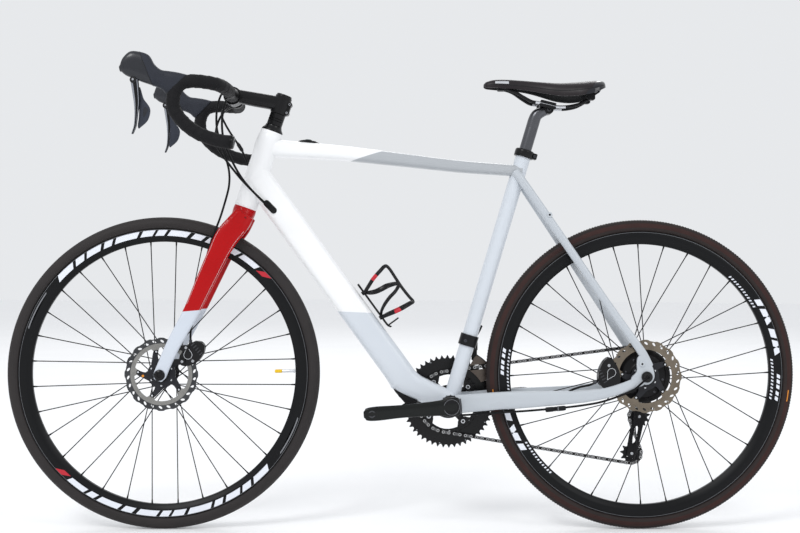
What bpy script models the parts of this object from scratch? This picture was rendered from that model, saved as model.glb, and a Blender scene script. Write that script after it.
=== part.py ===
"""Electric road bike with a battery in the down tube and a motor in the rear wheel.

Every size is in millimetres and the meshes are made in metres. The front of the bike points along -X,
its left side along -Y, and the wheels stand on z = 0 with the origin midway between the two axles.
"""

import math

import bmesh
import bpy
import numpy as np
from mathutils import Matrix, Vector
from mathutils.geometry import tessellate_polygon

MM = 0.001
GAP = 0.3  # what is left between two pieces that touch

# Wheels
TYRE_RADIUS = 343.0
TYRE_SECTION = 16.0
TYRE_WALL = 2.6
TYRE_HEIGHT = 26.0  # from the rim's edge to the tread
RIM_FLANGE = TYRE_RADIUS - TYRE_HEIGHT
RIM_HALF_WIDTH = 12.0
RIM_WALL = 1.8
RIM_WELL = 5.5
RIM_DEPTH = 28.0
WHEEL_SEGMENTS = 32
SPOKES = 32
SPOKE_RADIUS = 1.0
WHEELBASE = 1053.2
DRAWN_FRONT_X = -526.6  # where the tables of the frame and the fork have the axles
DRAWN_REAR_X = 526.6
DRAWN_AXLE_Z = 343.0
TYRE_GROWTH = TYRE_RADIUS - DRAWN_AXLE_Z  # a larger tyre lengthens the fork and the stays by as much
FRONT_AXLE_X = DRAWN_FRONT_X - TYRE_GROWTH / 3
REAR_AXLE_X = FRONT_AXLE_X + WHEELBASE + TYRE_GROWTH * 1.5
AXLE_Z = DRAWN_AXLE_Z - TYRE_GROWTH
AXLE_RADIUS = 6.0
FRONT_HUB_HALF = 50.0
REAR_HUB_HALF = 67.5
FRONT_FLANGE_RADIUS = 29.0
FRONT_FLANGE_Y = 24.0
FRONT_HUB_RADIUS = 15.0
MOTOR_RADIUS = 55.0
MOTOR_LEFT = -47.0
MOTOR_RIGHT = 16.0
MOTOR_BOSS_RADIUS = 30.0
NUT_RADIUS = 12.0
NUT_LENGTH = 8.0
FREEHUB_RADIUS = 15.0

# Brake discs
ROTOR_RADIUS = 80.0
ROTOR_TRACK = 13.0
ROTOR_THICKNESS = 1.8
ROTOR_BORE = 17.5
ROTOR_ARMS = 5
FRONT_ROTOR_Y = -41.0
REAR_ROTOR_Y = -58.0
CALIPER_SLOT = 3.0
CALIPER_REACH = 14.0

# Frame
BB_X = 103.3
BB_Z = 276.6
SHELL_RADIUS = 22.5
SHELL_HALF = 34.0
SHELL_BORE = 17.5
SEAT_ANGLE = 73.6
SEAT_TUBE_LENGTH = 576.0
DRAWN_SEAT_TUBE = 576.0  # the length that the tables of the top tube and the stays meet
SEAT_TUBE_RADIUS = 16.75
SEATPOST_RADIUS = 13.6
SEATPOST_INSERT = 190.0
SEAT_BORE_DEPTH = 300.0
HEAD_ANGLE = 71.17
HEAD_X = -349.8
HEAD_Z = 708.4
HEAD_LENGTH = 177.5
DRAWN_HEAD = 177.5  # the length that the top tube's table meets
HEAD_RADIUS = 24.5
HEAD_BORE = 17.4
STEERER_RADIUS = 14.3
BEARING_HEIGHT = 7.0
BEARING_RADIUS = 21.5
TUBE_WALL = 2.5
DROPOUT_THICKNESS = 7.2
DROPOUT_RADIUS = 17.0

# Cranks, rings and sprockets
CRANK_LENGTH = 172.5
CRANK_REST = 5.0
ARM_LEFT_Y = -66.0
ARM_RIGHT_Y = 66.0
ARM_THICKNESS = 13.0
SPINDLE_RADIUS = 12.0
CUP_RADIUS = 20.5
CUP_LENGTH = 6.0
CHAIN_PITCH = 12.7
OUTER_RING_BORE = 66.0
INNER_RING_BORE = 60.0
OUTER_TEETH = 50
INNER_TEETH = 34
OUTER_RING_Y = 47.0
INNER_RING_Y = 40.0
RING_THICKNESS = 2.0
BOLT_CIRCLE = 55.0
RING_BOLTS = 4
RING_BOLT_RADIUS = 5.0
SPROCKETS = (30, 27, 24, 21, 19, 17, 15, 14, 13, 12, 11)
SPROCKET_PITCH = 3.74
SPROCKET_THICKNESS = 1.8
LARGEST_Y = 25.0
CORE_RADIUS = 18.2
PULLEY_TEETH = 11
PULLEY_THICKNESS = 2.2
GUIDE_PULLEY = (REAR_AXLE_X + 4.0, AXLE_Z - 96.4)
TENSION_PULLEY = (REAR_AXLE_X - 12.5, AXLE_Z - 179.5)
CHAIN_HEIGHT = 8.0
CHAIN_SLOT = 1.3
CHAIN_PLATE = 1.3
CHAIN_STRAIGHT = 30.0

# Bar, stem and levers
CLAMP_X = -378.0
CLAMP_Z = 953.0
BAR_RADIUS = 11.9
CLAMP_RADIUS = 15.9
TAPE_RADIUS = 14.5
STEM_BASE = 219.1
STEM_STACK = 40.0
STEM_RADIUS = 18.5
SPACER_RADIUS = 17.0
LEVER_X = -559.0
LEVER_Z = 958.0
LEVER_BARREL = 7.0
HOOD_Y = 205.0


def clear_scene():
    for thing in list(bpy.data.objects):
        bpy.data.objects.remove(thing)
    for group in (bpy.data.meshes, bpy.data.materials, bpy.data.curves, bpy.data.cameras, bpy.data.lights):
        for block in list(group):
            group.remove(block)


def unit(vector):
    vector = np.asarray(vector, float)
    return vector / np.linalg.norm(vector)


X_WAY = np.array([1.0, 0.0, 0.0])
Y_WAY = np.array([0.0, 1.0, 0.0])
Z_WAY = np.array([0.0, 0.0, 1.0])
BB = np.array([BB_X, 0.0, BB_Z])
FRONT_AXLE = np.array([FRONT_AXLE_X, 0.0, AXLE_Z])
REAR_AXLE = np.array([REAR_AXLE_X, 0.0, AXLE_Z])
SEAT_WAY = np.array([math.cos(math.radians(SEAT_ANGLE)), 0.0, math.sin(math.radians(SEAT_ANGLE))])
HEAD_BASE = np.array([HEAD_X, 0.0, HEAD_Z])
HEAD_WAY = np.array([math.cos(math.radians(HEAD_ANGLE)), 0.0, math.sin(math.radians(HEAD_ANGLE))])
CLAMP = np.array([CLAMP_X, 0.0, CLAMP_Z])
# The drawing's zero is moved so that the tyres stand on z = 0, midway between the axles.
ORIGIN = np.array([-(FRONT_AXLE_X + REAR_AXLE_X) / 2, 0.0, TYRE_RADIUS - AXLE_Z])
FRONT_MOVE = np.array([FRONT_AXLE_X - DRAWN_FRONT_X, 0.0, AXLE_Z - DRAWN_AXLE_Z])
REAR_MOVE = np.array([REAR_AXLE_X - DRAWN_REAR_X, 0.0, AXLE_Z - DRAWN_AXLE_Z])
SEAT_MOVE = SEAT_WAY * (SEAT_TUBE_LENGTH - DRAWN_SEAT_TUBE)
HEAD_MOVE = HEAD_WAY * (HEAD_LENGTH - DRAWN_HEAD)


def solid(points, faces):
    """A closed mesh object from points in millimetres, with its faces turned outward."""
    mesh = bpy.data.meshes.new("piece")
    places = (np.asarray(points, float) + ORIGIN) * MM
    mesh.from_pydata(places.tolist(), [], [tuple(f) for f in faces])
    shape = bmesh.new()
    shape.from_mesh(mesh)
    bmesh.ops.recalc_face_normals(shape, faces=shape.faces)
    if shape.calc_volume(signed=True) < 0:
        bmesh.ops.reverse_faces(shape, faces=shape.faces)
    shape.to_mesh(mesh)
    shape.free()
    thing = bpy.data.objects.new("piece", mesh)
    bpy.context.scene.collection.objects.link(thing)
    return thing


def boolean(target, tool, operation):
    """The target with the tool joined to it or cut from it, as a plain mesh."""
    change = target.modifiers.new("change", "BOOLEAN")
    change.operation = operation
    change.object = tool
    change.solver = "EXACT"
    graph = bpy.context.evaluated_depsgraph_get()
    graph.update()
    mesh = bpy.data.meshes.new_from_object(target.evaluated_get(graph))
    target.modifiers.clear()
    target.data = mesh
    bpy.data.objects.remove(tool)
    return target


def union(target, *others):
    for other in others:
        boolean(target, other, "UNION")
    return target


def cut(target, *tools):
    for tool in tools:
        boolean(target, tool, "DIFFERENCE")
    return target


def largest(thing):
    """The target with every loose crumb but its largest body removed."""
    shape = bmesh.new()
    shape.from_mesh(thing.data)
    left = set(shape.faces)
    bodies = []
    while left:
        stack = [left.pop()]
        body = set(stack)
        while stack:
            for edge in stack.pop().edges:
                for face in edge.link_faces:
                    if face in left:
                        left.remove(face)
                        body.add(face)
                        stack.append(face)
        bodies.append(body)
    bodies.sort(key=lambda body: sum(face.calc_area() for face in body))
    for body in bodies[:-1]:
        bmesh.ops.delete(shape, geom=list(body), context="FACES")
    shape.to_mesh(thing.data)
    shape.free()
    return thing


def loft(rings, closed=False):
    """A skin over rings of equal length, with flat ends or joined end to end."""
    rings = np.asarray(rings, float)
    rows, count = rings.shape[:2]
    faces = []
    for i in range(rows if closed else rows - 1):
        a, b = i * count, (i + 1) % rows * count
        for j in range(count):
            k = (j + 1) % count
            faces.append((a + j, a + k, b + k, b + j))
    if not closed:
        faces.append(tuple(range(count)))
        faces.append(tuple(range((rows - 1) * count, rows * count)))
    return solid(rings.reshape(-1, 3), faces)


def ring(centre, across, up, half_across, half_up, count, power=2.0, turn=0.0):
    """Points of a superellipse in the plane of two unit vectors."""
    angles = turn + np.arange(count) * 2 * math.pi / count
    cosine, sine = np.cos(angles), np.sin(angles)
    u = np.sign(cosine) * np.abs(cosine) ** (2 / power) * half_across
    v = np.sign(sine) * np.abs(sine) ** (2 / power) * half_up
    return np.asarray(centre, float) + u[:, None] * across + v[:, None] * up


def beside(way):
    """Two unit vectors square to a direction."""
    way = unit(way)
    helper = Y_WAY if abs(way[1]) < 0.9 else X_WAY
    across = unit(helper - way * way.dot(helper))
    return across, np.cross(way, across)


def revolve(profile, base, way, count=16, closed=False, turn=0.0):
    """A turned piece: the profile is radius and height along the axis."""
    way = unit(way)
    across, up = beside(way)
    rings = [ring(np.asarray(base) + h * way, across, up, r, r, count, turn=turn) for r, h in profile]
    return loft(rings, closed)


def turning_bore(radius, count):
    """The corner radius of a bore with so many flats in which a round of this radius turns freely."""
    return (radius + GAP) / math.cos(math.pi / count)


def moved(points, move):
    """Points in X and Z carried along with an axle."""
    return [(x + move[0], z + move[2]) for x, z in points]


def cylinder(start, end, radius, count=16):
    start, end = np.asarray(start, float), np.asarray(end, float)
    length = np.linalg.norm(end - start)
    return revolve([(radius, 0.0), (radius, length)], start, end - start, count)


def tube(start, end, outer, inner, count=16):
    start, end = np.asarray(start, float), np.asarray(end, float)
    length = np.linalg.norm(end - start)
    profile = [(outer, 0.0), (outer, length), (inner, length), (inner, 0.0)]
    return revolve(profile, start, end - start, count, closed=True)


def box(centre, half, along=X_WAY, up=Z_WAY):
    """A box whose half sizes run along one direction, across it and up."""
    along = unit(along)
    up = unit(up - along * along.dot(up))
    side = np.cross(up, along)
    corners = []
    for end in (-1, 1):
        for u, v in ((-1, -1), (1, -1), (1, 1), (-1, 1)):
            offset = end * half[0] * along + u * half[1] * side + v * half[2] * up
            corners.append(np.asarray(centre, float) + offset)
    return loft(np.array(corners).reshape(2, 4, 3))


def smooth_path(points, count):
    """Points at even distances on a smooth curve through the given ones."""
    points = np.asarray(points, float)
    ends = np.vstack([2 * points[0] - points[1], points, 2 * points[-1] - points[-2]])
    dense = []
    for i in range(1, len(ends) - 2):
        p0, p1, p2, p3 = ends[i - 1], ends[i], ends[i + 1], ends[i + 2]
        for t in np.linspace(0, 1, 24, endpoint=False):
            dense.append(
                0.5 * (2 * p1 + (p2 - p0) * t + (2 * p0 - 5 * p1 + 4 * p2 - p3) * t**2
                       + (3 * p1 - p0 - 3 * p2 + p3) * t**3)
            )
    dense = np.array(dense + [points[-1]])
    steps = np.concatenate([[0], np.cumsum(np.linalg.norm(np.diff(dense, axis=0), axis=1))])
    at = np.linspace(0, steps[-1], count)
    return np.stack([np.interp(at, steps, dense[:, k]) for k in range(3)], 1)


def path_frames(path, first_up=Z_WAY):
    """A direction and two square vectors at each point, carried along without twist."""
    ways = np.gradient(path, axis=0)
    ways /= np.linalg.norm(ways, axis=1)[:, None]
    up = unit(np.asarray(first_up, float) - ways[0] * ways[0].dot(first_up))
    frames = []
    for way in ways:
        up = unit(up - way * way.dot(up))
        frames.append((way, np.cross(up, way), up))
    return frames


def sweep(path, radius, count=8, first_up=Z_WAY):
    """A round rod along a path: the radius is one number or one for each point."""
    radii = np.broadcast_to(radius, (len(path),))
    frames = path_frames(path, first_up)
    return loft([ring(p, a, u, r, r, count) for p, (_, a, u), r in zip(path, frames, radii)])


def cord(points, radius, count=40):
    """A cable or hose: a bevelled curve with filled caps on a smooth route, read back as a mesh."""
    route = smooth_path(points, count)
    curve = bpy.data.curves.new("cord", "CURVE")
    curve.dimensions = "3D"
    curve.bevel_depth = radius * MM
    curve.bevel_resolution = 2
    curve.use_fill_caps = True
    line = curve.splines.new("POLY")
    line.points.add(len(route) - 1)
    for spot, place in zip(line.points, route):
        spot.co = (*((place + ORIGIN) * MM), 1.0)
    guide = bpy.data.objects.new("cord", curve)
    bpy.context.scene.collection.objects.link(guide)
    graph = bpy.context.evaluated_depsgraph_get()
    graph.update()
    mesh = bpy.data.meshes.new_from_object(guide.evaluated_get(graph))
    bpy.data.objects.remove(guide)
    shape = bmesh.new()
    shape.from_mesh(mesh)
    bmesh.ops.remove_doubles(shape, verts=shape.verts, dist=1e-7)
    bmesh.ops.recalc_face_normals(shape, faces=shape.faces)
    shape.to_mesh(mesh)
    shape.free()
    thing = bpy.data.objects.new("piece", mesh)
    bpy.context.scene.collection.objects.link(thing)
    return thing


def circle(centre, radius, count, turn=0.0):
    """Outline points in X and Z."""
    angles = turn + np.arange(count) * 2 * math.pi / count
    return np.stack([centre[0] + radius * np.cos(angles), centre[1] + radius * np.sin(angles)], 1)


def toothed(centre, tip, root, teeth, turn=0.0):
    """A sprocket's outline in X and Z: one tip and one root for each tooth."""
    angles = turn + np.arange(2 * teeth) * math.pi / teeth
    radii = np.where(np.arange(2 * teeth) % 2 == 0, tip, root)
    return np.stack([centre[0] + radii * np.cos(angles), centre[1] + radii * np.sin(angles)], 1)


def stack(levels):
    """Outlines in X and Z at given y, joined in a ring: walls between equal ones, flat faces between nested ones."""
    points, starts = [], []
    for y, outline in levels:
        starts.append(len(points))
        points.extend((x, y, z) for x, z in outline)
    faces = []
    for i in range(len(levels)):
        k = (i + 1) % len(levels)
        a, b = starts[i], starts[k]
        first, second = levels[i][1], levels[k][1]
        if levels[i][0] != levels[k][0]:
            count = len(first)
            for j in range(count):
                n = (j + 1) % count
                faces.append((a + j, a + n, b + n, b + j))
            continue
        areas = []
        for o in (first, second):
            areas.append(abs(np.sum(o[:, 0] * np.roll(o[:, 1], -1) - np.roll(o[:, 0], -1) * o[:, 1])))
        loops = [(a, first), (b, second)] if areas[0] > areas[1] else [(b, second), (a, first)]
        index = [start + j for start, o in loops for j in range(len(o))]
        vectors = [[Vector((x, z, 0.0)) for x, z in o] for _, o in loops]
        faces.extend(tuple(index[c] for c in t) for t in tessellate_polygon(vectors))
    return solid(points, faces)


def plate(outline, y0, y1, holes=()):
    """A flat plate in X and Z with holes."""
    loops = [np.asarray(outline, float)] + [np.asarray(h, float) for h in holes]
    flat = np.concatenate(loops)
    count = len(flat)
    points = [(x, y0, z) for x, z in flat] + [(x, y1, z) for x, z in flat]
    faces = []
    for t in tessellate_polygon([[Vector((x, z, 0.0)) for x, z in o] for o in loops]):
        faces.append(tuple(t))
        faces.append(tuple(c + count for c in t))
    start = 0
    for o in loops:
        for j in range(len(o)):
            n = (j + 1) % len(o)
            faces.append((start + j, start + n, count + start + n, count + start + j))
        start += len(o)
    return solid(points, faces)


def linear(value):
    return value / 12.92 if value <= 0.04045 else ((value + 0.055) / 1.055) ** 2.4


def material(name, colour, roughness, metallic=0.0):
    """A surface from a colour written as red, green and blue out of 255."""
    made = bpy.data.materials.new(name)
    made.use_nodes = True
    surface = made.node_tree.nodes["Principled BSDF"]
    surface.inputs["Base Color"].default_value = (*[linear(c / 255) for c in colour], 1.0)
    surface.inputs["Roughness"].default_value = roughness
    surface.inputs["Metallic"].default_value = metallic
    made.diffuse_color = (*[c / 255 for c in colour], 1.0)
    return made


def joint(name, place, way=None, parent=None):
    """An empty on a joint's axis, with its Z along the axis."""
    empty = bpy.data.objects.new(name, None)
    empty.empty_display_size = 0.03
    bpy.context.scene.collection.objects.link(empty)
    turn = Vector((0, 0, 1)).rotation_difference(Vector(way if way is not None else (0, 0, 1)))
    empty.matrix_world = Matrix.Translation((Vector(place) + Vector(ORIGIN)) * MM) @ turn.to_matrix().to_4x4()
    if parent:
        hang(empty, parent)
    return empty


def hang(thing, parent):
    """Parents a thing without moving it."""
    bpy.context.view_layer.update()
    thing.parent = parent
    thing.matrix_parent_inverse = parent.matrix_world.inverted()
    bpy.context.view_layer.update()


def finish(thing, name, colour, roughness, metallic=0.0, carrier=None):
    """Names a node, gives it its own material, shades it and hangs it on its carrier."""
    thing.name = name
    thing.data.name = name
    thing.data.materials.clear()
    thing.data.materials.append(material(name, colour, roughness, metallic))
    thing.data.shade_smooth()
    thing.data.set_sharp_from_angle(angle=math.radians(32))
    if carrier:
        hang(thing, carrier)
    return thing


def seat_at(length):
    """The point on the seat tube's axis at this length from the bottom bracket."""
    return BB + SEAT_WAY * length


def seat_at_z(z):
    return seat_at((z - BB_Z) / SEAT_WAY[2])


def head_at(height):
    """The point on the steering axis at this height above the head tube's lower end."""
    return HEAD_BASE + HEAD_WAY * height


def shell_space():
    """What the frame tubes leave free round the bottom bracket shell."""
    return cylinder(BB - Y_WAY * 2 * SHELL_HALF, BB + Y_WAY * 2 * SHELL_HALF, SHELL_RADIUS + GAP, 16)


def seat_tube_space():
    return cylinder(BB, seat_at(SEAT_TUBE_LENGTH + 60), SEAT_TUBE_RADIUS + GAP, 12)


def head_space():
    return revolve([(r + GAP, h) for r, h in HEAD_PROFILE], HEAD_BASE, HEAD_WAY, 16)


HEAD_PROFILE = [
    (HEAD_RADIUS, 0.0),
    (HEAD_RADIUS + 0.8, 8.0),
    (HEAD_RADIUS + 0.8, HEAD_LENGTH - 55),
    (HEAD_RADIUS + 2.4, HEAD_LENGTH - 40),
    (HEAD_RADIUS + 2.4, HEAD_LENGTH - 20),
    (HEAD_RADIUS, HEAD_LENGTH - 6),
    (HEAD_RADIUS - 0.3, HEAD_LENGTH),
]

# Each frame tube's stations: upper and lower edge in X and Z, and the half width.
TOP_TUBE = [
    ((-318.0, 861.5), (-318.0, 821.0), 22.0),
    ((-269.6, 857.7), (-272.0, 818.6), 22.0),
    ((-141.6, 846.7), (-144.5, 813.6), 20.8),
    ((-8.6, 831.3), (-12.2, 801.8), 19.4),
    ((124.6, 815.8), (121.5, 788.8), 18.4),
    ((237.0, 807.4), (235.0, 781.8), 17.6),
    ((262.0, 806.0), (260.0, 778.0), 17.4),
]


def top_tube_stations():
    """The top tube's table, its front carried by the head tube's end and its rear by the seat tube's."""
    first, last = TOP_TUBE[0][0][0], TOP_TUBE[-1][0][0]
    rows = []
    for upper, lower, half in TOP_TUBE:
        t = (upper[0] - first) / (last - first)
        move = HEAD_MOVE * (1 - t) + SEAT_MOVE * t
        rows.append((*moved((upper, lower), move), half))
    return rows


DOWN_TUBE = [
    ((-304.0, 799.7), (-354.0, 763.0), 25.0),
    ((-286.0, 775.2), (-336.0, 738.5), 27.5),
    ((-229.3, 698.0), (-279.3, 661.3), 28.5),
    ((-3.6, 390.9), (-53.6, 354.2), 28.5),
    ((30.6, 345.5), (-21.4, 308.0), 28.5),
    ((60.4, 327.5), (34.0, 282.2), 28.5),
    ((94.2, 311.5), (70.0, 262.0), 28.0),
    ((112.0, 303.0), (98.0, 254.5), 27.5),
]
STAY_COUNT = 8
CHAINSTAY = [
    ((110.0, 27.0), (298.0, 257.0), 8.4),
    ((212.0, 32.5), (305.8, 267.0), 8.2),
    ((254.0, 39.0), (307.8, 270.2), 8.2),
    ((365.5, 56.0), (311.2, 282.2), 7.8),
    ((410.0, 63.5), (314.6, 289.0), 7.0),
    ((446.3, 67.6), (321.0, 297.4), 6.2),
    ((485.0, 70.2), (334.0, 309.5), 5.2),
    ((520.0, 71.4), (351.0, 325.0), 3.6),
]
SEATSTAY = [
    ((246.0, 16.0), 790.0, 8.0, 9.5),
    ((263.0, 20.0), 766.0, 8.0, 9.5),
    ((325.0, 31.0), 676.0, 7.4, 9.2),
    ((438.0, 48.0), 510.1, 6.8, 8.8),
    ((476.0, 59.5), 454.5, 6.4, 8.8),
    ((499.0, 67.2), 421.5, 5.8, 9.0),
    ((518.0, 70.6), 393.5, 4.6, 9.5),
    ((532.0, 71.4), 366.0, 3.6, 9.5),
]
STAY_TOP = 790.0
STAY_FOOT = 421.5
STAY_FRONT = 110.0
STAY_BEND = 446.3


def chainstay_stations():
    """The chainstay's table, carried by the rear axle behind its last bend."""
    rows = []
    for (x, y), (top, low), half in CHAINSTAY:
        move = REAR_MOVE * min(1.0, max(0.0, (x - STAY_FRONT) / (STAY_BEND - STAY_FRONT)))
        rows.append(((x + move[0], y), (top + move[2], low + move[2]), half))
    return rows


def stay_move(z):
    """How far a point of the seatstay at this drawn height is carried by the axle and by the seat tube's end."""
    t = min(1.0, max(0.0, (STAY_TOP - z) / (STAY_TOP - STAY_FOOT)))
    return REAR_MOVE * t + SEAT_MOVE * (1 - t)


def seatstay_stations():
    rows = []
    for (x, y), z, half_y, half_x in SEATSTAY:
        move = stay_move(z)
        rows.append(((x + move[0], y), z + move[2], half_y, half_x))
    return rows


EYELETS = (694.9, 371.1)  # drawn heights


def edge_tube(stations, count, power, inset=0.0):
    """Rings of a frame tube from its upper and lower edges, drawn in by an inset."""
    rings = []
    for upper, lower, half_width in stations:
        top = np.array([upper[0], 0.0, upper[1]])
        low = np.array([lower[0], 0.0, lower[1]])
        up = unit(top - low)
        half = np.linalg.norm(top - low) / 2
        size = (half_width - inset, half - inset)
        rings.append(ring((top + low) / 2, Y_WAY, up, *size, count, power, math.pi / count))
    return rings


def make_head_tube():
    body = revolve(HEAD_PROFILE, HEAD_BASE, HEAD_WAY, 16)
    low = head_at(-1.0)
    cut(body, cylinder(low, head_at(HEAD_LENGTH + 1), HEAD_BORE, 12))
    return cut(body, cylinder(low, head_at(BEARING_HEIGHT + GAP), turning_bore(BEARING_RADIUS, 16), 16))


def make_top_tube():
    body = loft(edge_tube(top_tube_stations(), 10, 2.6))
    return largest(cut(body, head_space(), seat_tube_space()))


def make_down_tube():
    """The down tube with the battery's space open at its lower front end, under the port cover."""
    body = loft(edge_tube(DOWN_TUBE, 10, 3.2))
    cut(body, loft(edge_tube(DOWN_TUBE[1:6], 10, 3.2, TUBE_WALL)))
    cut(body, head_space(), shell_space(), seat_tube_space())
    (x0, z0), (x1, z1) = DOWN_TUBE[4][1], DOWN_TUBE[5][1]
    middle = np.array([(x0 + x1) / 2, 0.0, (z0 + z1) / 2])
    cut(body, box(middle, (PORT_HALF_LENGTH, PORT_HALF_WIDTH, 3 * TUBE_WALL), along=(x1 - x0, 0.0, z1 - z0)))
    cut(body, grommet_space())
    return largest(body)


PORT_HALF_LENGTH = 13.0
PORT_HALF_WIDTH = 15.0
PORT_OUTLINE = [(-20.0, 316.0), (-20.5, 308.5), (-18.0, 304.5), (2.6, 280.9), (6.5, 279.6), (31.5, 281.2),
                (31.5, 292.0)]
PORT_HINGE = (31.5, 283.0)
PORT_HALF = 22.0


def make_battery():
    body = loft(edge_tube(DOWN_TUBE[2:4], 10, 3.2, TUBE_WALL + GAP))
    return body


def make_port_cover():
    """The wedge under the down tube's lower end, shaped to the tube."""
    body = plate(PORT_OUTLINE, -PORT_HALF, PORT_HALF)
    wider = edge_tube(DOWN_TUBE, 10, 3.2, -GAP)
    return largest(cut(body, loft(wider), shell_space()))


def make_seat_tube():
    body = cylinder(BB, seat_at(SEAT_TUBE_LENGTH), SEAT_TUBE_RADIUS, 12)
    union(body, cylinder(BB - Y_WAY * SHELL_HALF, BB + Y_WAY * SHELL_HALF, SHELL_RADIUS, 16))
    cut(body, cylinder(BB - Y_WAY * 2 * SHELL_HALF, BB + Y_WAY * 2 * SHELL_HALF, SHELL_BORE, 12))
    floor = seat_at(SEAT_TUBE_LENGTH - SEAT_BORE_DEPTH)
    return cut(body, cylinder(floor, seat_at(SEAT_TUBE_LENGTH + 1), SEATPOST_RADIUS + GAP, 12))


def stay_ring(x, y, top, low, half):
    centre = np.array([x, y, (top + low) / 2])
    return ring(centre, Y_WAY, Z_WAY, half, (top - low) / 2, STAY_COUNT, 2.4, math.pi / STAY_COUNT)


def make_rear_stays(side):
    """Chainstay, seatstay and dropout of one side, with the axle's hole and two eyelets."""
    chain_rings = [stay_ring(x, side * y, top, low, half) for (x, y), (top, low), half in chainstay_stations()]
    body = loft(chain_rings)
    stations = seatstay_stations()
    path = np.array([(x, side * y, z) for (x, y), z, _, _ in stations])
    frames = path_frames(path, X_WAY)
    seat_rings = []
    for place, (way, _, _), (_, _, half_y, half_x) in zip(path, frames, stations):
        across = unit(Y_WAY - way * way[1])
        seat_rings.append(ring(place, across, np.cross(way, across), half_y, half_x, STAY_COUNT))
    inner = side * (REAR_HUB_HALF + GAP)
    outer = inner + side * DROPOUT_THICKNESS
    outline = dropout_outline(side)
    union(body, loft(seat_rings), plate(outline, min(inner, outer), max(inner, outer)))
    for z in EYELETS:
        place = on_seatstay(z, side)
        start = place - side * Y_WAY * 2.0
        union(body, cylinder(start, place + side * Y_WAY * 4.5, 6.0, 8))
        cut(body, cylinder(place + side * Y_WAY * 0.5, place + side * Y_WAY * 12.0, 2.5, 6))
    ends = AXLE_RADIUS + GAP
    cut(body, cylinder(REAR_AXLE + inner * Y_WAY * 0.8, REAR_AXLE + outer * Y_WAY * 1.2, ends, 10))
    cut(body, shell_space(), seat_tube_space(), loft(edge_tube(top_tube_stations(), 10, 2.6, -GAP)))
    return largest(body)


def dropout_outline(side):
    """The dropout plate; the right one carries the derailleur's hanger below the axle."""
    x, z = REAR_AXLE_X, AXLE_Z
    r = DROPOUT_RADIUS
    front = [(x - 40, z + 2), (x - 30, z - 16), (x - 12, z - r + 2)]
    if side > 0:
        hx, hz = HANGER
        low = [(hx - 9, hz - 3), (hx - 4, hz - 9), (hx + 4, hz - 9), (hx + 9, hz - 3), (hx + 9.5, hz + 8)]
    else:
        low = [(x - 2, z - r), (x + 7, z - r + 1.5)]
    back = [(x + r - 1, z - 5), (x + r, z + 6), (x + 12, z + 24), (x - 2, z + 48), (x - 22, z + 44)]
    return front + low + back + [(x - 26, z + 22)]


HANGER = (REAR_AXLE_X + 9.4, AXLE_Z - 28.0)


def on_seatstay(z, side):
    """The stay's centre at an eyelet's drawn height, near its outer face."""
    heights = [row[1] for row in SEATSTAY][::-1]
    x = np.interp(z, heights, [row[0][0] for row in SEATSTAY][::-1])
    y = np.interp(z, heights, [row[0][1] for row in SEATSTAY][::-1])
    half = np.interp(z, heights, [row[2] for row in SEATSTAY][::-1])
    return np.array([x, side * (y + half - 2.0), z]) + stay_move(z)


def make_seat_collar():
    """The collar on the seat tube's end, with its ear and bolt behind."""
    low, high, step = SEAT_TUBE_LENGTH - 6, SEAT_TUBE_LENGTH + 11, SEAT_TUBE_LENGTH + GAP
    wide, narrow = SEAT_TUBE_RADIUS + GAP, SEATPOST_RADIUS + GAP
    outer = SEAT_TUBE_RADIUS + 4
    profile = [(outer, low), (outer + 0.6, low + 2), (outer + 0.6, high - 3), (outer - 1.5, high),
               (narrow, high), (narrow, step), (wide, step), (wide, low)]
    body = revolve(profile, BB, SEAT_WAY, 12, closed=True)
    ear_at = seat_at((low + high) / 2) + np.cross(SEAT_WAY, -Y_WAY) * (outer + 2)
    ear = box(ear_at, (6.0, 8.0, 6.5), along=np.cross(SEAT_WAY, -Y_WAY), up=SEAT_WAY)
    cut(ear, cylinder(seat_at(low - 5), seat_at(high + 5), outer - 1, 12))
    union(body, ear)
    bolt = ear_at + np.cross(SEAT_WAY, -Y_WAY) * 1.5
    return union(body, cylinder(bolt - Y_WAY * 10.5, bolt + Y_WAY * 10.5, 3.6, 8))


def make_bottom_bracket():
    """Two cups on a sleeve through the shell, with the spindle's bore."""
    bore = turning_bore(SPINDLE_RADIUS, 12)
    sleeve_r = SHELL_BORE - GAP
    reach = SHELL_HALF + GAP
    profile = [
        (bore, -reach - CUP_LENGTH),
        (CUP_RADIUS - 1.5, -reach - CUP_LENGTH),
        (CUP_RADIUS, -reach - CUP_LENGTH + 2),
        (CUP_RADIUS, -reach),
        (sleeve_r, -reach),
        (sleeve_r, reach),
        (CUP_RADIUS, reach),
        (CUP_RADIUS, reach + CUP_LENGTH - 2),
        (CUP_RADIUS - 1.5, reach + CUP_LENGTH),
        (bore, reach + CUP_LENGTH),
    ]
    return revolve(profile, BB, Y_WAY, 12, closed=True)


CORNERS = ((-1, -1), (1, -1), (1, 1), (-1, 1))
CAGE_BOLTS = ((-89.4, 520.3), (-48.6, 467.4))
CAGE_ARM = (
    (2, 3, 2), (-1, 8, 16), (-6, 20, 31), (-13, 38, 40), (-18, 60, 34), (-20, 75, 20), (-10, 79, 12),
    (15, 78, 12),
    (40, 77, 13), (66, 78, 13), (79, 79, 14), (79, 70, 27), (76, 45, 40), (71, 22, 31), (68, 8, 16), (67, 3, 2),
)
DOWN_WAY = unit((0.5922, 0.0, -0.8058))
DOWN_OUT = unit((0.8058, 0.0, 0.5922))


def cage_place(along, out, y):
    """A point from the cage's upper bolt: along the tube, out from it, and to the side."""
    origin = np.array([CAGE_BOLTS[0][0], 0.0, CAGE_BOLTS[0][1]])
    return origin + DOWN_WAY * along + DOWN_OUT * out + Y_WAY * y


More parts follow.
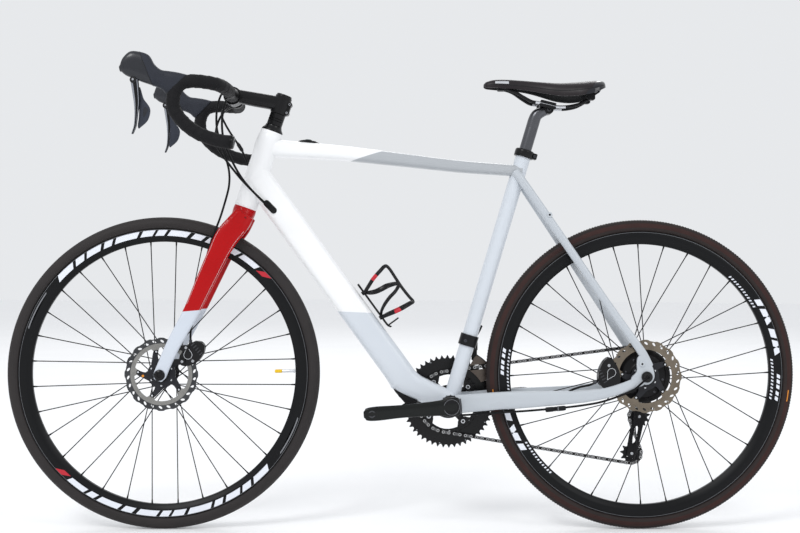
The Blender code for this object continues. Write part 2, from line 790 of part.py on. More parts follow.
def make_bottle_cage():
    """A light cage: a spine on two posts, two arms that hold the bottle, a foot and two bolts."""
    run = ((-22, 2.5), (0, 2.4), (34, 2.4), (66, 2.4), (90, 2.6), (96, 6.0))
    spine = [cage_place(a, o, 0) for a, o in run]
    frames = [(DOWN_OUT, Y_WAY)] * len(spine)
    widths = (7.0, 9.0, 8.0, 9.0, 10.0, 11.0)
    rings = []
    for place, (out, side), half in zip(spine, frames, widths):
        rings.append([place + side * s * half + out * t * 1.8 for s, t in CORNERS])
    body = loft(rings)
    foot = [cage_place(90, o, 0) for o in (2.0, 18.0, 30.0)]
    rings = []
    for place, half in zip(foot, (11.0, 12.0, 7.0)):
        rings.append([place + Y_WAY * s * half + DOWN_WAY * t * 1.8 for s, t in CORNERS])
    union(body, loft(rings))
    for side in (-1, 1):
        arm = [cage_place(a, o, side * y) for a, o, y in CAGE_ARM]
        path = smooth_path(arm, 16)
        frames = path_frames(path, Y_WAY)
        union(body, loft([ring(p, a, u, 4.2, 2.6, 6) for p, (_, a, u) in zip(path, frames)]))
    for x, z in CAGE_BOLTS:
        place = np.array([x, 0.0, z])
        union(body, cylinder(place - DOWN_OUT * 14.0, place + DOWN_OUT * 6.9, 4.6, 8))
    wider = edge_tube(DOWN_TUBE, 10, 3.2, -GAP)
    return largest(cut(body, loft(wider)))


CONTROLLER = ((-234.0, -188.0), 10.0)
CONTROLLER_SHAPE = ((0.0, 1.4, 0.55), (0.18, 4.6, 0.9), (0.4, 6.2, 1.0), (0.62, 5.4, 0.95), (1.0, 1.4, 0.5))
CONTROLLER_SEAT = ((-269.6, 857.7), (-141.6, 846.7))
BUTTON_X = -212.0
BUTTON_RADIUS = 6.0
BUTTON_TRAVEL = 1.0


def top_line(x):
    """The top tube's upper edge near its front end."""
    stations = top_tube_stations()
    return float(np.interp(x, [r[0][0] for r in stations], [r[0][1] for r in stations]))


def top_way():
    (x0, z0), (x1, z1) = CONTROLLER_SEAT
    return unit((x1 - x0, 0.0, z1 - z0))


def make_controller():
    """The slim control unit on the top tube, tapered at both ends, with the button's well."""
    (x0, x1), half = CONTROLLER
    rings = []
    for t, high, wide in CONTROLLER_SHAPE:
        x = x0 + (x1 - x0) * t
        low, z = top_line(x) - 2.5, top_line(x) + high
        rings.append([(x, s * half * wide * w, zz) for s, w, zz in
                      ((-1, 1, low), (1, 1, low), (1, 1, z - 1.3), (1, 0.75, z), (-1, 0.75, z), (-1, 1, z - 1.3))])
    body = loft(rings)
    wider = edge_tube(top_tube_stations(), 10, 2.6, -GAP)
    cut(body, loft(wider))
    up = np.cross(top_way(), Y_WAY)
    place = np.array([BUTTON_X, 0.0, top_line(BUTTON_X)])
    return largest(cut(body, cylinder(place + up * 2.0, place + up * 20.0, BUTTON_RADIUS + GAP, 12)))


def make_button():
    up = np.cross(top_way(), Y_WAY)
    place = np.array([BUTTON_X, 0.0, top_line(BUTTON_X)])
    low = 2.0 + BUTTON_TRAVEL + GAP
    profile = [(BUTTON_RADIUS, low), (BUTTON_RADIUS, 6.8), (BUTTON_RADIUS - 1.0, 7.4)]
    return revolve(profile, place, up, 12)


GROMMET_ENDS = ((-301.0, 716.6), (-285.9, 701.3))
GROMMET_HALF = 7.0
GROMMET_FACE = 26.6


def grommet_outline(extra=0.0):
    (x0, z0), (x1, z1) = GROMMET_ENDS
    way = unit((x1 - x0, z1 - z0))
    square = np.array([-way[1], way[0]])
    points = []
    for centre, sign in (((x1, z1), 1), ((x0, z0), -1)):
        for angle in np.linspace(-90, 90, 7):
            turned = way * math.cos(math.radians(angle)) + square * math.sin(math.radians(angle))
            points.append(np.asarray(centre) + sign * turned * (GROMMET_HALF + extra))
    return np.array(points)


def grommet_space():
    return plate(grommet_outline(GAP), -40.0, -GROMMET_FACE + 2.0)


def make_grommet():
    """The oblong rubber plug that the hoses enter, in the down tube's left side."""
    flange = plate(grommet_outline(0.0), -GROMMET_FACE - 2.8, -GROMMET_FACE + 1.7)
    return flange


def make_derailleur_clamp():
    """A band round the seat tube with the arm that carries the front derailleur."""
    low, high = seat_at_z(FD_CLAMP[0]), seat_at_z(FD_CLAMP[1])
    body = tube(low, high, SEAT_TUBE_RADIUS + 3.6, SEAT_TUBE_RADIUS + GAP, 12)
    middle = (low + high) / 2
    arm = [middle + np.array([8.0, 16.0, 2.0]), middle + np.array([16.0, 26.0, 8.0]),
           middle + np.array([26.0, 33.0, 22.0]), middle + np.array([31.0, 34.0, 30.0])]
    rings = []
    for place, half in zip(arm, (8.0, 7.0, 6.0, 4.5)):
        rings.append(ring(place, X_WAY, unit((0.0, -0.6, 1.0)), half, half * 0.8, 8, 3.0, math.pi / 8))
    arm_body = loft(rings)
    guide = middle + np.array([14.0, FD_GUIDE_Y, -14.0])
    union(arm_body, box(guide, (8.0, 7.6, 10.0)), box(middle + np.array([10.0, 22.3, -4.0]), (7.0, 8.0, 9.4)))
    cut(arm_body, cylinder(low - SEAT_WAY * 60, high + SEAT_WAY * 80, SEAT_TUBE_RADIUS + 2.0, 12))
    union(body, largest(arm_body))
    for z in (-6.0, 6.0):
        rod = guide + Z_WAY * z * 0.5 + X_WAY * z * 0.5
        cut(body, cylinder(rod - Y_WAY * 8.0, rod + Y_WAY * 30.0, FD_ROD + GAP, 6))
    return largest(body)


FD_CLAMP = (405.0, 429.0)
FD_GUIDE_Y = 24.0
FD_INNER_Y = 33.4
FD_OUTER_Y = 45.0
FD_ROD = 2.0
FD_TRAVEL = 7.0


def fd_arc(radius, first, last, count):
    return [(BB_X + radius * math.cos(math.radians(a)), BB_Z + radius * math.sin(math.radians(a)))
            for a in np.linspace(first, last, count)]


def make_derailleur_cage():
    """Two cage plates over the chain, bridged above it, on the rods that slide in the clamp."""
    inner = fd_arc(84.0, 31, 60, 5) + fd_arc(122.0, 60, 30, 5)
    outer = fd_arc(107.0, 30, 62, 6) + fd_arc(124.0, 62, 30, 6)
    body = plate(inner, FD_INNER_Y - 1.5, FD_INNER_Y)
    bridge = fd_arc(116.0, 52, 60, 4) + fd_arc(121.5, 60, 52, 4)
    rear = fd_arc(118.0, 30.5, 33.5, 3) + fd_arc(121.5, 33.5, 30.5, 3)
    union(body, plate(outer, FD_OUTER_Y, FD_OUTER_Y + 1.5))
    for bar in (bridge, rear):
        union(body, plate(bar, FD_INNER_Y - 1.0, FD_OUTER_Y + 1.0))
    middle = (seat_at_z(FD_CLAMP[0]) + seat_at_z(FD_CLAMP[1])) / 2
    guide = middle + np.array([14.0, FD_GUIDE_Y, -14.0])
    for z in (-6.0, 6.0):
        rod = guide + Z_WAY * z * 0.5 + X_WAY * z * 0.5
        union(body, cylinder(rod - Y_WAY * 7.5, rod + Y_WAY * (FD_INNER_Y - FD_GUIDE_Y), FD_ROD, 6))
    tab = [(guide[0] - 8, guide[2] - 26), (guide[0] + 8, guide[2] - 26), (guide[0] + 8, guide[2] + 6),
           (guide[0] - 8, guide[2] + 6)]
    return union(body, plate(tab, FD_INNER_Y - 1.4, FD_INNER_Y + 1.6))


def make_rear_axle():
    """The hollow axle's rod with a nut outside each dropout."""
    face = REAR_HUB_HALF + DROPOUT_THICKNESS + 2 * GAP
    profile = [(AXLE_RADIUS, -face), (NUT_RADIUS, -face), (NUT_RADIUS, -face - NUT_LENGTH * 0.7),
               (AXLE_RADIUS - 1, -face - NUT_LENGTH), (AXLE_RADIUS - 3.5, -face - NUT_LENGTH),
               (AXLE_RADIUS - 3.5, face + NUT_LENGTH), (AXLE_RADIUS - 1, face + NUT_LENGTH),
               (NUT_RADIUS, face + NUT_LENGTH * 0.7), (NUT_RADIUS, face), (AXLE_RADIUS, face)]
    return revolve(profile, REAR_AXLE, Y_WAY, 10, closed=True)


MOTOR_CABLE_ROUTE = [
    (112.0, -27.0, 253.0), (150.0, -27.5, 255.2), (183.8, -28.5, 258.0), (225.0, -34.5, 261.6),
    (260.8, -40.0, 264.4), (310.0, -47.5, 269.4), (355.0, -54.5, 274.6), (395.0, -61.0, 280.6),
    (430.0, -66.0, 288.0), (470.0, -71.9, 302.2), (498.0, -78.6, 316.1), (512.0, -85.5, 329.5),
    (523.5, -86.8, 340.6),
]
MOTOR_CABLE_RADIUS = 2.4
CONNECTOR_ENDS = (MOTOR_CABLE_ROUTE[5], MOTOR_CABLE_ROUTE[6])
CONNECTOR_RADIUS = 5.5


def make_motor_cable():
    """The motor's cable under the left chainstay with its thick connector, up to the axle's end."""
    body = cord(MOTOR_CABLE_ROUTE, MOTOR_CABLE_RADIUS, 26)
    a, b = (np.array(end) - Z_WAY * 1.2 for end in CONNECTOR_ENDS)
    union(body, cylinder(a, b, CONNECTOR_RADIUS, 10))
    stay = loft([stay_ring(x, -y, top + GAP, low - GAP, half + GAP) for (x, y), (top, low), half in chainstay_stations()])
    return largest(cut(body, stay, shell_space()))


def wheel_rings(profile, axle, closed=True):
    """A turned wheel part: the profile is y and radius, with one corner at the lowest point."""
    rings = [ring(axle + Y_WAY * y, X_WAY, Z_WAY, r, r, WHEEL_SEGMENTS, turn=-math.pi / 2) for y, r in profile]
    return loft(rings, closed)


def make_tyre(axle):
    """A tyre open toward the rim, with its beads between the rim's flanges."""
    bead = RIM_HALF_WIDTH - RIM_WALL - GAP
    centre = TYRE_RADIUS - TYRE_SECTION
    foot = RIM_FLANGE - RIM_WELL + GAP
    outside, inside = [], []
    for angle in np.linspace(-28, 208, 7):
        y, z = math.cos(math.radians(angle)), math.sin(math.radians(angle))
        outside.append((TYRE_SECTION * y, centre + TYRE_SECTION * z))
    for angle in (18, 90, 162):
        y, z = math.cos(math.radians(angle)), math.sin(math.radians(angle))
        inner = TYRE_SECTION - TYRE_WALL
        inside.append((inner * y, centre + inner * z))
    profile = [(bead, foot), (bead, RIM_FLANGE + 1.0)] + outside + [(-bead, RIM_FLANGE + 1.0), (-bead, foot)]
    rise = RIM_FLANGE + TYRE_WALL
    profile += [(-bead + 2.2, foot), (-bead + 2.2, rise)] + inside[::-1] + [(bead - 2.2, rise), (bead - 2.2, foot)]
    return wheel_rings(profile, axle)


def make_rim(axle):
    half, wall = RIM_HALF_WIDTH, RIM_WALL
    bottom = RIM_FLANGE - RIM_DEPTH
    profile = [(half, RIM_FLANGE), (half, RIM_FLANGE - 12), (half - 7.0, bottom), (-half + 7.0, bottom),
               (-half, RIM_FLANGE - 12), (-half, RIM_FLANGE),
               (-half + wall, RIM_FLANGE), (-half + wall, RIM_FLANGE - RIM_WELL),
               (half - wall, RIM_FLANGE - RIM_WELL), (half - wall, RIM_FLANGE)]
    body = wheel_rings(profile, axle)
    return body


def make_spokes(axle, flange_radii, flange_ys, flange_half, start_turn):
    """Crossed spokes of three sides, from inside the flanges to the rim."""
    reach = RIM_FLANGE - RIM_DEPTH - 2.7 * GAP
    points, faces = [], []
    for i in range(SPOKES):
        side = i % 2
        outward = 1 if (i // 2) % 2 else -1
        at_rim = start_turn + i * 2 * math.pi / SPOKES
        sweep_angle = (1 if (i // 2) % 2 else -1) * SPOKE_SWEEP
        at_hub = at_rim + sweep_angle
        y = flange_ys[side] + outward * flange_half / 2
        radius = flange_radii[side] - 4.0
        start = axle + np.array([radius * math.sin(at_hub), y, radius * math.cos(at_hub)])
        end_y = (2.5 if side else -2.5) + outward * 1.2
        end = axle + np.array([reach * math.sin(at_rim), end_y, reach * math.cos(at_rim)])
        across, up = beside(end - start)
        base = len(points)
        for place in (start, end):
            points.extend(ring(place, across, up, SPOKE_RADIUS * 1.2, SPOKE_RADIUS * 1.2, 3))
        for j in range(3):
            n = (j + 1) % 3
            faces.append((base + j, base + n, base + 3 + n, base + 3 + j))
        faces.append((base, base + 1, base + 2))
        faces.append((base + 3, base + 4, base + 5))
    return solid(points, faces)


SPOKE_SWEEP = math.radians(62.0)
FLANGE_HALF = 2.6
HUB_SIDES = 14


def make_front_hub():
    """The front hub's shell and flanges with the spokes, and the disc's seat on the left."""
    seat = FRONT_ROTOR_Y + ROTOR_THICKNESS / 2 + GAP
    bore = AXLE_RADIUS + GAP
    end = FRONT_HUB_HALF - GAP
    f, r = FRONT_FLANGE_Y, FRONT_HUB_RADIUS
    profile = [
        (-end, bore), (-end, 9.0), (FRONT_ROTOR_Y - 3.0, ROTOR_BORE - GAP), (seat, ROTOR_BORE - GAP),
        (seat, 27.0), (seat + 4.0, 27.0), (-f - FLANGE_HALF, r), (-f - FLANGE_HALF, FRONT_FLANGE_RADIUS),
        (-f + FLANGE_HALF, FRONT_FLANGE_RADIUS), (-f + FLANGE_HALF, r), (f - FLANGE_HALF, r),
        (f - FLANGE_HALF, FRONT_FLANGE_RADIUS), (f + FLANGE_HALF, FRONT_FLANGE_RADIUS), (f + FLANGE_HALF, r),
        (end, 9.0), (end, bore),
    ]
    body = turned_hub(profile, FRONT_AXLE, HUB_SIDES)
    radii = (FRONT_FLANGE_RADIUS, FRONT_FLANGE_RADIUS)
    return union(body, make_spokes(FRONT_AXLE, radii, (-f, f), FLANGE_HALF, math.radians(-0.6)))


def turned_hub(profile, axle, count):
    return loft([ring(axle + Y_WAY * y, X_WAY, Z_WAY, r, r, count) for y, r in profile], closed=True)


def make_rear_hub():
    """The motor's drum with its flanges and spokes, the disc's seat and the sprockets' carrier."""
    seat = REAR_ROTOR_Y + ROTOR_THICKNESS / 2 + GAP
    bore = AXLE_RADIUS + GAP
    end = REAR_HUB_HALF
    left, right = MOTOR_LEFT, MOTOR_RIGHT
    m, b = MOTOR_RADIUS, MOTOR_BOSS_RADIUS
    core_end = LARGEST_Y - SPROCKET_THICKNESS / 2 - 1.0
    last = LARGEST_Y + SPROCKET_PITCH * (len(SPROCKETS) - 1) + 2.0
    profile = [
        (-end, bore), (-end, 9.5), (REAR_ROTOR_Y - 3.0, ROTOR_BORE - GAP), (seat, ROTOR_BORE - GAP),
        (seat, 27.0), (seat + 4.0, b), (left, m - 8.0), (left + 5.0, m - 1.5), (left + 6.0, m + 4.0),
        (left + 11.0, m + 4.0), (left + 12.0, m - 1.5), (right - 12.0, m - 1.5), (right - 11.0, m + 4.0),
        (right - 6.0, m + 4.0), (right - 5.0, m - 1.5), (right, m - 8.0), (core_end, b - 8.0),
        (core_end, FREEHUB_RADIUS), (last, FREEHUB_RADIUS), (end, 9.5), (end, bore),
    ]
    body = turned_hub(profile, REAR_AXLE, HUB_SIDES)
    ys = (left + 8.5, right - 8.5)
    return union(body, make_spokes(REAR_AXLE, (m + 5.5, m + 5.5), ys, FLANGE_HALF, math.radians(0.4)))


def make_rotor(axle, y):
    """A brake disc: a track on five leaning arms round its centre."""
    inner = ROTOR_RADIUS - ROTOR_TRACK
    centre = (axle[0], axle[2])
    holes = [circle(centre, ROTOR_BORE, HUB_SIDES)]
    step = 2 * math.pi / ROTOR_ARMS
    for i in range(ROTOR_ARMS):
        outer, lower = [], []
        for t in np.linspace(0.10, 0.90, 4):
            a = (i + t) * step
            outer.append((centre[0] + inner * math.cos(a), centre[1] + inner * math.sin(a)))
        for t in np.linspace(0.80, 0.20, 3):
            a = (i + t) * step - 0.35
            lower.append((centre[0] + 31.0 * math.cos(a), centre[1] + 31.0 * math.sin(a)))
        holes.append(np.array(outer + lower))
    half = ROTOR_THICKNESS / 2
    body = plate(circle(centre, ROTOR_RADIUS, 26), y - half, y + half, holes)
    return body


def make_front_axle():
    inner = FRONT_HUB_HALF + LEG_THICKNESS + 3 * GAP
    profile = [(AXLE_RADIUS, -inner), (NUT_RADIUS, -inner), (NUT_RADIUS, -inner - 3.2), (AXLE_RADIUS, -inner - 4.4),
               (2.5, -inner - 4.4), (2.5, inner + 4.4), (AXLE_RADIUS, inner + 4.4), (NUT_RADIUS, inner + 3.2),
               (NUT_RADIUS, inner), (AXLE_RADIUS, inner)]
    return revolve(profile, FRONT_AXLE, Y_WAY, 10, closed=True)


def chain_radius(teeth):
    return CHAIN_PITCH / (2 * math.sin(math.pi / teeth))


def tip_and_root(teeth):
    return chain_radius(teeth) + 3.2, chain_radius(teeth) - 3.9


def make_cassette():
    """The largest sprocket stands clear on the core, and the rest step down with a corner at every tooth."""
    centre = (REAR_AXLE_X, AXLE_Z)
    core = circle(centre, CORE_RADIUS, HUB_SIDES)
    bore = circle(centre, turning_bore(FREEHUB_RADIUS, HUB_SIDES), HUB_SIDES)
    half = SPROCKET_THICKNESS / 2
    tip, root = tip_and_root(SPROCKETS[0])
    star = toothed(centre, tip, root, SPROCKETS[0])
    foot = LARGEST_Y - half - 0.7
    levels = [(foot, bore), (foot, core), (LARGEST_Y - half, core), (LARGEST_Y - half, star),
              (LARGEST_Y + half, star), (LARGEST_Y + half, core), (LARGEST_Y + SPROCKET_PITCH - half, core)]
    steps = [LARGEST_Y + i * SPROCKET_PITCH - half for i in range(len(SPROCKETS) + 1)]
    for i, teeth in enumerate(SPROCKETS[1:], 1):
        disc = circle(centre, tip_and_root(teeth)[0], teeth)
        levels += [(steps[i], disc), (steps[i + 1], disc)]
    levels.append((levels[-1][0], bore))
    return stack(levels)


def make_chainring(teeth, y, inner_radius):
    """A chainring with a scalloped inside that reaches in to its bolts."""
    centre = (BB_X, BB_Z)
    tip, root = tip_and_root(teeth)
    inside = []
    low = BOLT_CIRCLE - RING_BOLT_RADIUS - 3.0
    for i in range(RING_BOLTS):
        for degrees, r in zip((-16, -9, 9, 16, 34, 54), (inner_radius, low, low) + (inner_radius,) * 3):
            a = RING_TURN + i * 2 * math.pi / RING_BOLTS + math.radians(degrees)
            inside.append((centre[0] + r * math.cos(a), centre[1] + r * math.sin(a)))
    bolts = []
    for i in range(RING_BOLTS):
        a = RING_TURN + i * 2 * math.pi / RING_BOLTS
        spot = (centre[0] + BOLT_CIRCLE * math.cos(a), centre[1] + BOLT_CIRCLE * math.sin(a))
        bolts.append(circle(spot, RING_BOLT_RADIUS + GAP, 8))
    half = RING_THICKNESS / 2
    return plate(toothed(centre, tip, root, teeth), y - half, y + half, [np.array(inside)] + bolts)


RING_TURN = math.radians(37.0)


def crank_way(side):
    """The left arm points forward and a little down; the right one is opposite."""
    angle = math.radians(180 + CRANK_REST) if side < 0 else math.radians(CRANK_REST)
    return np.array([math.cos(angle), 0.0, math.sin(angle)])


def make_crank_arm(side):
    """A crank arm from its boss to the pedal's eye; the right one has the spider, bolts and spindle."""
    way = crank_way(side)
    face = ARM_LEFT_Y if side < 0 else ARM_RIGHT_Y
    out = side * ARM_THICKNESS
    rings = []
    spec = ((-20, 15.0, 0.0, 0.85), (-9, 20.6, 0.0, 1.0), (6, 20.6, 0.0, 1.0), (24, 17.0, 0.0, 1.0),
            (110, 14.0, 4.0, 0.85), (160, 15.5, 6.8, 0.8), (183, 13.5, 6.8, 0.8), (188.5, 8.0, 7.4, 0.66))
    for along, half, lift, thick in spec:
        centre = BB + way * along + Y_WAY * (face + out / 2 + side * lift * 0.45)
        rings.append(ring(centre, Y_WAY, np.cross(way, Y_WAY), ARM_THICKNESS / 2 * thick, half, 8, 2.8, math.pi / 8))
    body = loft(rings)
    eye = BB + way * CRANK_LENGTH + Y_WAY * face
    cut(body, cylinder(eye - Y_WAY * side * 10, eye + Y_WAY * side * 30, 6.4, 12))
    if side < 0:
        union(body, cylinder(BB + Y_WAY * (face + 0.5), BB + Y_WAY * (face + out - 0.6), 20.4, 12))
        union(body, cylinder(BB + Y_WAY * (face - 4.0), BB + Y_WAY * (-SHELL_HALF - CUP_LENGTH - 2 * GAP), 15.5, 12))
        bore = SPINDLE_RADIUS + GAP
        cut(body, cylinder(BB + Y_WAY * (face - ARM_THICKNESS + 2.5), BB, bore, 12))
        cut(body, cylinder(BB + Y_WAY * (face - 2 * ARM_THICKNESS), BB + Y_WAY * face, 6.0, 6))
        clamp = BB - way * 19.0 + Y_WAY * (face + out / 2)
        for offset in (-4.4, 4.4):
            bolt = clamp + Y_WAY * offset * 0.8
            union(body, cylinder(bolt - np.cross(way, Y_WAY) * 16.5, bolt + np.cross(way, Y_WAY) * 16.5, 2.6, 6))
        return body
    reach = ARM_LEFT_Y - ARM_THICKNESS + 2.5 + GAP
    union(body, cylinder(BB + Y_WAY * (face + 2), BB + Y_WAY * reach, SPINDLE_RADIUS, 12))
    inner = INNER_RING_Y + RING_THICKNESS / 2 + GAP
    outer = OUTER_RING_Y - RING_THICKNESS / 2 - GAP
    hub = [(SPINDLE_RADIUS - 1, SHELL_HALF + CUP_LENGTH + 2 * GAP), (19.0, SHELL_HALF + CUP_LENGTH + 2 * GAP),
           (24.0, inner + 0.4), (24.0, outer - 0.4), (20.0, face + 1), (SPINDLE_RADIUS - 1, face + 1)]
    union(body, revolve(hub, BB, Y_WAY, 14, closed=True, turn=0.08))
    for i in range(RING_BOLTS):
        a = RING_TURN + i * 2 * math.pi / RING_BOLTS
        way = np.array([math.cos(a), 0.0, math.sin(a)])
        square = np.cross(way, Y_WAY)
        middle = Y_WAY * (inner + outer) / 2
        arm = []
        for along, half in ((14.5, 13.0), (34, 8.0), (61.5, 6.4)):
            size = ((outer - inner) * 0.66, half * 1.41)
            arm.append(ring(BB + way * along + middle, Y_WAY, square, *size, 4, 2.0, math.pi / 4))
        spot = BB + way * BOLT_CIRCLE
        low = INNER_RING_Y - RING_THICKNESS / 2 - 1.2
        high = OUTER_RING_Y + RING_THICKNESS / 2 + 1.2
        limb = union(loft(arm), cylinder(spot + Y_WAY * low, spot + Y_WAY * high, RING_BOLT_RADIUS, 8))
        union(body, limb)
    cut(body, cylinder(BB + Y_WAY * reach * 2, BB + Y_WAY * 4 * face, 7.5, 8))
    return body


def common_tangent(first, second):
    """Where a line leaves one turning circle and meets the next; each is a centre, radius and turn of +1 or -1."""
    (c1, r1, s1), (c2, r2, s2) = first, second
    c1, c2 = np.asarray(c1, float), np.asarray(c2, float)
    gap = c2 - c1
    distance = np.linalg.norm(gap)
    base = math.atan2(gap[1], gap[0])
    lean = math.asin((s1 * r1 - s2 * r2) / distance)
    way = base + lean
    square = np.array([math.sin(way), -math.cos(way)])
    return c1 + square * s1 * r1, c2 + square * s2 * r2


def chain_wheels():
    """What the chain runs over: centre, pitch radius, side that it lies on, y, and steps of its arc."""
    return [
        ((BB_X, BB_Z), chain_radius(INNER_TEETH), 1, INNER_RING_Y, 10),
        ((REAR_AXLE_X, AXLE_Z), chain_radius(SPROCKETS[0]), 1, LARGEST_Y, 9),
        (GUIDE_PULLEY, chain_radius(PULLEY_TEETH), -1, LARGEST_Y, 4),
        (TENSION_PULLEY, chain_radius(PULLEY_TEETH), 1, LARGEST_Y, 6),
    ]


def chain_points():
    """The chain's centre line round its wheels, and which of its points lie on a free run."""
    wheels = chain_wheels()
    count = len(wheels)
    leaves, meets = [], []
    for i in range(count):
        a, b = wheels[i], wheels[(i + 1) % count]
        start, end = common_tangent((a[0], a[1], -a[2]), (b[0], b[1], -b[2]))
        leaves.append(start)
        meets.append(end)
    path, free = [], []
    for i in range(count):
        centre, radius, turn, y, steps = wheels[i]
        start = meets[i - 1]
        end = leaves[i]
        a0 = math.atan2(start[1] - centre[1], start[0] - centre[0])
        a1 = math.atan2(end[1] - centre[1], end[0] - centre[0])
        sense = -turn
        while sense * (a1 - a0) < 0:
            a1 += sense * 2 * math.pi
        for a in np.linspace(a0, a1, steps):
            path.append((centre[0] + radius * math.cos(a), y, centre[1] + radius * math.sin(a)))
            free.append(False)
        b = wheels[(i + 1) % count]
        run = meets[i] - end
        length = np.linalg.norm(run)
        straight = min(CHAIN_STRAIGHT, length * 0.4)
        pieces = max(1, int((length - 2 * straight) / 95))
        for t in np.linspace(0, 1, pieces + 1):
            place = end + run * (straight + t * (length - 2 * straight)) / length
            path.append((place[0], y + (b[3] - y) * t, place[1]))
            free.append(True)
    return np.array(path), free


def make_chain():
    """Two bands of side plates either side of the teeth, joined by pins on the free runs."""
    path, free = chain_points()
    count = len(path)
    ways = np.roll(path, -1, axis=0) - np.roll(path, 1, axis=0)
    ways[:, 1] = 0.0
    ways /= np.linalg.norm(ways, axis=1)[:, None]
    squares = np.stack([ways[:, 2], np.zeros(count), -ways[:, 0]], 1)
    bands = []
    for side in (-1, 1):
        rings = []
        for place, square in zip(path, squares):
            near = place + Y_WAY * side * CHAIN_SLOT
            far = place + Y_WAY * side * (CHAIN_SLOT + CHAIN_PLATE)
            half = square * CHAIN_HEIGHT / 2
            rings.append([near - half, far - half, far + half, near + half])
        bands.append(loft(rings, closed=True))
    body = bands[0]
    pins = []
    for i, is_free in enumerate(free):
        if is_free:
            reach = Y_WAY * (CHAIN_SLOT + CHAIN_PLATE / 2)
            pins.append(cylinder(path[i] - reach, path[i] + reach, 1.8, 4))
    union(body, pins[0])
    union(body, bands[1])
    union(body, *pins[1:])
    return body


def make_pulley(place):
    centre = place
    y = LARGEST_Y
    half = PULLEY_THICKNESS / 2
    tip, root = tip_and_root(PULLEY_TEETH)
    bore = circle(centre, PULLEY_BOLT + GAP, 8)
    star = toothed(centre, tip, root, PULLEY_TEETH, math.radians(9))
    return stack([(y - half, bore), (y - half, star), (y + half, star), (y + half, bore)])


PULLEY_BOLT = 3.5
CAGE_GAP = 4.2
CAGE_PLATE = 1.6


def cage_outline(grow=0.0):
    """A rounded plate round the two pulleys' bolts."""
    first, second = np.array(GUIDE_PULLEY), np.array(TENSION_PULLEY)
    way = unit(second - first)
    square = np.array([-way[1], way[0]])
    points = []
    for centre, sign, radius in ((second, 1, 11.0), (first, -1, 13.0)):
        for angle in np.linspace(-90, 90, 6):
            turned = way * math.cos(math.radians(angle)) + square * math.sin(math.radians(angle))
            points.append(centre + sign * turned * (radius + grow))
    return np.array(points)


def make_derailleur_arm():
    """The pulley cage: two plates joined by the pulleys' bolts, on the pivot's stub."""
    y = LARGEST_Y
    window = cage_window()
    body = plate(cage_outline(), y - CAGE_GAP - CAGE_PLATE, y - CAGE_GAP, [window])
    union(body, plate(cage_outline(), y + CAGE_GAP, y + CAGE_GAP + CAGE_PLATE, [window]))
    for x, z in (GUIDE_PULLEY, TENSION_PULLEY):
        place = np.array([x, 0.0, z])
        reach = CAGE_GAP + CAGE_PLATE + 0.8
        union(body, cylinder(place + Y_WAY * (y - reach), place + Y_WAY * (y + reach), PULLEY_BOLT, 8))
    pivot = np.array([GUIDE_PULLEY[0], 0.0, GUIDE_PULLEY[1]])
    start = y + CAGE_GAP + CAGE_PLATE / 2
    return union(body, cylinder(pivot + Y_WAY * start, pivot + Y_WAY * (KNUCKLE_Y + 7.0), CAGE_PIVOT_RADIUS, 10))


def cage_window():
    first, second = np.array(GUIDE_PULLEY), np.array(TENSION_PULLEY)
    way = unit(second - first)
    square = np.array([-way[1], way[0]])
    length = np.linalg.norm(second - first)
    spots = [(0.32, -5.5), (0.70, -4.5), (0.76, 0.0), (0.70, 4.5), (0.32, 5.5), (0.26, 0.0)]
    return np.array([first + way * length * t + square * s for t, s in spots])


KNUCKLE_Y = 41.0
KNUCKLE_RADIUS = 12.0
CAGE_PIVOT_RADIUS = 5.0
LINK_TOP = (REAR_AXLE_X + 23.4, 84.0, AXLE_Z - 47.0)
LINK_LOW = (REAR_AXLE_X + 23.4, 46.0, AXLE_Z - 79.0)
LINK_RADIUS = 6.0
LINK_PIN = 2.5
LINK_INNER = 9.0
LINK_PLATE = 5.0


def capsule(start, end, radius, half, normal):
    """A flat link with round ends, as thick as twice the half along its normal."""
    start, end, normal = np.asarray(start, float), np.asarray(end, float), unit(normal)
    way = unit(end - start)
    square = np.cross(normal, way)
    outline = []
    for centre, sign in ((end, 1), (start, -1)):
        for angle in np.linspace(-90, 90, 7):
            turned = way * math.cos(math.radians(angle)) + square * math.sin(math.radians(angle))
            outline.append(centre + sign * turned * radius)
    outline = np.array(outline)
    return loft([outline - normal * half, outline + normal * half])


def link_space(place):
    """What a body leaves free on both sides of its barrel, where the link's plates turn."""
    place = np.asarray(place, float)
    near, far = LINK_INNER, LINK_INNER + LINK_PLATE + 2 * GAP
    left = cylinder(place - X_WAY * far, place - X_WAY * near, LINK_RADIUS + 2 * GAP, 12)
    right = cylinder(place + X_WAY * near, place + X_WAY * far, LINK_RADIUS + 2 * GAP, 12)
    return left, right


def add_barrel(body, place):
    """Cuts room for the link's plates and adds the barrel and its pin."""
    place = np.asarray(place, float)
    cut(body, *link_space(place))
    pin = LINK_INNER + LINK_PLATE + GAP + 1.2
    union(body, cylinder(place - X_WAY * LINK_INNER, place + X_WAY * LINK_INNER, LINK_RADIUS, 12))
    return union(body, cylinder(place - X_WAY * pin, place + X_WAY * pin, LINK_PIN, 8))


def make_derailleur_body():
    """The derailleur's fixed body on the hanger, with the barrel that carries the link."""
    start = REAR_HUB_HALF + 2 * GAP + DROPOUT_THICKNESS
    bolt = np.array([HANGER[0], 0.0, HANGER[1]])
    body = cylinder(bolt + Y_WAY * start, bolt + Y_WAY * (start + 14.0), 9.5, 12)
    top = np.array(LINK_TOP)
    top[1] = 0.0
    arm = loft([ring(bolt + (top - bolt) * t + Y_WAY * (start + 7.0), Y_WAY, unit((0.8, 0.0, 0.6)), 6.0, half, 10)
                for t, half in ((0.0, 8.5), (0.45, 6.5), (0.85, 5.5))])
    union(body, arm)
    return add_barrel(body, LINK_TOP)


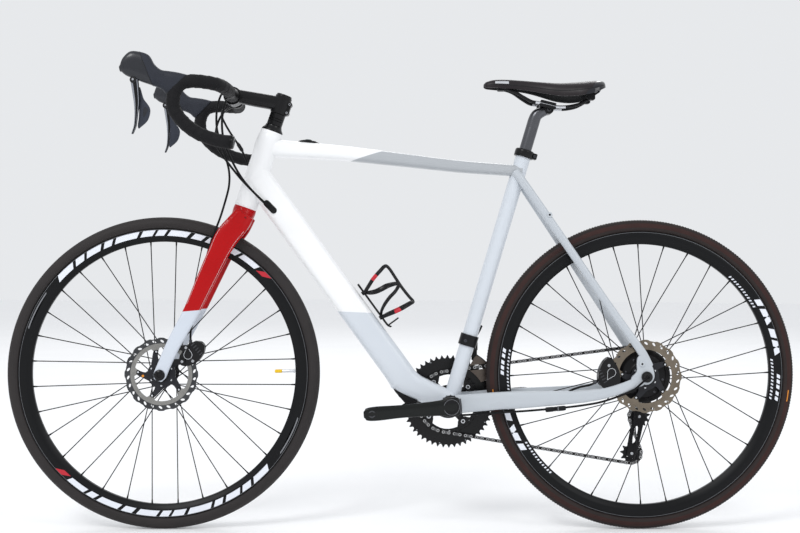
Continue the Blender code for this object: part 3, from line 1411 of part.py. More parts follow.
def make_derailleur_link():
    """The link between the body and the knuckle: two plates and a web between them."""
    top, low = np.array(LINK_TOP), np.array(LINK_LOW)
    offset = LINK_INNER + GAP + LINK_PLATE / 2
    body = capsule(top - X_WAY * offset, low - X_WAY * offset, LINK_RADIUS, LINK_PLATE / 2, X_WAY)
    union(body, capsule(top + X_WAY * offset, low + X_WAY * offset, LINK_RADIUS, LINK_PLATE / 2, X_WAY))
    way = unit(low - top)
    union(body, box((top + low) / 2, (11.0, offset, 4.6), along=way, up=np.cross(X_WAY, way)))
    for place in (top, low):
        cut(body, cylinder(place - X_WAY * 30, place + X_WAY * 30, LINK_PIN + GAP, 8))
    return body


def make_derailleur_knuckle():
    """The knuckle that the link carries, bored for the pulley cage's pivot."""
    axis = np.array([GUIDE_PULLEY[0], KNUCKLE_Y, GUIDE_PULLEY[1]])
    body = cylinder(axis - Y_WAY * 6.0, axis + Y_WAY * 10.0, KNUCKLE_RADIUS, 14)
    low = np.array(LINK_LOW)
    union(body, capsule(low, (axis[0], low[1], axis[2]), LINK_RADIUS, 5.0, Y_WAY))
    add_barrel(body, LINK_LOW)
    return cut(body, cylinder(axis - Y_WAY * 12, axis + Y_WAY * 8.0, CAGE_PIVOT_RADIUS + GAP, 10))


def make_caliper(outline, y_low, y_high, axle, rotor_y):
    """A disc caliper's body with the disc's slot cut in."""
    body = plate(outline, y_low, y_high)
    half = CALIPER_SLOT / 2
    disc = cylinder(axle + Y_WAY * (rotor_y - half), axle + Y_WAY * (rotor_y + half), ROTOR_RADIUS + 1.5, 26)
    return cut(body, disc)


FRONT_CALIPER = [(-487.5, 374.0), (-484.0, 363.0), (-470.0, 360.8), (-448.0, 368.0), (-434.0, 388.0),
                 (-430.6, 404.0), (-438.0, 414.5), (-452.0, 416.4), (-470.0, 408.0), (-482.0, 392.0)]
FRONT_CALIPER_Y = (-52.5, -30.0)
CALIPER_LUGS = [(-490.0, 372.0), (-482.0, 402.0)]
REAR_CALIPER = [(421.5, 340.0), (424.0, 326.0), (436.0, 316.1), (468.0, 322.0), (471.9, 340.0),
                (466.0, 362.0), (452.0, 383.0), (444.0, 385.4), (433.0, 376.0), (424.0, 358.0)]
REAR_CALIPER_Y = (-69.0, -47.0)
LEG = [
    ((-350.0, 692.0), 25.0, 22.0, 11.0),
    ((-364.0, 666.0), 35.0, 22.5, 10.0),
    ((-382.0, 641.0), 40.0, 21.0, 9.0),
    ((-401.0, 606.0), 43.5, 19.5, 8.5),
    ((-430.0, 545.0), 48.5, 18.3, 8.2),
    ((-460.0, 482.0), 53.0, 17.3, 8.0),
    ((-497.0, 411.0), 57.0, 15.5, 8.0),
    ((-518.0, 364.0), 58.3, 14.2, 8.0),
    ((-526.6, 343.0), 58.3, 14.0, 8.0),
    ((-530.5, 333.5), 58.3, 10.0, 7.6),
]
LEG_THICKNESS = 16.0


def leg_path(side):
    """The leg's centre line, its lower end carried by the front axle."""
    top, foot = LEG[0][0][1], DRAWN_AXLE_Z
    path = []
    for (x, z), y, _, _ in LEG:
        path.append(np.array([x, side * y, z]) + FRONT_MOVE * min(1.0, (top - z) / (top - foot)))
    return np.array(path)


def leg_rings(side, extra=0.0):
    path = leg_path(side)
    ways = np.gradient(path, axis=0)
    rings = []
    for place, way, (_, _, depth, half) in zip(path, ways, LEG):
        way = unit(way * np.array([1.0, 0.0, 1.0]))
        rings.append(ring(place, Y_WAY, np.cross(way, Y_WAY), half + extra, depth + extra, 10, 2.4, math.pi / 10))
    return rings


def make_fork():
    """Steerer, crown and two legs with the axle's hole; the lower bearing sits on the crown."""
    crown = []
    for height, across, along, power in ((-GAP, 24.6, 24.6, 2.0), (-10, 27.5, 25.0, 2.1), (-24, 35.5, 23.5, 2.4),
                                         (-34, 40.0, 22.5, 2.6), (-42, 41.0, 20.5, 2.6)):
        crown.append(ring(head_at(height), Y_WAY, np.cross(HEAD_WAY, Y_WAY), across, along, 12, power))
    body = loft(crown)
    top = STEM_BASE + STEM_STACK - 2.0
    union(body, cylinder(head_at(-11), head_at(top), STEERER_RADIUS, 12))
    union(body, cylinder(head_at(-5), head_at(BEARING_HEIGHT), BEARING_RADIUS, 16))
    for side in (-1, 1):
        union(body, loft(leg_rings(side)))
    hole = cylinder(FRONT_AXLE - Y_WAY * 90, FRONT_AXLE + Y_WAY * 90, AXLE_RADIUS + GAP, 10)
    return largest(cut(body, hole))


def make_front_caliper():
    body = make_caliper(moved(FRONT_CALIPER, FRONT_MOVE), *FRONT_CALIPER_Y, FRONT_AXLE, FRONT_ROTOR_Y)
    for x, z in moved(CALIPER_LUGS, FRONT_MOVE):
        union(body, box((x, FRONT_CALIPER_Y[0] - 1.0, z), (13.0, 5.0, 5.5)))
    cut(body, loft(leg_rings(-1, GAP)))
    return largest(body)


REAR_HOSE_ROUTE = [(352.0, -54.0, 300.0), (364.0, -56.5, 311.5), (384.0, -59.5, 319.5), (405.7, -61.5, 324.5),
                   (418.0, -62.0, 331.0), (428.0, -62.0, 340.0)]


def make_rear_caliper():
    """The rear caliper on the left chainstay with the hose that comes out of the stay."""
    body = make_caliper(moved(REAR_CALIPER, REAR_MOVE), *REAR_CALIPER_Y, REAR_AXLE, REAR_ROTOR_Y)
    hose = cord([REAR_MOVE + place for place in REAR_HOSE_ROUTE], 2.5, 10)
    union(body, hose)
    stay = loft([stay_ring(x, -y, top + GAP, low - GAP, half + GAP) for (x, y), (top, low), half in chainstay_stations()])
    return largest(cut(body, stay))


CONE = ((24.0, 0.3), (23.6, 3.0), (20.5, 7.5), (17.6, 14.0))


def make_headset_spacers():
    """The cone cover with its skirt in the head tube, and the spacers under the stem."""
    bore = STEERER_RADIUS + GAP
    skirt = HEAD_BORE * math.cos(math.pi / 12) - GAP
    profile = [(bore, HEAD_LENGTH - 6), (skirt, HEAD_LENGTH - 6), (skirt, HEAD_LENGTH + 0.3)]
    profile += [(r, HEAD_LENGTH + h) for r, h in CONE]
    profile += [(SPACER_RADIUS, HEAD_LENGTH + 14.6), (SPACER_RADIUS, STEM_BASE - GAP), (bore, STEM_BASE - GAP)]
    return revolve(profile, HEAD_BASE, HEAD_WAY, 12, closed=True)


STEM_EDGES = (
    ((-272.0, 954.2), (-278.0, 920.0), 15.0),
    ((-290.0, 956.8), (-295.0, 925.2), 16.5),
    ((-325.0, 962.4), (-329.5, 931.4), 16.0),
    ((-364.6, 968.7), (-367.8, 939.0), 17.0),
)
STEM_CAP = 4.6
PINCH_BOLTS = ((-253.0, 935.7), (-259.8, 917.1))


def make_stem():
    """The stem with its bar clamp, top cap and two pinch bolts behind the steerer."""
    body = cylinder(head_at(STEM_BASE), head_at(STEM_BASE + STEM_STACK), STEM_RADIUS, 12)
    union(body, loft(edge_tube(STEM_EDGES, 10, 2.8)))
    union(body, cylinder(CLAMP - Y_WAY * 21, CLAMP + Y_WAY * 21, CLAMP_RADIUS + 4.0, 12))
    top = STEM_BASE + STEM_STACK
    union(body, revolve([(SPACER_RADIUS, -0.5), (SPACER_RADIUS, STEM_CAP - 1.5), (SPACER_RADIUS - 2.5, STEM_CAP)],
                        head_at(top), HEAD_WAY, 12))
    (x0, z0), (x1, z1) = PINCH_BOLTS
    middle = np.array([(x0 + x1) / 2 - 5.0, 0.0, (z0 + z1) / 2])
    union(body, box(middle, (14.5, 9.0, 9.0), along=HEAD_WAY, up=-X_WAY))
    for x, z in PINCH_BOLTS:
        union(body, cylinder((x, -12.0, z), (x, 12.0, z), 5.5, 8))
    bore = cylinder(head_at(STEM_BASE - 5), head_at(top - 1.2), STEERER_RADIUS + GAP, 12)
    cut(body, bore)
    path, frames = bar_half(1)
    _, across, up = frames[0]
    reach = Y_WAY * 30.0
    wide = CLAMP_RADIUS + GAP
    return cut(body, loft([ring(path[0] + reach * k, across, up, wide, wide, BAR_SIDES) for k in (-1, 1)]))


# The right half of the bar's centre line, from the clamp to the drop's end.
BAR_ROUTE = (
    (-378.0, 0.0, 953.0), (-378.0, 60.0, 952.7), (-379.0, 120.0, 951.8), (-382.0, 160.0, 951.5),
    (-391.0, 186.0, 953.0), (-412.0, 200.0, 955.5), (-440.0, 205.0, 957.0), (-462.0, 206.0, 952.0),
    (-474.0, 207.0, 937.0), (-478.5, 208.0, 918.0), (-476.5, 209.0, 900.0), (-466.5, 210.0, 883.0),
    (-449.0, 211.0, 865.0), (-430.0, 212.0, 851.5), (-411.0, 213.0, 843.0), (-383.0, 214.0, 834.3),
    (-358.0, 215.0, 831.0),
)
BAR_STATIONS = 18
BAR_SIDES = 8
TAPE_START = 75.0


def bar_half(side):
    """The bar's path from the clamp outward on one side, with its frames."""
    path = smooth_path(BAR_ROUTE, BAR_STATIONS)
    path[:, 1] *= side
    return path, path_frames(path, Z_WAY)


def bar_rings(side, radius, first=0, last=None):
    path, frames = bar_half(side)
    pairs = list(zip(path, frames))[first:last]
    return [ring(p, a, u, radius, radius, BAR_SIDES) for p, (_, a, u) in pairs]


def tape_first():
    """The first of the bar's stations that the tape covers."""
    path, _ = bar_half(1)
    return int(np.argmax(path[:, 1] >= TAPE_START))


def make_handlebar():
    """The bar, thicker in the stem's clamp, with a plug at each end."""
    path, frames = bar_half(1)
    rings = []
    for place, (_, across, up) in zip(path, frames):
        t = min(1.0, max(0.0, (abs(place[1]) - 26.0) / 20.0))
        radius = CLAMP_RADIUS + (BAR_RADIUS - CLAMP_RADIUS) * t
        rings.append(ring(place, across, up, radius, radius, BAR_SIDES))
    way, across, up = frames[-1]
    for along, radius in ((GAP, BAR_RADIUS), (GAP + 0.01, TAPE_RADIUS - 0.7), (4.0, TAPE_RADIUS - 0.7), (5.5, 11.0)):
        rings.append(ring(path[-1] + way * along, across, up, radius, radius, BAR_SIDES))
    flipped = [r * np.array([1.0, -1.0, 1.0]) for r in rings]
    return loft(flipped[::-1] + rings[1:])


def make_tape(side):
    first = tape_first()
    outside = bar_rings(side, TAPE_RADIUS, first)
    inside = bar_rings(side, BAR_RADIUS + GAP, first)
    return loft(outside + inside[::-1], closed=True)


HOOD = (
    ((-470.0, 962.0), (-478.0, 940.0), 9.0),
    ((-483.0, 976.0), (-492.0, 934.0), 15.0),
    ((-503.0, 979.5), (-506.0, 942.5), 15.5),
    ((-517.0, 991.0), (-525.0, 948.5), 15.0),
    ((-528.0, 1008.5), (-540.0, 953.5), 14.5),
    ((-545.0, 1015.5), (-552.0, 958.0), 14.0),
    ((-566.0, 1016.5), (-566.0, 963.5), 13.5),
    ((-581.0, 1003.0), (-576.0, 968.0), 12.0),
    ((-587.0, 988.0), (-584.5, 975.0), 8.0),
)
LEVER = (
    ((-559.5, 957.0), 5.0, 6.5), ((-562.5, 938.0), 5.2, 6.5), ((-565.0, 914.0), 4.8, 6.0),
    ((-564.0, 888.0), 4.4, 5.6), ((-560.5, 864.0), 3.8, 5.2), ((-557.6, 849.0), 2.6, 4.2),
)
PADDLE = ((-551.5, 944.0), (-546.0, 944.0), (-541.0, 922.0), (-534.0, 912.0), (-526.0, 904.0), (-527.0, 892.0),
          (-530.3, 882.2), (-538.2, 869.4), (-541.5, 884.0), (-541.7, 900.0), (-543.0, 914.0), (-548.5, 926.0))
PADDLE_PIVOT = (-550.8, 940.0)
PADDLE_BARREL = 3.6


def make_hood(side):
    """The rubber-covered lever body in front of the bar, with the lever's cradle below."""
    rings = []
    for upper, lower, half in HOOD:
        top, low = np.array([upper[0], 0.0, upper[1]]), np.array([lower[0], 0.0, lower[1]])
        up = unit(top - low)
        rings.append(ring((top + low) / 2 + Y_WAY * side * HOOD_Y, Y_WAY, up, half, np.linalg.norm(top - low) / 2,
                          10, 2.7, math.pi / 14))
    body = loft(rings)
    cut(body, loft(bar_rings(side, TAPE_RADIUS + GAP, 6, -3)))
    barrel = np.array([LEVER_X, side * HOOD_Y, LEVER_Z])
    return largest(cut(body, cylinder(barrel - Y_WAY * 30, barrel + Y_WAY * 30, LEVER_BARREL + GAP, 12)))


def make_lever(side):
    barrel = np.array([LEVER_X, side * HOOD_Y, LEVER_Z])
    body = cylinder(barrel - Y_WAY * 9.0, barrel + Y_WAY * 9.0, LEVER_BARREL, 12)
    path = np.array([(x, side * HOOD_Y, z) for (x, z), _, _ in LEVER])
    rings = []
    for place, way, (_, depth, half) in zip(path, np.gradient(path, axis=0), LEVER):
        way = unit(way)
        rings.append(ring(place, Y_WAY, np.cross(way, Y_WAY), half, depth, 8, 2.4, math.pi / 12))
    return union(body, loft(rings))


def make_paddle(side):
    y = side * (HOOD_Y - 1.0)
    body = plate(PADDLE, min(y, y - side * 3.4), max(y, y - side * 3.4))
    start = np.array([PADDLE_PIVOT[0] - 5.2, side * HOOD_Y, PADDLE_PIVOT[1]])
    return union(body, cylinder(start, start + X_WAY * 10.5, PADDLE_BARREL, 8))


HOSE_RADIUS = 2.5
REAR_BRAKE_HOSE = [
    (-385.4, 74.0, 940.1), (-388.0, 58.0, 937.0), (-396.0, 30.0, 927.0), (-403.0, -4.0, 912.0),
    (-411.0, -26.0, 885.0), (-412.0, -36.5, 850.0), (-401.0, -40.0, 826.0), (-384.0, -40.5, 803.0),
    (-358.0, -39.5, 770.6), (-328.0, -36.5, 739.5), (-304.0, -31.6, 716.5), (-295.0, -28.4, 708.5),
]
FRONT_GEAR_HOUSING = [
    (-385.4, -74.0, 940.1), (-386.5, -62.0, 937.0), (-393.0, -54.0, 921.0), (-397.0, -50.0, 890.0),
    (-394.5, -47.0, 858.0), (-386.0, -45.0, 831.0), (-369.0, -43.0, 795.0), (-351.0, -40.5, 766.3),
    (-327.0, -36.8, 738.5), (-304.5, -31.6, 716.0), (-295.0, -28.4, 708.0),
]
REAR_GEAR_HOUSING = [
    (-392.5, 74.0, 950.0), (-397.0, 55.0, 947.0), (-402.0, 28.0, 932.0), (-403.5, 0.0, 912.0),
    (-396.0, 5.0, 893.0), (-384.0, 16.0, 872.0), (-368.0, 30.0, 848.0), (-362.0, 34.5, 838.0),
    (-345.0, 39.0, 800.0), (-322.0, 37.5, 760.0), (-303.0, 32.5, 727.0), (-296.0, 29.0, 717.0),
]
FRONT_BRAKE_HOSE = [
    (-391.4, -75.0, 950.2), (-399.0, -64.0, 945.0), (-407.0, -58.0, 918.0), (-407.5, -57.0, 880.0),
    (-399.0, -54.0, 845.0), (-389.1, -50.0, 815.8), (-381.5, -48.0, 785.8), (-381.0, -46.5, 758.0),
    (-386.0, -46.0, 732.5), (-399.0, -46.0, 688.0), (-411.5, -44.0, 655.0), (-424.0, -36.5, 622.0),
    (-432.5, -31.0, 590.0), (-440.0, -35.5, 545.0), (-450.0, -39.5, 500.0), (-458.0, -42.5, 462.0),
    (-463.0, -44.0, 436.0), (-463.0, -44.0, 411.0),
]


def make_control_hoses():
    """The rear brake hose and two gear housings from the bar to the frame, with the inline adjuster."""
    body = cord(REAR_BRAKE_HOSE, HOSE_RADIUS, 17)
    union(body, cord(FRONT_GEAR_HOUSING, HOSE_RADIUS, 15), cord(REAR_GEAR_HOUSING, HOSE_RADIUS - 0.1, 15))
    start, end = np.array(REAR_GEAR_HOUSING[6]), np.array(REAR_GEAR_HOUSING[7])
    way = unit(end - start)
    union(body, cylinder(start - way * 7.0, end + way * 3.0, 4.4, 8))
    grommet = plate(grommet_outline(GAP), -GROMMET_FACE - 2.8 - GAP, -GROMMET_FACE + 2.0)
    tube_body = loft(edge_tube(DOWN_TUBE, 10, 3.2, -GAP))
    return largest(cut(body, grommet, tube_body))


def make_front_hose():
    body = cord(FRONT_BRAKE_HOSE, HOSE_RADIUS - 0.1, 29)
    outline = outset(moved(FRONT_CALIPER, FRONT_MOVE), GAP)
    wider = plate(outline, FRONT_CALIPER_Y[0] - GAP, FRONT_CALIPER_Y[1] + GAP)
    return largest(cut(body, wider, loft(leg_rings(-1, GAP))))


def outset(outline, distance):
    """An outline grown outward from its middle by about a distance."""
    outline = np.asarray(outline, float)
    middle = outline.mean(axis=0)
    rays = outline - middle
    lengths = np.linalg.norm(rays, axis=1)[:, None]
    return middle + rays * (lengths + distance * 1.3) / lengths


SADDLE = (
    (176.0, 985.0, 979.0, 7.0), (182.0, 990.0, 976.5, 15.5), (200.0, 994.6, 975.0, 20.0),
    (234.0, 995.0, 973.0, 21.0), (262.0, 993.5, 970.5, 23.0), (290.0, 991.0, 965.5, 28.0),
    (318.0, 988.5, 959.0, 38.0), (341.0, 987.0, 954.5, 50.0), (366.0, 987.5, 953.0, 62.0),
    (385.0, 988.8, 955.0, 70.0), (405.0, 990.8, 960.5, 72.5), (425.0, 992.5, 969.0, 66.0),
    (436.0, 991.5, 976.0, 52.0), (440.9, 986.0, 980.0, 36.0),
)
SADDLE_PADDING = 9.0
SADDLE_EDGE = 3.0
SHELL_THICKNESS = 2.4
SADDLE_SIDE = 9
TILT_CENTRE = (320.0, 929.0)
TILT_BARREL = 10.0
TILT_HALF = 15.0
RAIL_RADIUS = 3.5
RAIL_ROUTE = (
    (410.0, 31.0, 953.5), (396.0, 30.5, 944.8), (381.0, 28.0, 938.2), (358.0, 24.0, 933.9), (336.0, 22.0, 933.8),
    (318.0, 22.0, 937.6), (294.7, 22.0, 942.4), (280.0, 20.5, 945.5), (262.0, 17.0, 955.5), (243.7, 12.5, 967.0),
    (229.0, 9.0, 972.5), (219.0, 5.5, 974.0), (215.0, 0.0, 974.2),
)


def arch(x, top, low, half, count):
    """A crowned section across the saddle: sides that turn down to their lower edge."""
    t = np.linspace(-1, 1, count) * math.pi / 2
    y = half * np.sin(t)
    z = top - (top - low) * (1 - np.cos(t)) ** 1.6
    return np.stack([np.full(count, x), y, z], 1)


def saddle_layer(outer_drop, outer_side, thickness, side_wall, rise=0.0, first=0, last=None):
    rings = []
    for x, top, low, half in SADDLE[first:last]:
        share = min(1.0, (top - low) / 20.0)
        outer_top = top - outer_drop * share
        inner_top = outer_top - thickness * share
        outside = arch(x, outer_top, low + rise, half - outer_side, SADDLE_SIDE)
        inside = arch(x, inner_top, low + rise, half - outer_side - side_wall, SADDLE_SIDE)
        rings.append(np.vstack([outside, inside[::-1]]))
    return loft(rings)


def make_saddle_cover():
    return saddle_layer(0.0, 0.0, SADDLE_PADDING, SADDLE_EDGE)


def rail_path():
    half = smooth_path(RAIL_ROUTE, 14)
    other = half[::-1][1:] * np.array([1.0, -1.0, 1.0])
    return np.vstack([half, other])


def make_saddle_rails():
    return sweep(rail_path(), RAIL_RADIUS, 8)


def rail_space():
    path = rail_path()
    ends = np.vstack([path[0] + (path[0] - path[1]) * 0.06, path, path[-1] + (path[-1] - path[-2]) * 0.06])
    return sweep(ends, RAIL_RADIUS + 1.6 * GAP, 8)


def make_saddle_shell():
    """The saddle's shell with the sockets that hold the rails at the nose and the tail."""
    drop, side_gap = SADDLE_PADDING + GAP * 3.4, SADDLE_EDGE + GAP * 3.4
    body = saddle_layer(drop, side_gap, SHELL_THICKNESS, SHELL_THICKNESS, 0.8, 2, 12)
    nose, tail = np.array(RAIL_ROUTE[-1]), np.array(RAIL_ROUTE[0])
    union(body, box(nose + Z_WAY * 1.8, (8.0, 10.0, 5.6)))
    for side in (-1, 1):
        union(body, box((tail[0] - 1.0, side * tail[1], tail[2] + 8.5), (9.0, 7.5, 14.5)))
    return largest(cut(body, rail_space()))


def make_saddle_clamp():
    """The clamp that grips the rails over the post's barrel."""
    x, z = TILT_CENTRE
    body = box((x, 0.0, z + 8.5), (14.0, 27.0, 7.5), along=(0.974, 0.0, -0.228))
    cut(body, cylinder((x, -TILT_HALF - GAP, z), (x, TILT_HALF + GAP, z), TILT_BARREL + GAP, 12))
    return largest(cut(body, rail_space()))


def make_seatpost():
    """The post with its setback neck and the barrel that the saddle tilts on."""
    low = SEAT_TUBE_LENGTH - SEATPOST_INSERT
    neck = 655.0
    body = cylinder(seat_at(low), seat_at(neck + 6), SEATPOST_RADIUS, 12)
    x, z = TILT_CENTRE
    head = np.array([x, 0.0, z])
    start = seat_at(neck - 8)
    rings = []
    for t, half_y, half in ((0.0, 11.5, 9.0), (0.35, 12.5, 11.0), (0.7, 12.5, 8.0), (1.0, 12.0, 5.6)):
        way = unit(SEAT_WAY * (1 - t) + unit(head - start) * (0.2 + t))
        rings.append(ring(start + (head - start) * t, Y_WAY, np.cross(way, Y_WAY), half_y, half, 8, 2.4))
    union(body, loft(rings))
    return union(body, cylinder(head - Y_WAY * TILT_HALF, head + Y_WAY * TILT_HALF, TILT_BARREL, 12))


WHITE = (236, 237, 240)
PALE = (186, 199, 214)
RED = (196, 22, 30)
BLACK = (24, 25, 27)
SOFT_BLACK = (34, 35, 37)
SILVER = (196, 198, 202)
STEEL = (170, 172, 176)


def main():
    clear_scene()
    steering = joint("steering_axis", HEAD_BASE, HEAD_WAY)
    front_wheel = joint("front_wheel_axis", FRONT_AXLE, Y_WAY, steering)
    rear_wheel = joint("rear_wheel_axis", REAR_AXLE, Y_WAY)
    sprockets = joint("cassette_axis", REAR_AXLE, Y_WAY)
    crank = joint("crank_axis", BB, Y_WAY)
    post = joint("seatpost_axis", seat_at(SEAT_TUBE_LENGTH), SEAT_WAY)
    saddle = joint("saddle_axis", (TILT_CENTRE[0], 0.0, TILT_CENTRE[1]), Y_WAY, post)
    shifter = joint("front_derailleur_slide", seat_at_z(sum(FD_CLAMP) / 2), Y_WAY)
    link = joint("derailleur_link_axis", LINK_TOP, X_WAY)
    knuckle = joint("derailleur_knuckle_axis", LINK_LOW, X_WAY, link)
    arm_at = (GUIDE_PULLEY[0], LARGEST_Y, GUIDE_PULLEY[1])
    arm = joint("derailleur_arm_axis", arm_at, Y_WAY, knuckle)
    guide = joint("guide_pulley_axis", arm_at, Y_WAY, arm)
    tension = joint("tension_pulley_axis", (TENSION_PULLEY[0], LARGEST_Y, TENSION_PULLEY[1]), Y_WAY, arm)
    port = joint("port_cover_axis", (PORT_HINGE[0], 0.0, PORT_HINGE[1]), -Y_WAY)
    button = joint("power_button_axis", (BUTTON_X, 0.0, top_line(BUTTON_X)), np.cross(top_way(), Y_WAY))

    finish(make_head_tube(), "head_tube", WHITE, 0.25)
    finish(make_top_tube(), "top_tube", WHITE, 0.25)
    finish(make_down_tube(), "down_tube", WHITE, 0.25)
    finish(make_seat_tube(), "seat_tube", PALE, 0.25)
    finish(make_rear_stays(-1), "rear_stays_left", PALE, 0.25)
    finish(make_rear_stays(1), "rear_stays_right", PALE, 0.25)
    finish(make_seat_collar(), "seat_collar", BLACK, 0.4, 0.3)
    finish(make_battery(), "battery_pack", SOFT_BLACK, 0.5)
    finish(make_port_cover(), "charge_port_cover", BLACK, 0.45, 0.0, port)
    finish(make_bottom_bracket(), "bottom_bracket_unit", BLACK, 0.4, 0.6)
    finish(make_bottle_cage(), "bottle_cage", BLACK, 0.3)
    finish(make_controller(), "controller_housing", BLACK, 0.35)
    finish(make_button(), "power_button", SILVER, 0.4, 0.0, button)
    finish(make_grommet(), "cable_grommet", BLACK, 0.8)
    finish(make_derailleur_clamp(), "front_derailleur_mount", SOFT_BLACK, 0.35, 0.6)
    finish(make_derailleur_cage(), "front_derailleur_cage", STEEL, 0.3, 0.8, shifter)
    finish(make_derailleur_body(), "rear_derailleur_body", SOFT_BLACK, 0.35, 0.6)
    finish(make_derailleur_link(), "rear_derailleur_linkage", SOFT_BLACK, 0.35, 0.6, link)
    finish(make_derailleur_knuckle(), "rear_derailleur_knuckle", SOFT_BLACK, 0.35, 0.6, knuckle)
    finish(make_derailleur_arm(), "rear_derailleur_cage", SOFT_BLACK, 0.35, 0.6, arm)
    finish(make_pulley(GUIDE_PULLEY), "guide_pulley", BLACK, 0.6, 0.0, guide)
    finish(make_pulley(TENSION_PULLEY), "tension_pulley", BLACK, 0.6, 0.0, tension)
    finish(make_rear_caliper(), "rear_brake_caliper", BLACK, 0.4, 0.4)
    finish(make_rear_axle(), "rear_axle", SOFT_BLACK, 0.4, 0.8)
    finish(make_motor_cable(), "motor_cable", BLACK, 0.7)
    finish(make_chain(), "chain", STEEL, 0.35, 0.9)
    finish(make_seatpost(), "seatpost", BLACK, 0.35, 0.2, post)
    finish(make_saddle_clamp(), "saddle_clamp", SOFT_BLACK, 0.4, 0.6, saddle)
    finish(make_saddle_rails(), "saddle_rails", STEEL, 0.35, 0.9, saddle)
    finish(make_saddle_shell(), "saddle_shell", BLACK, 0.5, 0.0, saddle)
    finish(make_saddle_cover(), "saddle_cover", BLACK, 0.55, 0.0, saddle)
    finish(make_fork(), "fork", RED, 0.25, 0.0, steering)
    finish(make_stem(), "stem", BLACK, 0.4, 0.3, steering)
    finish(make_headset_spacers(), "headset_spacers", BLACK, 0.35, 0.3, steering)
    finish(make_handlebar(), "handlebar", BLACK, 0.4, 0.3, steering)
    finish(make_front_caliper(), "front_brake_caliper", BLACK, 0.4, 0.4, steering)
    finish(make_front_hose(), "front_brake_hose", BLACK, 0.6, 0.0, steering)
    finish(make_control_hoses(), "control_hoses", BLACK, 0.6)
    finish(make_front_axle(), "front_axle", SOFT_BLACK, 0.4, 0.8, steering)
    for side, word in ((-1, "left"), (1, "right")):
        pivot = (LEVER_X, side * HOOD_Y, LEVER_Z)
        lever = joint("brake_lever_axis_" + word, pivot, -Y_WAY, steering)
        turn = X_WAY if side < 0 else -X_WAY
        paddle = joint("shift_paddle_axis_" + word, (PADDLE_PIVOT[0], side * HOOD_Y, PADDLE_PIVOT[1]), turn, lever)
        finish(make_tape(side), "bar_tape_" + word, BLACK, 0.8, 0.0, steering)
        finish(make_hood(side), "hood_" + word, SOFT_BLACK, 0.7, 0.0, steering)
        finish(make_lever(side), "brake_lever_" + word, SOFT_BLACK, 0.3, 0.7, lever)
        finish(make_paddle(side), "shift_paddle_" + word, SOFT_BLACK, 0.4, 0.3, paddle)
        finish(make_crank_arm(side), "crank_arm_" + word, BLACK, 0.3, 0.6, crank)
    finish(make_tyre(FRONT_AXLE), "front_tyre", SOFT_BLACK, 0.85, 0.0, front_wheel)
    finish(make_rim(FRONT_AXLE), "front_rim", BLACK, 0.4, 0.3, front_wheel)
    finish(make_front_hub(), "front_hub", BLACK, 0.4, 0.6, front_wheel)
    finish(make_rotor(FRONT_AXLE, FRONT_ROTOR_Y), "front_rotor", SILVER, 0.3, 0.9, front_wheel)
    finish(make_tyre(REAR_AXLE), "rear_tyre", SOFT_BLACK, 0.85, 0.0, rear_wheel)
    finish(make_rim(REAR_AXLE), "rear_rim", BLACK, 0.4, 0.3, rear_wheel)
    finish(make_rear_hub(), "rear_hub_motor", BLACK, 0.45, 0.5, rear_wheel)
    finish(make_rotor(REAR_AXLE, REAR_ROTOR_Y), "rear_rotor", SILVER, 0.3, 0.9, rear_wheel)
    finish(make_cassette(), "cassette", STEEL, 0.35, 0.9, sprockets)
    finish(make_chainring(OUTER_TEETH, OUTER_RING_Y, OUTER_RING_BORE), "chainring_outer", SOFT_BLACK, 0.35, 0.7, crank)
    finish(make_chainring(INNER_TEETH, INNER_RING_Y, INNER_RING_BORE), "chainring_inner", SOFT_BLACK, 0.35, 0.7, crank)


main()
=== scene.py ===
"""Looks of the electric road bike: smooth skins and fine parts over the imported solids.

Sizes are in millimetres and the meshes in metres. The front points along -X and the left side along -Y.
"""
import math

import bpy
import numpy as np
from mathutils import Matrix
from mathutils.geometry import tessellate_polygon


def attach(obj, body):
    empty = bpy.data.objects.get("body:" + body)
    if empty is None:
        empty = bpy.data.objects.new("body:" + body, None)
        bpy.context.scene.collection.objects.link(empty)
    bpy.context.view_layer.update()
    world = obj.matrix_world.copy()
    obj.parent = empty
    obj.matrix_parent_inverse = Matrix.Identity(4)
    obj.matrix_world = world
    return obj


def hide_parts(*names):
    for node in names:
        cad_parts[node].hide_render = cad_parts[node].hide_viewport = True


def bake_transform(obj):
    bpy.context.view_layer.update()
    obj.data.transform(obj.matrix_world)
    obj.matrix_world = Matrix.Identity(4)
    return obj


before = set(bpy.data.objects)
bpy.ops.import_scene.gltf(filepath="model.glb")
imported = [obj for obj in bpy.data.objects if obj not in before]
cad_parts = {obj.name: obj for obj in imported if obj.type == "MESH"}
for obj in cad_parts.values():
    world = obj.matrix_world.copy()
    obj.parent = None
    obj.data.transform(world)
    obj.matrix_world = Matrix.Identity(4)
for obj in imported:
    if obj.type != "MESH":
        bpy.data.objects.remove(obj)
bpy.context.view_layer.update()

MM = 0.001
POLE = 0.01
X, Y, Z = np.eye(3)


PICTURE_WIDTH, FOCAL_PIXELS = 800, 1266.1
CAMERA_PLACE = (-0.074, -2.805, 0.576)
CAMERA_TURNS = ((-1.35, "Z"), (90.08, "X"), (0.28, "Z"))


def camera_at_photo():
    """A 57 mm lens 2.8 m off the left side and 0.58 m up, turned a little and rolled."""
    lens = bpy.data.cameras.new("camera")
    lens.sensor_width = 36.0
    lens.lens = FOCAL_PIXELS / PICTURE_WIDTH * 36
    lens.clip_start, lens.clip_end = 0.05, 60.0
    eye = bpy.data.objects.new("camera", lens)
    bpy.context.scene.collection.objects.link(eye)
    turns = [Matrix.Rotation(math.radians(degrees), 4, way) for degrees, way in CAMERA_TURNS]
    eye.matrix_world = Matrix.Translation(CAMERA_PLACE) @ turns[0] @ turns[1] @ turns[2]
    bpy.context.scene.camera = eye


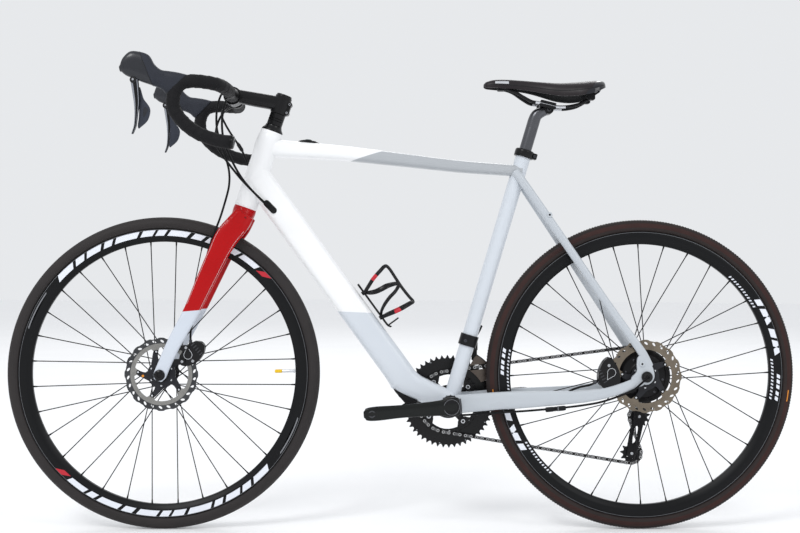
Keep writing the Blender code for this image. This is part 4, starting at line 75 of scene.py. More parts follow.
camera_at_photo()
bpy.context.scene.view_settings.view_transform = "Standard"


def unit(vectors):
    """Each vector over its own length."""
    vectors = np.asarray(vectors, float)
    return vectors / np.linalg.norm(vectors, axis=-1, keepdims=True)


def turn_steps(count):
    """Even angles round a full turn, the first at zero."""
    return np.arange(count) * 2 * math.pi / count


def lengths_along(path):
    """How far along a path each of its points lies."""
    return np.concatenate([[0], np.cumsum(np.linalg.norm(np.diff(path, axis=0), axis=1))])


def grid_faces(n, m, closed):
    """Quads between n rows of m points, turned the way of the rows; open ends fan to two middle points."""
    i, j = np.arange(n if closed else n - 1)[:, None], np.arange(m)[None, :]
    h, k = (i + 1) % n, (j + 1) % m
    faces = [np.stack([i * m + j, i * m + k, h * m + k, h * m + j], -1).reshape(-1, 4)]
    if not closed:
        j, k = j[0], k[0]
        first, last = np.full(m, n * m), np.full(m, n * m + 1)
        faces.append(np.vstack([np.stack([k, j, first], 1), np.stack([(n - 1) * m + j, (n - 1) * m + k, last], 1)]))
    return faces


def outward(points, faces):
    """The shape with its faces turned so that the volume, a sum of triple products, is above zero."""
    p = points - points.mean(0)
    volume = sum(np.einsum("ij,ij->", p[f[:, 0]], np.cross(p[f[:, k]], p[f[:, k + 1]]))
                 for f in faces for k in range(1, f.shape[1] - 1))
    return points, (faces if volume > 0 else [f[:, ::-1] for f in faces])


def skin(rows, closed=False):
    """A tube over rows of points, closed end to end or with a fan over each end."""
    rows = np.asarray(rows, float)
    n, m = rows.shape[:2]
    points = rows.reshape(-1, 3)
    if not closed:
        points = np.vstack([points, rows[0].mean(0), rows[-1].mean(0)])
    return outward(points, grid_faces(n, m, closed))


def lathe(base, way, profile, sides=48, closed=True):
    """A turned shape: each profile point is a radius and a height along the axis, carried round in even steps."""
    way = unit(way)
    across = unit(np.cross(way, Y if abs(way[1]) < 0.9 else X))
    up = np.cross(way, across)
    radius, height = np.asarray(profile, float).T[:, :, None, None]
    angle = turn_steps(sides)[None, :, None]
    rows = np.asarray(base, float) + height * way + radius * (np.cos(angle) * across + np.sin(angle) * up)
    return skin(rows, closed)


def knob(base, way, profile, sides=48):
    """A turned solid: a profile whose two ends run in level to a pin-point at the axis."""
    (_, first), (_, last) = profile[0], profile[-1]
    return lathe(base, way, [(POLE, first), *profile, (POLE, last)], sides, False)


def rods(starts, ends, radii, sides=8, spans=None):
    """Straight rods all at once: at each share of its length a rod has the next radius, and round ends fan shut."""
    starts, ends = np.atleast_2d(starts).astype(float), np.atleast_2d(ends).astype(float)
    radii = np.atleast_1d(radii).astype(float)
    radii = np.repeat(radii, 2) if len(radii) == 1 else radii
    spans = np.linspace(0, 1, len(radii)) if spans is None else np.asarray(spans, float)
    way = unit(ends - starts)
    across = unit(np.cross(way, np.where(np.abs(way[:, 1:2]) < 0.9, Y, X)))
    up = np.cross(way, across)
    angle = turn_steps(sides)[None, :, None]
    round_it = np.cos(angle) * across[:, None] + np.sin(angle) * up[:, None]
    middle = starts[:, None] + spans[None, :, None] * (ends - starts)[:, None]
    rows = middle[:, :, None] + radii[None, :, None, None] * round_it[:, None]
    count = len(radii) * sides + 2
    points = np.concatenate([rows.reshape(len(starts), -1, 3), middle[:, :1], middle[:, -1:]], 1).reshape(-1, 3)
    step = (np.arange(len(starts)) * count)[:, None, None]
    return points, [(f[None] + step).reshape(-1, f.shape[1]) for f in grid_faces(len(radii), sides, False)]


def smooth(points, count):
    """Even steps on the curve through the points, each span a cubic of its two points and their neighbours."""
    p = np.asarray(points, float)
    p = np.vstack([2 * p[0] - p[1], p, 2 * p[-1] - p[-2]])
    dense = between(p, 16)
    steps = lengths_along(dense[:, :3])
    at = np.linspace(0, steps[-1], count)
    return np.stack([np.interp(at, steps, column) for column in dense.T], 1)


def between(p, per):
    """Cubic spans through all but the first and last rows of a table, with per samples in each."""
    t = np.linspace(0, 1, per, endpoint=False)[None, :, None]
    a, b, c, d = (q[:, None] for q in (p[:-3], p[1:-2], p[2:-1], p[3:]))
    dense = 0.5 * (2 * b + (c - a) * t + (2 * a - 5 * b + 4 * c - d) * t**2 + (3 * b - a - 3 * c + d) * t**3)
    return np.vstack([dense.reshape(-1, p.shape[1]), p[-2]])


def through(table, per=6):
    """A table of stations with cubic spans between its rows."""
    p = np.array([np.hstack([np.ravel(cell) for cell in row]) for row in table], float)
    return between(np.vstack([2 * p[0] - p[1], p, 2 * p[-1] - p[-2]]), per)


def frames_of(path, first_up=Z):
    """Two square directions at each point of a path, carried along it without twist."""
    ways = unit(np.gradient(path, axis=0))
    up = np.asarray(first_up, float)
    sides, ups = [], []
    for way in ways:
        up = unit(up - way * way.dot(up))
        sides.append(np.cross(up, way))
        ups.append(up)
    return ways, np.array(sides), np.array(ups)


def rings(middle, across, up, half_across, half_up, sides=32, power=2):
    """A superellipse at each station, in the plane of its two directions."""
    angle = (np.arange(sides) + 0.5) * 2 * math.pi / sides
    c, s = np.cos(angle), np.sin(angle)
    u = (np.sign(c) * np.abs(c) ** (2 / power))[None, :, None]
    v = (np.sign(s) * np.abs(s) ** (2 / power))[None, :, None]
    a = np.broadcast_to(half_across, (len(middle),))[:, None, None]
    b = np.broadcast_to(half_up, (len(middle),))[:, None, None]
    across, up = np.broadcast_to(across, middle.shape), np.broadcast_to(up, middle.shape)
    return middle[:, None] + u * a * across[:, None] + v * b * up[:, None]


def sweep(path, radius, sides=16, first_up=Z, closed=False):
    """A round rod along a path with one radius or one for each point."""
    across, up = frames_of(path, first_up)[1:]
    return skin(rings(path, across, up, radius, radius, sides), closed)


def rounded(shape_rows, size):
    """Rows of a loft with its two ends drawn in over a quarter circle of the given size."""
    rows = np.asarray(shape_rows, float)
    heads = []
    for end, before in ((rows[0], rows[1]), (rows[-1], rows[-2])):
        middle = end.mean(0)
        way = unit(middle - before.mean(0))
        reach = np.linalg.norm(end - middle, axis=1).min()
        angle = np.linspace(0, math.pi / 2, 5)[1:, None, None]
        shrink = 1 - np.minimum(size / reach, 1) * (1 - np.cos(angle))
        heads.append(middle + (end - middle)[None] * shrink + way * size * np.sin(angle))
    return np.vstack([heads[0][::-1], rows, heads[1]])


def filled(loops):
    """Triangles over flat loops, one round the outside and the others round holes, all turned the same way."""
    flat = np.vstack(loops)
    tris = np.array([tuple(t) for t in tessellate_polygon([np.insert(loop, 2, 0, axis=1).tolist()
                                                           for loop in loops])])
    a, b, c = (flat[tris[:, k]] for k in range(3))
    flip = (b[:, 0] - a[:, 0]) * (c[:, 1] - a[:, 1]) < (b[:, 1] - a[:, 1]) * (c[:, 0] - a[:, 0])
    tris[flip] = tris[flip][:, ::-1]
    return tris


def slab(outline, face, other, holes=()):
    """A flat plate in X and Z between two heights in Y: triangles over the loops, and walls round each of them."""
    low, high = sorted((face, other))
    loops = [loop if area(loop) * sign > 0 else loop[::-1]
             for loop, sign in [(np.asarray(outline, float), 1)] + [(np.asarray(h, float), -1) for h in holes]]
    flat = np.vstack(loops)
    n = len(flat)
    tris = filled(loops)
    start, walls = 0, []
    for loop in loops:
        j = np.arange(len(loop))
        k = (j + 1) % len(loop)
        walls.append(np.stack([j, j + n, k + n, k], 1) + start)
        start += len(loop)
    points = np.vstack([np.insert(flat, 1, low, axis=1), np.insert(flat, 1, high, axis=1)])
    return points, [np.vstack(walls), np.vstack([tris, tris[:, ::-1] + n])]


def area(loop):
    """Twice the area of a loop, above zero where it runs from X to Z."""
    return np.sum(loop[:, 0] * np.roll(loop[:, 1], -1) - np.roll(loop[:, 0], -1) * loop[:, 1])


def polar(centre, radius, angle):
    """Points in X and Z by their distance and angle from a centre."""
    return np.stack([centre[0] + radius * np.cos(angle), centre[-1] + radius * np.sin(angle)], -1)


def circle(centre, radius, count=24):
    """A round loop in X and Z."""
    return polar(centre, radius, turn_steps(count))


def crosswise(way):
    """A direction in X and Z turned a quarter."""
    return np.array([-way[1], way[0]])


def at(shape, origin, x_way=X, y_way=Y, z_way=Z):
    """A shape with its own X, Y and Z laid along three directions from an origin."""
    points, faces = shape
    return outward(np.asarray(origin, float) + points @ np.array([x_way, y_way, z_way], float), faces)


def copies(shape, turns, places):
    """A shape repeated: each copy turned by its matrix and moved to its place."""
    points, faces = shape
    spots = np.einsum("kab,nb->kna", turns, points) + np.asarray(places, float)[:, None]
    step = (np.arange(len(places)) * len(points))[:, None, None]
    return spots.reshape(-1, 3), [(f[None] + step).reshape(-1, f.shape[1]) for f in faces]


def about_y(angles):
    """Matrices that turn X toward Z by each angle."""
    c, s, o = np.cos(angles), np.sin(angles), np.zeros_like(angles)
    return np.stack([np.stack([c, o, -s], 1), np.stack([o, o + 1, o], 1), np.stack([s, o, c], 1)], 1)


def round_the(shape, centre, angles):
    """Copies of a shape round an axis along Y; the shape itself is drawn with that axis at its origin."""
    return copies(shape, about_y(np.asarray(angles, float)), np.broadcast_to(centre, (len(angles), 3)))


def hexagon_bolt(base, way, radius, height):
    """A round cap screw: a chamfered head with a six-sided well in it."""
    way = unit(way)
    profile = [(POLE, 0), (radius, 0), (radius, height * 0.8), (radius * 0.88, height), (radius * 0.55, height),
               (radius * 0.5, height * 0.45), (POLE, height * 0.45)]
    return lathe(base, way, profile, 18, closed=False)


def piece(name, body, parts, nodes=(), bevel=0, sharp=38):
    """One object from shapes in millimetres; a part is a shape, its look or looks, and which look each quad has."""
    looks, points, faces, index, start = [], [], [], [], 0
    for shape, look, *cells in parts:
        spots, groups = shape
        own = list(look) if isinstance(look, (list, tuple)) else [look]
        looks += [each for each in own if each not in looks]
        number = np.array([looks.index(each) for each in own])
        for rank, group in enumerate(groups):
            faces += (group + start).tolist()
            cell = np.asarray(cells[0]).ravel() if cells and rank == 0 else np.zeros(len(group), int)
            index.append(number[cell])
        points.append(spots)
        start += len(spots)
    mesh = bpy.data.meshes.new(name)
    mesh.from_pydata((np.vstack(points) * MM).tolist(), [], faces)
    for look in looks:
        mesh.materials.append(look)
    mesh.polygons.foreach_set("material_index", np.concatenate(index).astype(np.int32))
    mesh.shade_smooth()
    mesh.set_sharp_from_angle(angle=math.radians(sharp))
    thing = bpy.data.objects.new(name, mesh)
    bpy.context.scene.collection.objects.link(thing)
    if bevel:
        edge = thing.modifiers.new("edge", "BEVEL")
        edge.width, edge.segments, edge.limit_method = bevel * MM, 2, "ANGLE"
        edge.angle_limit = math.radians(sharp)
    if body:
        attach(thing, body)
    if nodes:
        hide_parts(*nodes)
    return thing


def add(look, kind, sources=(), out=0, **settings):
    """One node of a look: its inputs, by order or by name, take numbers or other nodes' outputs."""
    node = look.node_tree.nodes.new("ShaderNode" + kind)
    for key, value in settings.items():
        setattr(node, key, value)
    pairs = sources.items() if isinstance(sources, dict) else enumerate(sources)
    for key, source in pairs:
        if isinstance(source, bpy.types.NodeSocket):
            look.node_tree.links.new(source, node.inputs[key])
        elif source is not None:
            node.inputs[key].default_value = source
    return node.outputs if out is None else node.outputs[out]


def rgb(red, green, blue):
    """A colour written out of 255 as light, with its alpha."""
    c = np.array([red, green, blue]) / 255
    return (*np.where(c <= 0.04045, c / 12.92, ((c + 0.055) / 1.055) ** 2.4), 1)


def finish(name, colour, rough, metallic=0, coat=0, drift=0.06, soft=14, fine=500, bump=0.08, depth=0.02,
           paint=None, edge=0, stretch=None, sheen=0, spec=0.22):
    """A finish whose colour and gloss drift with a soft noise, with a fine bump and paler worn edges."""
    look = bpy.data.materials.new(name)
    look.use_nodes = True
    shader = look.node_tree.nodes["Principled BSDF"]
    shader.inputs["Metallic"].default_value = metallic
    shader.inputs["Coat Weight"].default_value = coat
    shader.inputs["Coat Roughness"].default_value = 0.06
    shader.inputs["Sheen Weight"].default_value = sheen
    shader.inputs["Specular IOR Level"].default_value = spec
    place = add(look, "TexCoord", out=3)
    if stretch:
        place = add(look, "Mapping", {"Vector": place, "Scale": stretch})
    cloud = add(look, "TexNoise", {"Vector": place, "Scale": soft, "Detail": 3.0})
    shade = add(look, "MapRange", [cloud, 0.3, 0.7, 1.0 - drift, 1.0 + drift])
    base = paint(look, place) if paint else colour
    base = add(look, "MixRGB", [1, base, shade], blend_type="MULTIPLY")
    if edge:
        worn = add(look, "MapRange", [add(look, "NewGeometry", out=7), 0.51, 0.58, 0, edge])
        base = add(look, "MixRGB", [worn, base, tuple(min(1, c * 1.6 + 0.05) for c in colour[:3]) + (1,)])
    look.node_tree.links.new(base, shader.inputs["Base Color"])
    grain = add(look, "TexNoise", {"Vector": place, "Scale": fine, "Detail": 4.0})
    gloss = add(look, "MapRange", [cloud, 0.3, 0.7, rough * 0.85, min(1, rough * 1.18)])
    look.node_tree.links.new(gloss, shader.inputs["Roughness"])
    skin_bump = add(look, "Bump", {"Strength": bump, "Distance": depth * MM, "Height": grain})
    look.node_tree.links.new(skin_bump, shader.inputs["Normal"])
    return look


def side_of(look, place, point, normal, soft=0.0004):
    """0 before and 1 past a plane through a point in millimetres."""
    past = add(look, "VectorMath", [place, tuple(unit(normal))], out=1, operation="DOT_PRODUCT")
    at_plane = float(np.dot(unit(normal), point)) * MM
    return add(look, "MapRange", [past, at_plane - soft, at_plane + soft, 0, 1])


WHITE, PALE, RED = rgb(238, 239, 240), rgb(203, 209, 216), rgb(170, 2, 7)
# The top tube's and the stays' pales on the next line are the frame's pale darkened as painted shade; the fork's pale
# is its own colour.
SHADED_TOP_PALE, SHADED_STAY_PALE, FORK_PALE = rgb(170, 174, 178), rgb(184, 190, 196), rgb(200, 207, 217)


def two_tone(first, second, point, normal):
    """Paint that changes from one colour to the other at a masked line."""
    return lambda look, place: add(look, "MixRGB", [side_of(look, place, point, normal), first, second])


gloss = dict(coat=0.35, drift=0.012, soft=6, fine=160, bump=0.05, depth=0.05)
white_paint = finish("white_paint", WHITE, 0.3, **gloss)
pale_paint = finish("pale_paint", PALE, 0.3, **gloss)
# The stays' paint is the frame's pale darkened as painted shade, for the shade that falls on the stays.
shaded_stay_paint = finish("shaded_stay_paint", SHADED_STAY_PALE, 0.3, **gloss)
# The top tube's white changes to its pale at the paint line; that pale is darkened as painted shade, for the shade on
# the tube's rear.
top_tube_paint = finish("top_tube_paint", WHITE, 0.3, **gloss,
                        paint=two_tone(WHITE, SHADED_TOP_PALE, (-74, 0, 826), (24, 0, -74)))
down_tube_paint = finish("down_tube_paint", WHITE, 0.3, **gloss,
                         paint=two_tone(PALE, WHITE, (0, 0, 475), (0.04, 0, 1)))
fork_paint = finish("fork_paint", RED, 0.3, coat=0.12, drift=0.03, soft=9, fine=160, bump=0.05, depth=0.05, spec=0.15,
                    paint=two_tone(FORK_PALE, RED, (-480, 0, 480), (-0.09, 0, 1)))
line_paint = finish("line_paint", rgb(236, 238, 240), 0.35, drift=0.02)
seam_black = finish("seam_black", rgb(30, 30, 32), 0.6)
gloss_black = finish("gloss_black", rgb(12, 12, 14), 0.26, drift=0.1, bump=0.03, spec=0.25)
satin_black = finish("satin_black", rgb(17, 17, 19), 0.42, drift=0.1, edge=0.12, spec=0.16)
black_alloy = finish("black_alloy", rgb(19, 19, 21), 0.3, metallic=0.2, drift=0.12, edge=0.3, spec=0.2)
dark_alloy = finish("dark_alloy", rgb(58, 59, 63), 0.34, metallic=0.8, drift=0.12, edge=0.5)
bare_steel = finish("bare_steel", rgb(172, 174, 178), 0.3, metallic=0.95, drift=0.12, soft=60, fine=900, bump=0.12)
link_steel = finish("link_steel", rgb(98, 98, 99), 0.36, metallic=0.8, drift=0.1, soft=30, fine=700, bump=0.1)
chain_steel = finish("chain_steel", rgb(168, 168, 168), 0.34, metallic=0.9, drift=0.25, soft=90, fine=900, bump=0.15)
spoke_steel = finish("spoke_steel", rgb(24, 24, 26), 0.35, metallic=0.5, drift=0.15, soft=40)
silver = finish("silver_alloy", rgb(206, 208, 212), 0.28, metallic=0.9, drift=0.06, soft=30)
shifter_steel = finish("shifter_steel", rgb(92, 84, 78), 0.3, metallic=0.9, drift=0.15, soft=50, fine=900, bump=0.1)
dark_steel = finish("dark_steel", rgb(34, 33, 33), 0.4, metallic=0.7, drift=0.2, soft=70)
rim_black = finish("rim_black", rgb(15, 16, 18), 0.36, drift=0.1, soft=12, fine=700, spec=0.16)
rim_white = finish("rim_white", rgb(226, 230, 238), 0.4, drift=0.02)
rim_red = finish("rim_red", rgb(186, 44, 56), 0.4, drift=0.03)
rim_grey = finish("rim_grey", rgb(120, 122, 126), 0.45, drift=0.05)
front_rubber = finish("front_rubber", rgb(46, 43, 43), 0.6, spec=0.2, drift=0.14, soft=22, fine=1400, bump=0.35,
                      depth=0.05)
rear_rubber = finish("rear_rubber", rgb(46, 40, 39), 0.7, spec=0.15, drift=0.16, soft=22, fine=1200, bump=0.4,
                     depth=0.06)
maroon_rubber = finish("maroon_rubber", rgb(54, 36, 34), 0.62, spec=0.15, drift=0.16, soft=30, fine=1400, bump=0.3,
                       depth=0.05)
orange_mark = finish("orange_mark", rgb(216, 138, 46), 0.5, drift=0.05)
hood_rubber = finish("hood_rubber", rgb(42, 45, 53), 0.55, drift=0.08, soft=30, fine=1600, bump=0.5, depth=0.05,
                     spec=0.2)
hose_black = finish("hose_black", rgb(12, 12, 14), 0.4, drift=0.08, soft=60, spec=0.15)
black_plastic = finish("black_plastic", rgb(20, 21, 23), 0.5, spec=0.18, drift=0.07, soft=40, fine=1300, bump=0.4,
                       depth=0.03)
button_grey = finish("button_grey", rgb(150, 153, 158), 0.4, drift=0.04)
button_ring = finish("button_ring", rgb(30, 62, 44), 0.3, drift=0.03)
yellow_cap = finish("yellow_cap", rgb(232, 190, 40), 0.5, drift=0.05)
rear_disc_steel = finish("rear_disc_steel", rgb(116, 107, 95), 0.28, metallic=0.9, drift=0.2, soft=30, fine=400,
                         bump=0.15)
post_alloy = finish("post_alloy", rgb(88, 89, 93), 0.24, metallic=0.75, drift=0.08, soft=14, fine=500, bump=0.08)
crank_black = finish("crank_black", rgb(14, 17, 16), 0.24, coat=0.1, drift=0.08, soft=14, fine=500, bump=0.04,
                     spec=0.2)
spider_black = finish("spider_black", rgb(36, 37, 41), 0.4, drift=0.1, bump=0.05, spec=0.2)
rotor_rim = finish("rotor_rim", rgb(66, 67, 69), 0.3, metallic=0.8, drift=0.25, soft=26, fine=400, bump=0.1)
disc_steel = finish("disc_steel", rgb(136, 135, 132), 0.26, metallic=0.9, drift=0.1, soft=80, fine=60, bump=0.25,
                    stretch=(1, 1, 1))
tail_blue = finish("tail_blue", rgb(17, 19, 27), 0.14, coat=0.5, drift=0.08, soft=80, bump=0.03)


def over_bump(look, strength, depth, height):
    """One more bump over the look's own, as deep as the given part of a millimetre."""
    socket = look.node_tree.nodes["Principled BSDF"].inputs["Normal"]
    own = socket.links[0].from_node.outputs[0]
    bump = add(look, "Bump", {"Strength": strength, "Distance": depth * MM, "Height": height, "Normal": own})
    look.node_tree.links.new(bump, socket)


def ripple(look, across, count, height):
    """Fine even ridges across a direction: a sine of the place along it, count of them in a metre."""
    along = add(look, "VectorMath", [add(look, "TexCoord", out=3), across], out=1, operation="DOT_PRODUCT")
    wave = add(look, "Math", [add(look, "Math", [along, count * 2 * math.pi], operation="MULTIPLY")],
               operation="SINE")
    over_bump(look, 1, height, wave)


def tape_look():
    """Cork tape: a soft black with round pores and a dry sheen."""
    look = finish("wound_tape", rgb(22, 22, 24), 0.7, spec=0.15, drift=0.1, soft=40, fine=1500, bump=0.6, depth=0.08,
                  sheen=0.04)
    over_bump(look, 0.5, 0.15, add(look, "TexVoronoi", {"Vector": add(look, "TexCoord", out=3), "Scale": 420.0}))
    return look


def saddle_look():
    """Saddle skin: a dark synthetic leather with a pebbled grain."""
    look = finish("saddle_skin", rgb(31, 26, 29), 0.4, spec=0.22, drift=0.12, soft=18, fine=900, bump=0.12,
                  depth=0.05, sheen=0.03)
    over_bump(look, 0.2, 0.08, add(look, "TexVoronoi", {"Vector": add(look, "TexCoord", out=3), "Scale": 650.0}))
    return look


wound_tape = tape_look()
saddle_skin = saddle_look()
ripple(hood_rubber, (0.7, 0, 0.7), 620, 0.04)


def studio():
    """A pale floor under a soft white room: the room's own light is even, and three wide lamps give the shape."""
    world = bpy.data.worlds.new("room")
    bpy.context.scene.world = world
    world.use_nodes = True
    even = add(world, "Background", {"Color": (0.965, 0.975, 1, 1), "Strength": 0.80})
    seen = add(world, "Background", {"Color": (0.80, 0.815, 0.835, 1), "Strength": 1.0})
    ray = add(world, "LightPath", out=None)
    straight = add(world, "Math", [ray["Is Camera Ray"], ray["Is Glossy Ray"]], operation="MAXIMUM")
    straight = add(world, "Math", [straight, ray["Is Transmission Ray"]], operation="MAXIMUM")
    mix = add(world, "MixShader", [straight, even, seen])
    world.node_tree.links.new(mix, world.node_tree.nodes["World Output"].inputs["Surface"])
    for name, place, aim, size, power in (("key", (-3.4, -5.4, 6.4), (0, 0, 0.6), 2.6, 245),
                                          ("fill", (5, -4.6, 4.4), (0.2, 0, 0.6), 3, 80),
                                          ("rim", (0.8, 6, 5.6), (0, 0, 0.6), 3, 90)):
        lamp = bpy.data.lights.new(name, "AREA")
        lamp.size, lamp.energy = size, power
        thing = bpy.data.objects.new(name, lamp)
        bpy.context.scene.collection.objects.link(thing)
        way = unit(np.array(aim) - np.array(place))
        side = unit(np.cross(way, Z))
        turn = Matrix(np.column_stack([side, np.cross(side, way), -way]).tolist()).to_4x4()
        thing.matrix_world = Matrix.Translation(place) @ turn
    floor_look = finish("floor", (0.88, 0.885, 0.89, 1), 0.8, drift=0.01, soft=3, fine=60, bump=0.05, spec=0.1)
    glow = floor_look.node_tree.nodes["Principled BSDF"].inputs
    glow["Emission Color"].default_value = (0.9, 0.95, 1, 1)
    glow["Emission Strength"].default_value = 0.09
    ring_size = np.array([0.01, 1.2, 3, 8, 20])
    angle = turn_steps(64)
    top = np.stack([np.stack([r * np.cos(angle), r * np.sin(angle), 0 * angle], 1) for r in ring_size])
    rows = np.vstack([top, top[::-1] - np.array([0, 0, 0.01])]) * 1000
    floor = piece("floor", None, [(skin(rows), floor_look)])


studio()


def tilted(degrees):
    """A direction in the bike's plane, turned up from X."""
    return np.array([math.cos(math.radians(degrees)), 0, math.sin(math.radians(degrees))])


BB = np.array([103.3, 0, 276.6])
SEAT_WAY = tilted(73.6)
HEAD_BASE = np.array([-349.8, 0, 708.4])
HEAD_WAY = tilted(71.17)
FRONT_AXLE = np.array([-526.6, 0, 343])
REAR_AXLE = np.array([526.6, 0, 343])
HANGER = np.array([536, 0, 315])
TOP_TUBE = [
    ((-318, 861.5), (-318, 821), 22), ((-269.6, 857.7), (-272, 818.6), 22), ((-141.6, 846.7), (-144.5, 813.6), 20.8),
    ((-8.6, 831.3), (-12.2, 801.8), 19.4), ((124.6, 815.8), (121.5, 788.8), 18.4), ((237, 807.4), (235, 781.8), 17.6),
    ((262, 806), (260, 778), 17.4)]
DOWN_TUBE = [
    ((-304, 799.7), (-354, 763), 25), ((-286, 775.2), (-336, 738.5), 27.5), ((-229.3, 698), (-279.3, 661.3), 28.5),
    ((-3.6, 390.9), (-53.6, 354.2), 28.5), ((30.6, 345.5), (-21.4, 308), 28.5), ((60.4, 327.5), (34, 282.2), 28.5),
    ((94.2, 311.5), (70, 262), 28), ((112, 303), (98, 254.5), 27.5)]
CHAINSTAY = [
    ((110, 27), (298, 257), 8.4), ((212, 32.5), (305.8, 267), 8.2), ((254, 39), (307.8, 270.2), 8.2),
    ((365.5, 56), (311.2, 282.2), 7.8), ((410, 63.5), (314.6, 289), 7), ((446.3, 67.6), (321, 297.4), 6.2),
    ((485, 70.2), (334, 309.5), 5.2), ((520, 71.4), (351, 325), 3.6)]
SEATSTAY = [
    ((246, 16), 790, 8, 9.5), ((263, 20), 766, 8, 9.5), ((325, 31), 676, 7.4, 9.2), ((438, 48), 510.1, 6.8, 8.8),
    ((476, 59.5), 454.5, 6.4, 8.8), ((499, 67.2), 421.5, 5.8, 9), ((518, 70.6), 393.5, 4.6, 9.5),
    ((532, 71.4), 366, 3.6, 9.5)]
EYELETS = ((319.3, 694.9, 33.6), (516.1, 371.1, 73.4))


def seat_at(length):
    """A point up the seat tube's axis."""
    return BB + SEAT_WAY * length


def head_at(height):
    """A point up the steering axis."""
    return HEAD_BASE + HEAD_WAY * height


def brick(half_x, half_z, corner, low, high, origin, x_way=X, y_way=Y, z_way=Z):
    """A block with four round edges, laid along three directions from an origin."""
    return at(slab(rounded_box(half_x, half_z, corner), low, high), origin, x_way, y_way, z_way)


def edge_stations(table, per, y):
    """Middles, upward ways, half widths and half heights between upper and lower edges in X and Z."""
    s = through(table, per)
    top, low = s[:, 0:2], s[:, 2:4]
    middle = np.insert((top + low) / 2, 1, y, axis=1)
    return middle, np.insert(unit(top - low), 1, 0.0, axis=1), s[:, 4], np.linalg.norm(top - low, axis=1) / 2


def edge_loft(table, power, per=8, inset=0, sides=48):
    """A tube from its upper and lower edges in X and Z and its half width: superellipses between the edges."""
    middle, up, half, half_up = edge_stations(table, per, 0.0)
    return skin(rings(middle, Y, up, half - inset, half_up - inset, sides, power))


def bead(points, radius, sides=8):
    """A closed ring of weld: a thin rod whose thickness ripples along it."""
    path = np.asarray(points, float)
    ripple_it = radius * (1 + 0.12 * np.sin(np.arange(len(path)) * 2.2))
    ways = unit(np.roll(path, -1, 0) - np.roll(path, 1, 0))
    out = unit(path - path.mean(0))
    out = unit(out - ways * np.sum(out * ways, 1)[:, None])
    return skin(rings(path, np.cross(out, ways), out, ripple_it, ripple_it, sides), closed=True)


def head_tube():
    """A turned shell with a swelling at each end, and a rubber seal where the spacers meet it."""
    outer = [(24.5, 0), (25.2, 1), (25.3, 8), (25.3, 122.5), (25.6, 128), (26.5, 135), (26.9, 139), (26.9, 157.5),
             (26.3, 163), (25.1, 168), (24.5, 171.5), (24.3, 176.5), (23.9, 177.5)]
    shell = lathe(HEAD_BASE, HEAD_WAY, outer + [(19.6, 177.5), (19.6, 12), (22.2, 12), (22.2, 0)], 64)
    seal = lathe(head_at(176.2), HEAD_WAY, [(23.2, 0), (24, .35), (24, .9), (23.2, 1.25)], 48)
    piece("head_tube_skin", "frame", [(shell, white_paint), (seal, seam_black)], ["head_tube"])


def top_tube():
    """A loft of soft superellipses from the head tube to the seat tube."""
    piece("top_tube_skin", "frame", [(edge_loft(TOP_TUBE, 2.6, 10), top_tube_paint)], ["top_tube"])


def down_tube():
    """A loft of flatter superellipses; beneath it the charging socket sits in a black tray behind its cover."""
    body = edge_loft(DOWN_TUBE, 3.2, 10)
    way, out = unit([55.4, 0, -25.8]), unit([-25.8, 0, -55.4])
    middle = np.array([7.5, 0, 293.5])
    tray = brick(12.5, 14.5, 4, -1.6, 1.4, middle, way, out, Y)
    socket = lathe(middle + out, out, [(6.6, 0), (6.6, 3), (6, 3.6), (4.9, 3.6), (4.9, 1), (POLE, 1)], 24, False)
    feet = middle + np.outer((-2, 2), Y) + out * 0.8
    pin = rods(feet, feet + out * 2.2, [.8], 8)
    parts = [(body, down_tube_paint), (tray, black_plastic), (socket, gloss_black), (pin, silver)]
    piece("down_tube_skin", "frame", parts, ["down_tube"])
    inner = edge_loft(DOWN_TUBE[2:4], 3.2, 4, 3.4, 32)
    piece("battery_skin", "frame", [(inner, black_plastic)], ["battery_pack"])


def rounded_box(half_x, half_z, corner, centre=(0, 0), per=5):
    """A loop in X and Z: a rectangle with round corners."""
    loop = []
    for i, (sx, sz) in enumerate(((1, 1), (-1, 1), (-1, -1), (1, -1))):
        angle = np.radians(np.linspace(0, 90, per) + 90 * i)
        spot = np.array([centre[0] + sx * (half_x - corner), centre[1] + sz * (half_z - corner)])
        loop.append(spot + corner * np.stack([np.cos(angle), np.sin(angle)], 1))
    return np.vstack(loop)


def seat_tube():
    """A plain tube with its bore, the wide shell across its foot, and a weld bead where they meet."""
    tube = lathe(BB, SEAT_WAY, [(16.75, 0), (16.75, 575.4), (16.2, 576), (13.85, 576), (13.85, 0)], 48)
    shell = lathe(BB, Y, [(22.1, -34), (22.5, -33.5), (22.5, 33.5), (22.1, 34), (18, 34), (18, -34)], 56)
    parts = [(tube, pale_paint), (shell, pale_paint)]
    turn = turn_steps(72)
    ring_points = BB + 17.2 * np.stack([np.cos(turn), np.sin(turn)], 1) @ np.array([unit(np.cross(SEAT_WAY, Y)), Y])
    lift = np.sqrt(22.6**2 - (17.2 * np.cos(turn))**2)
    parts.append((bead(ring_points + lift[:, None] * SEAT_WAY, 1.3), pale_paint))
    piece("seat_tube_skin", "frame", parts, ["seat_tube"])


def smooth_outline(loop, passes=2):
    """A loop with its corners cut to a quarter and three quarters of each side, passes times over."""
    p = np.asarray(loop, float)
    for _ in range(passes):
        n = np.roll(p, -1, axis=0)
        p = np.stack([p * 0.75 + n * 0.25, p * 0.25 + n * 0.75], 1).reshape(-1, 2)
    return p


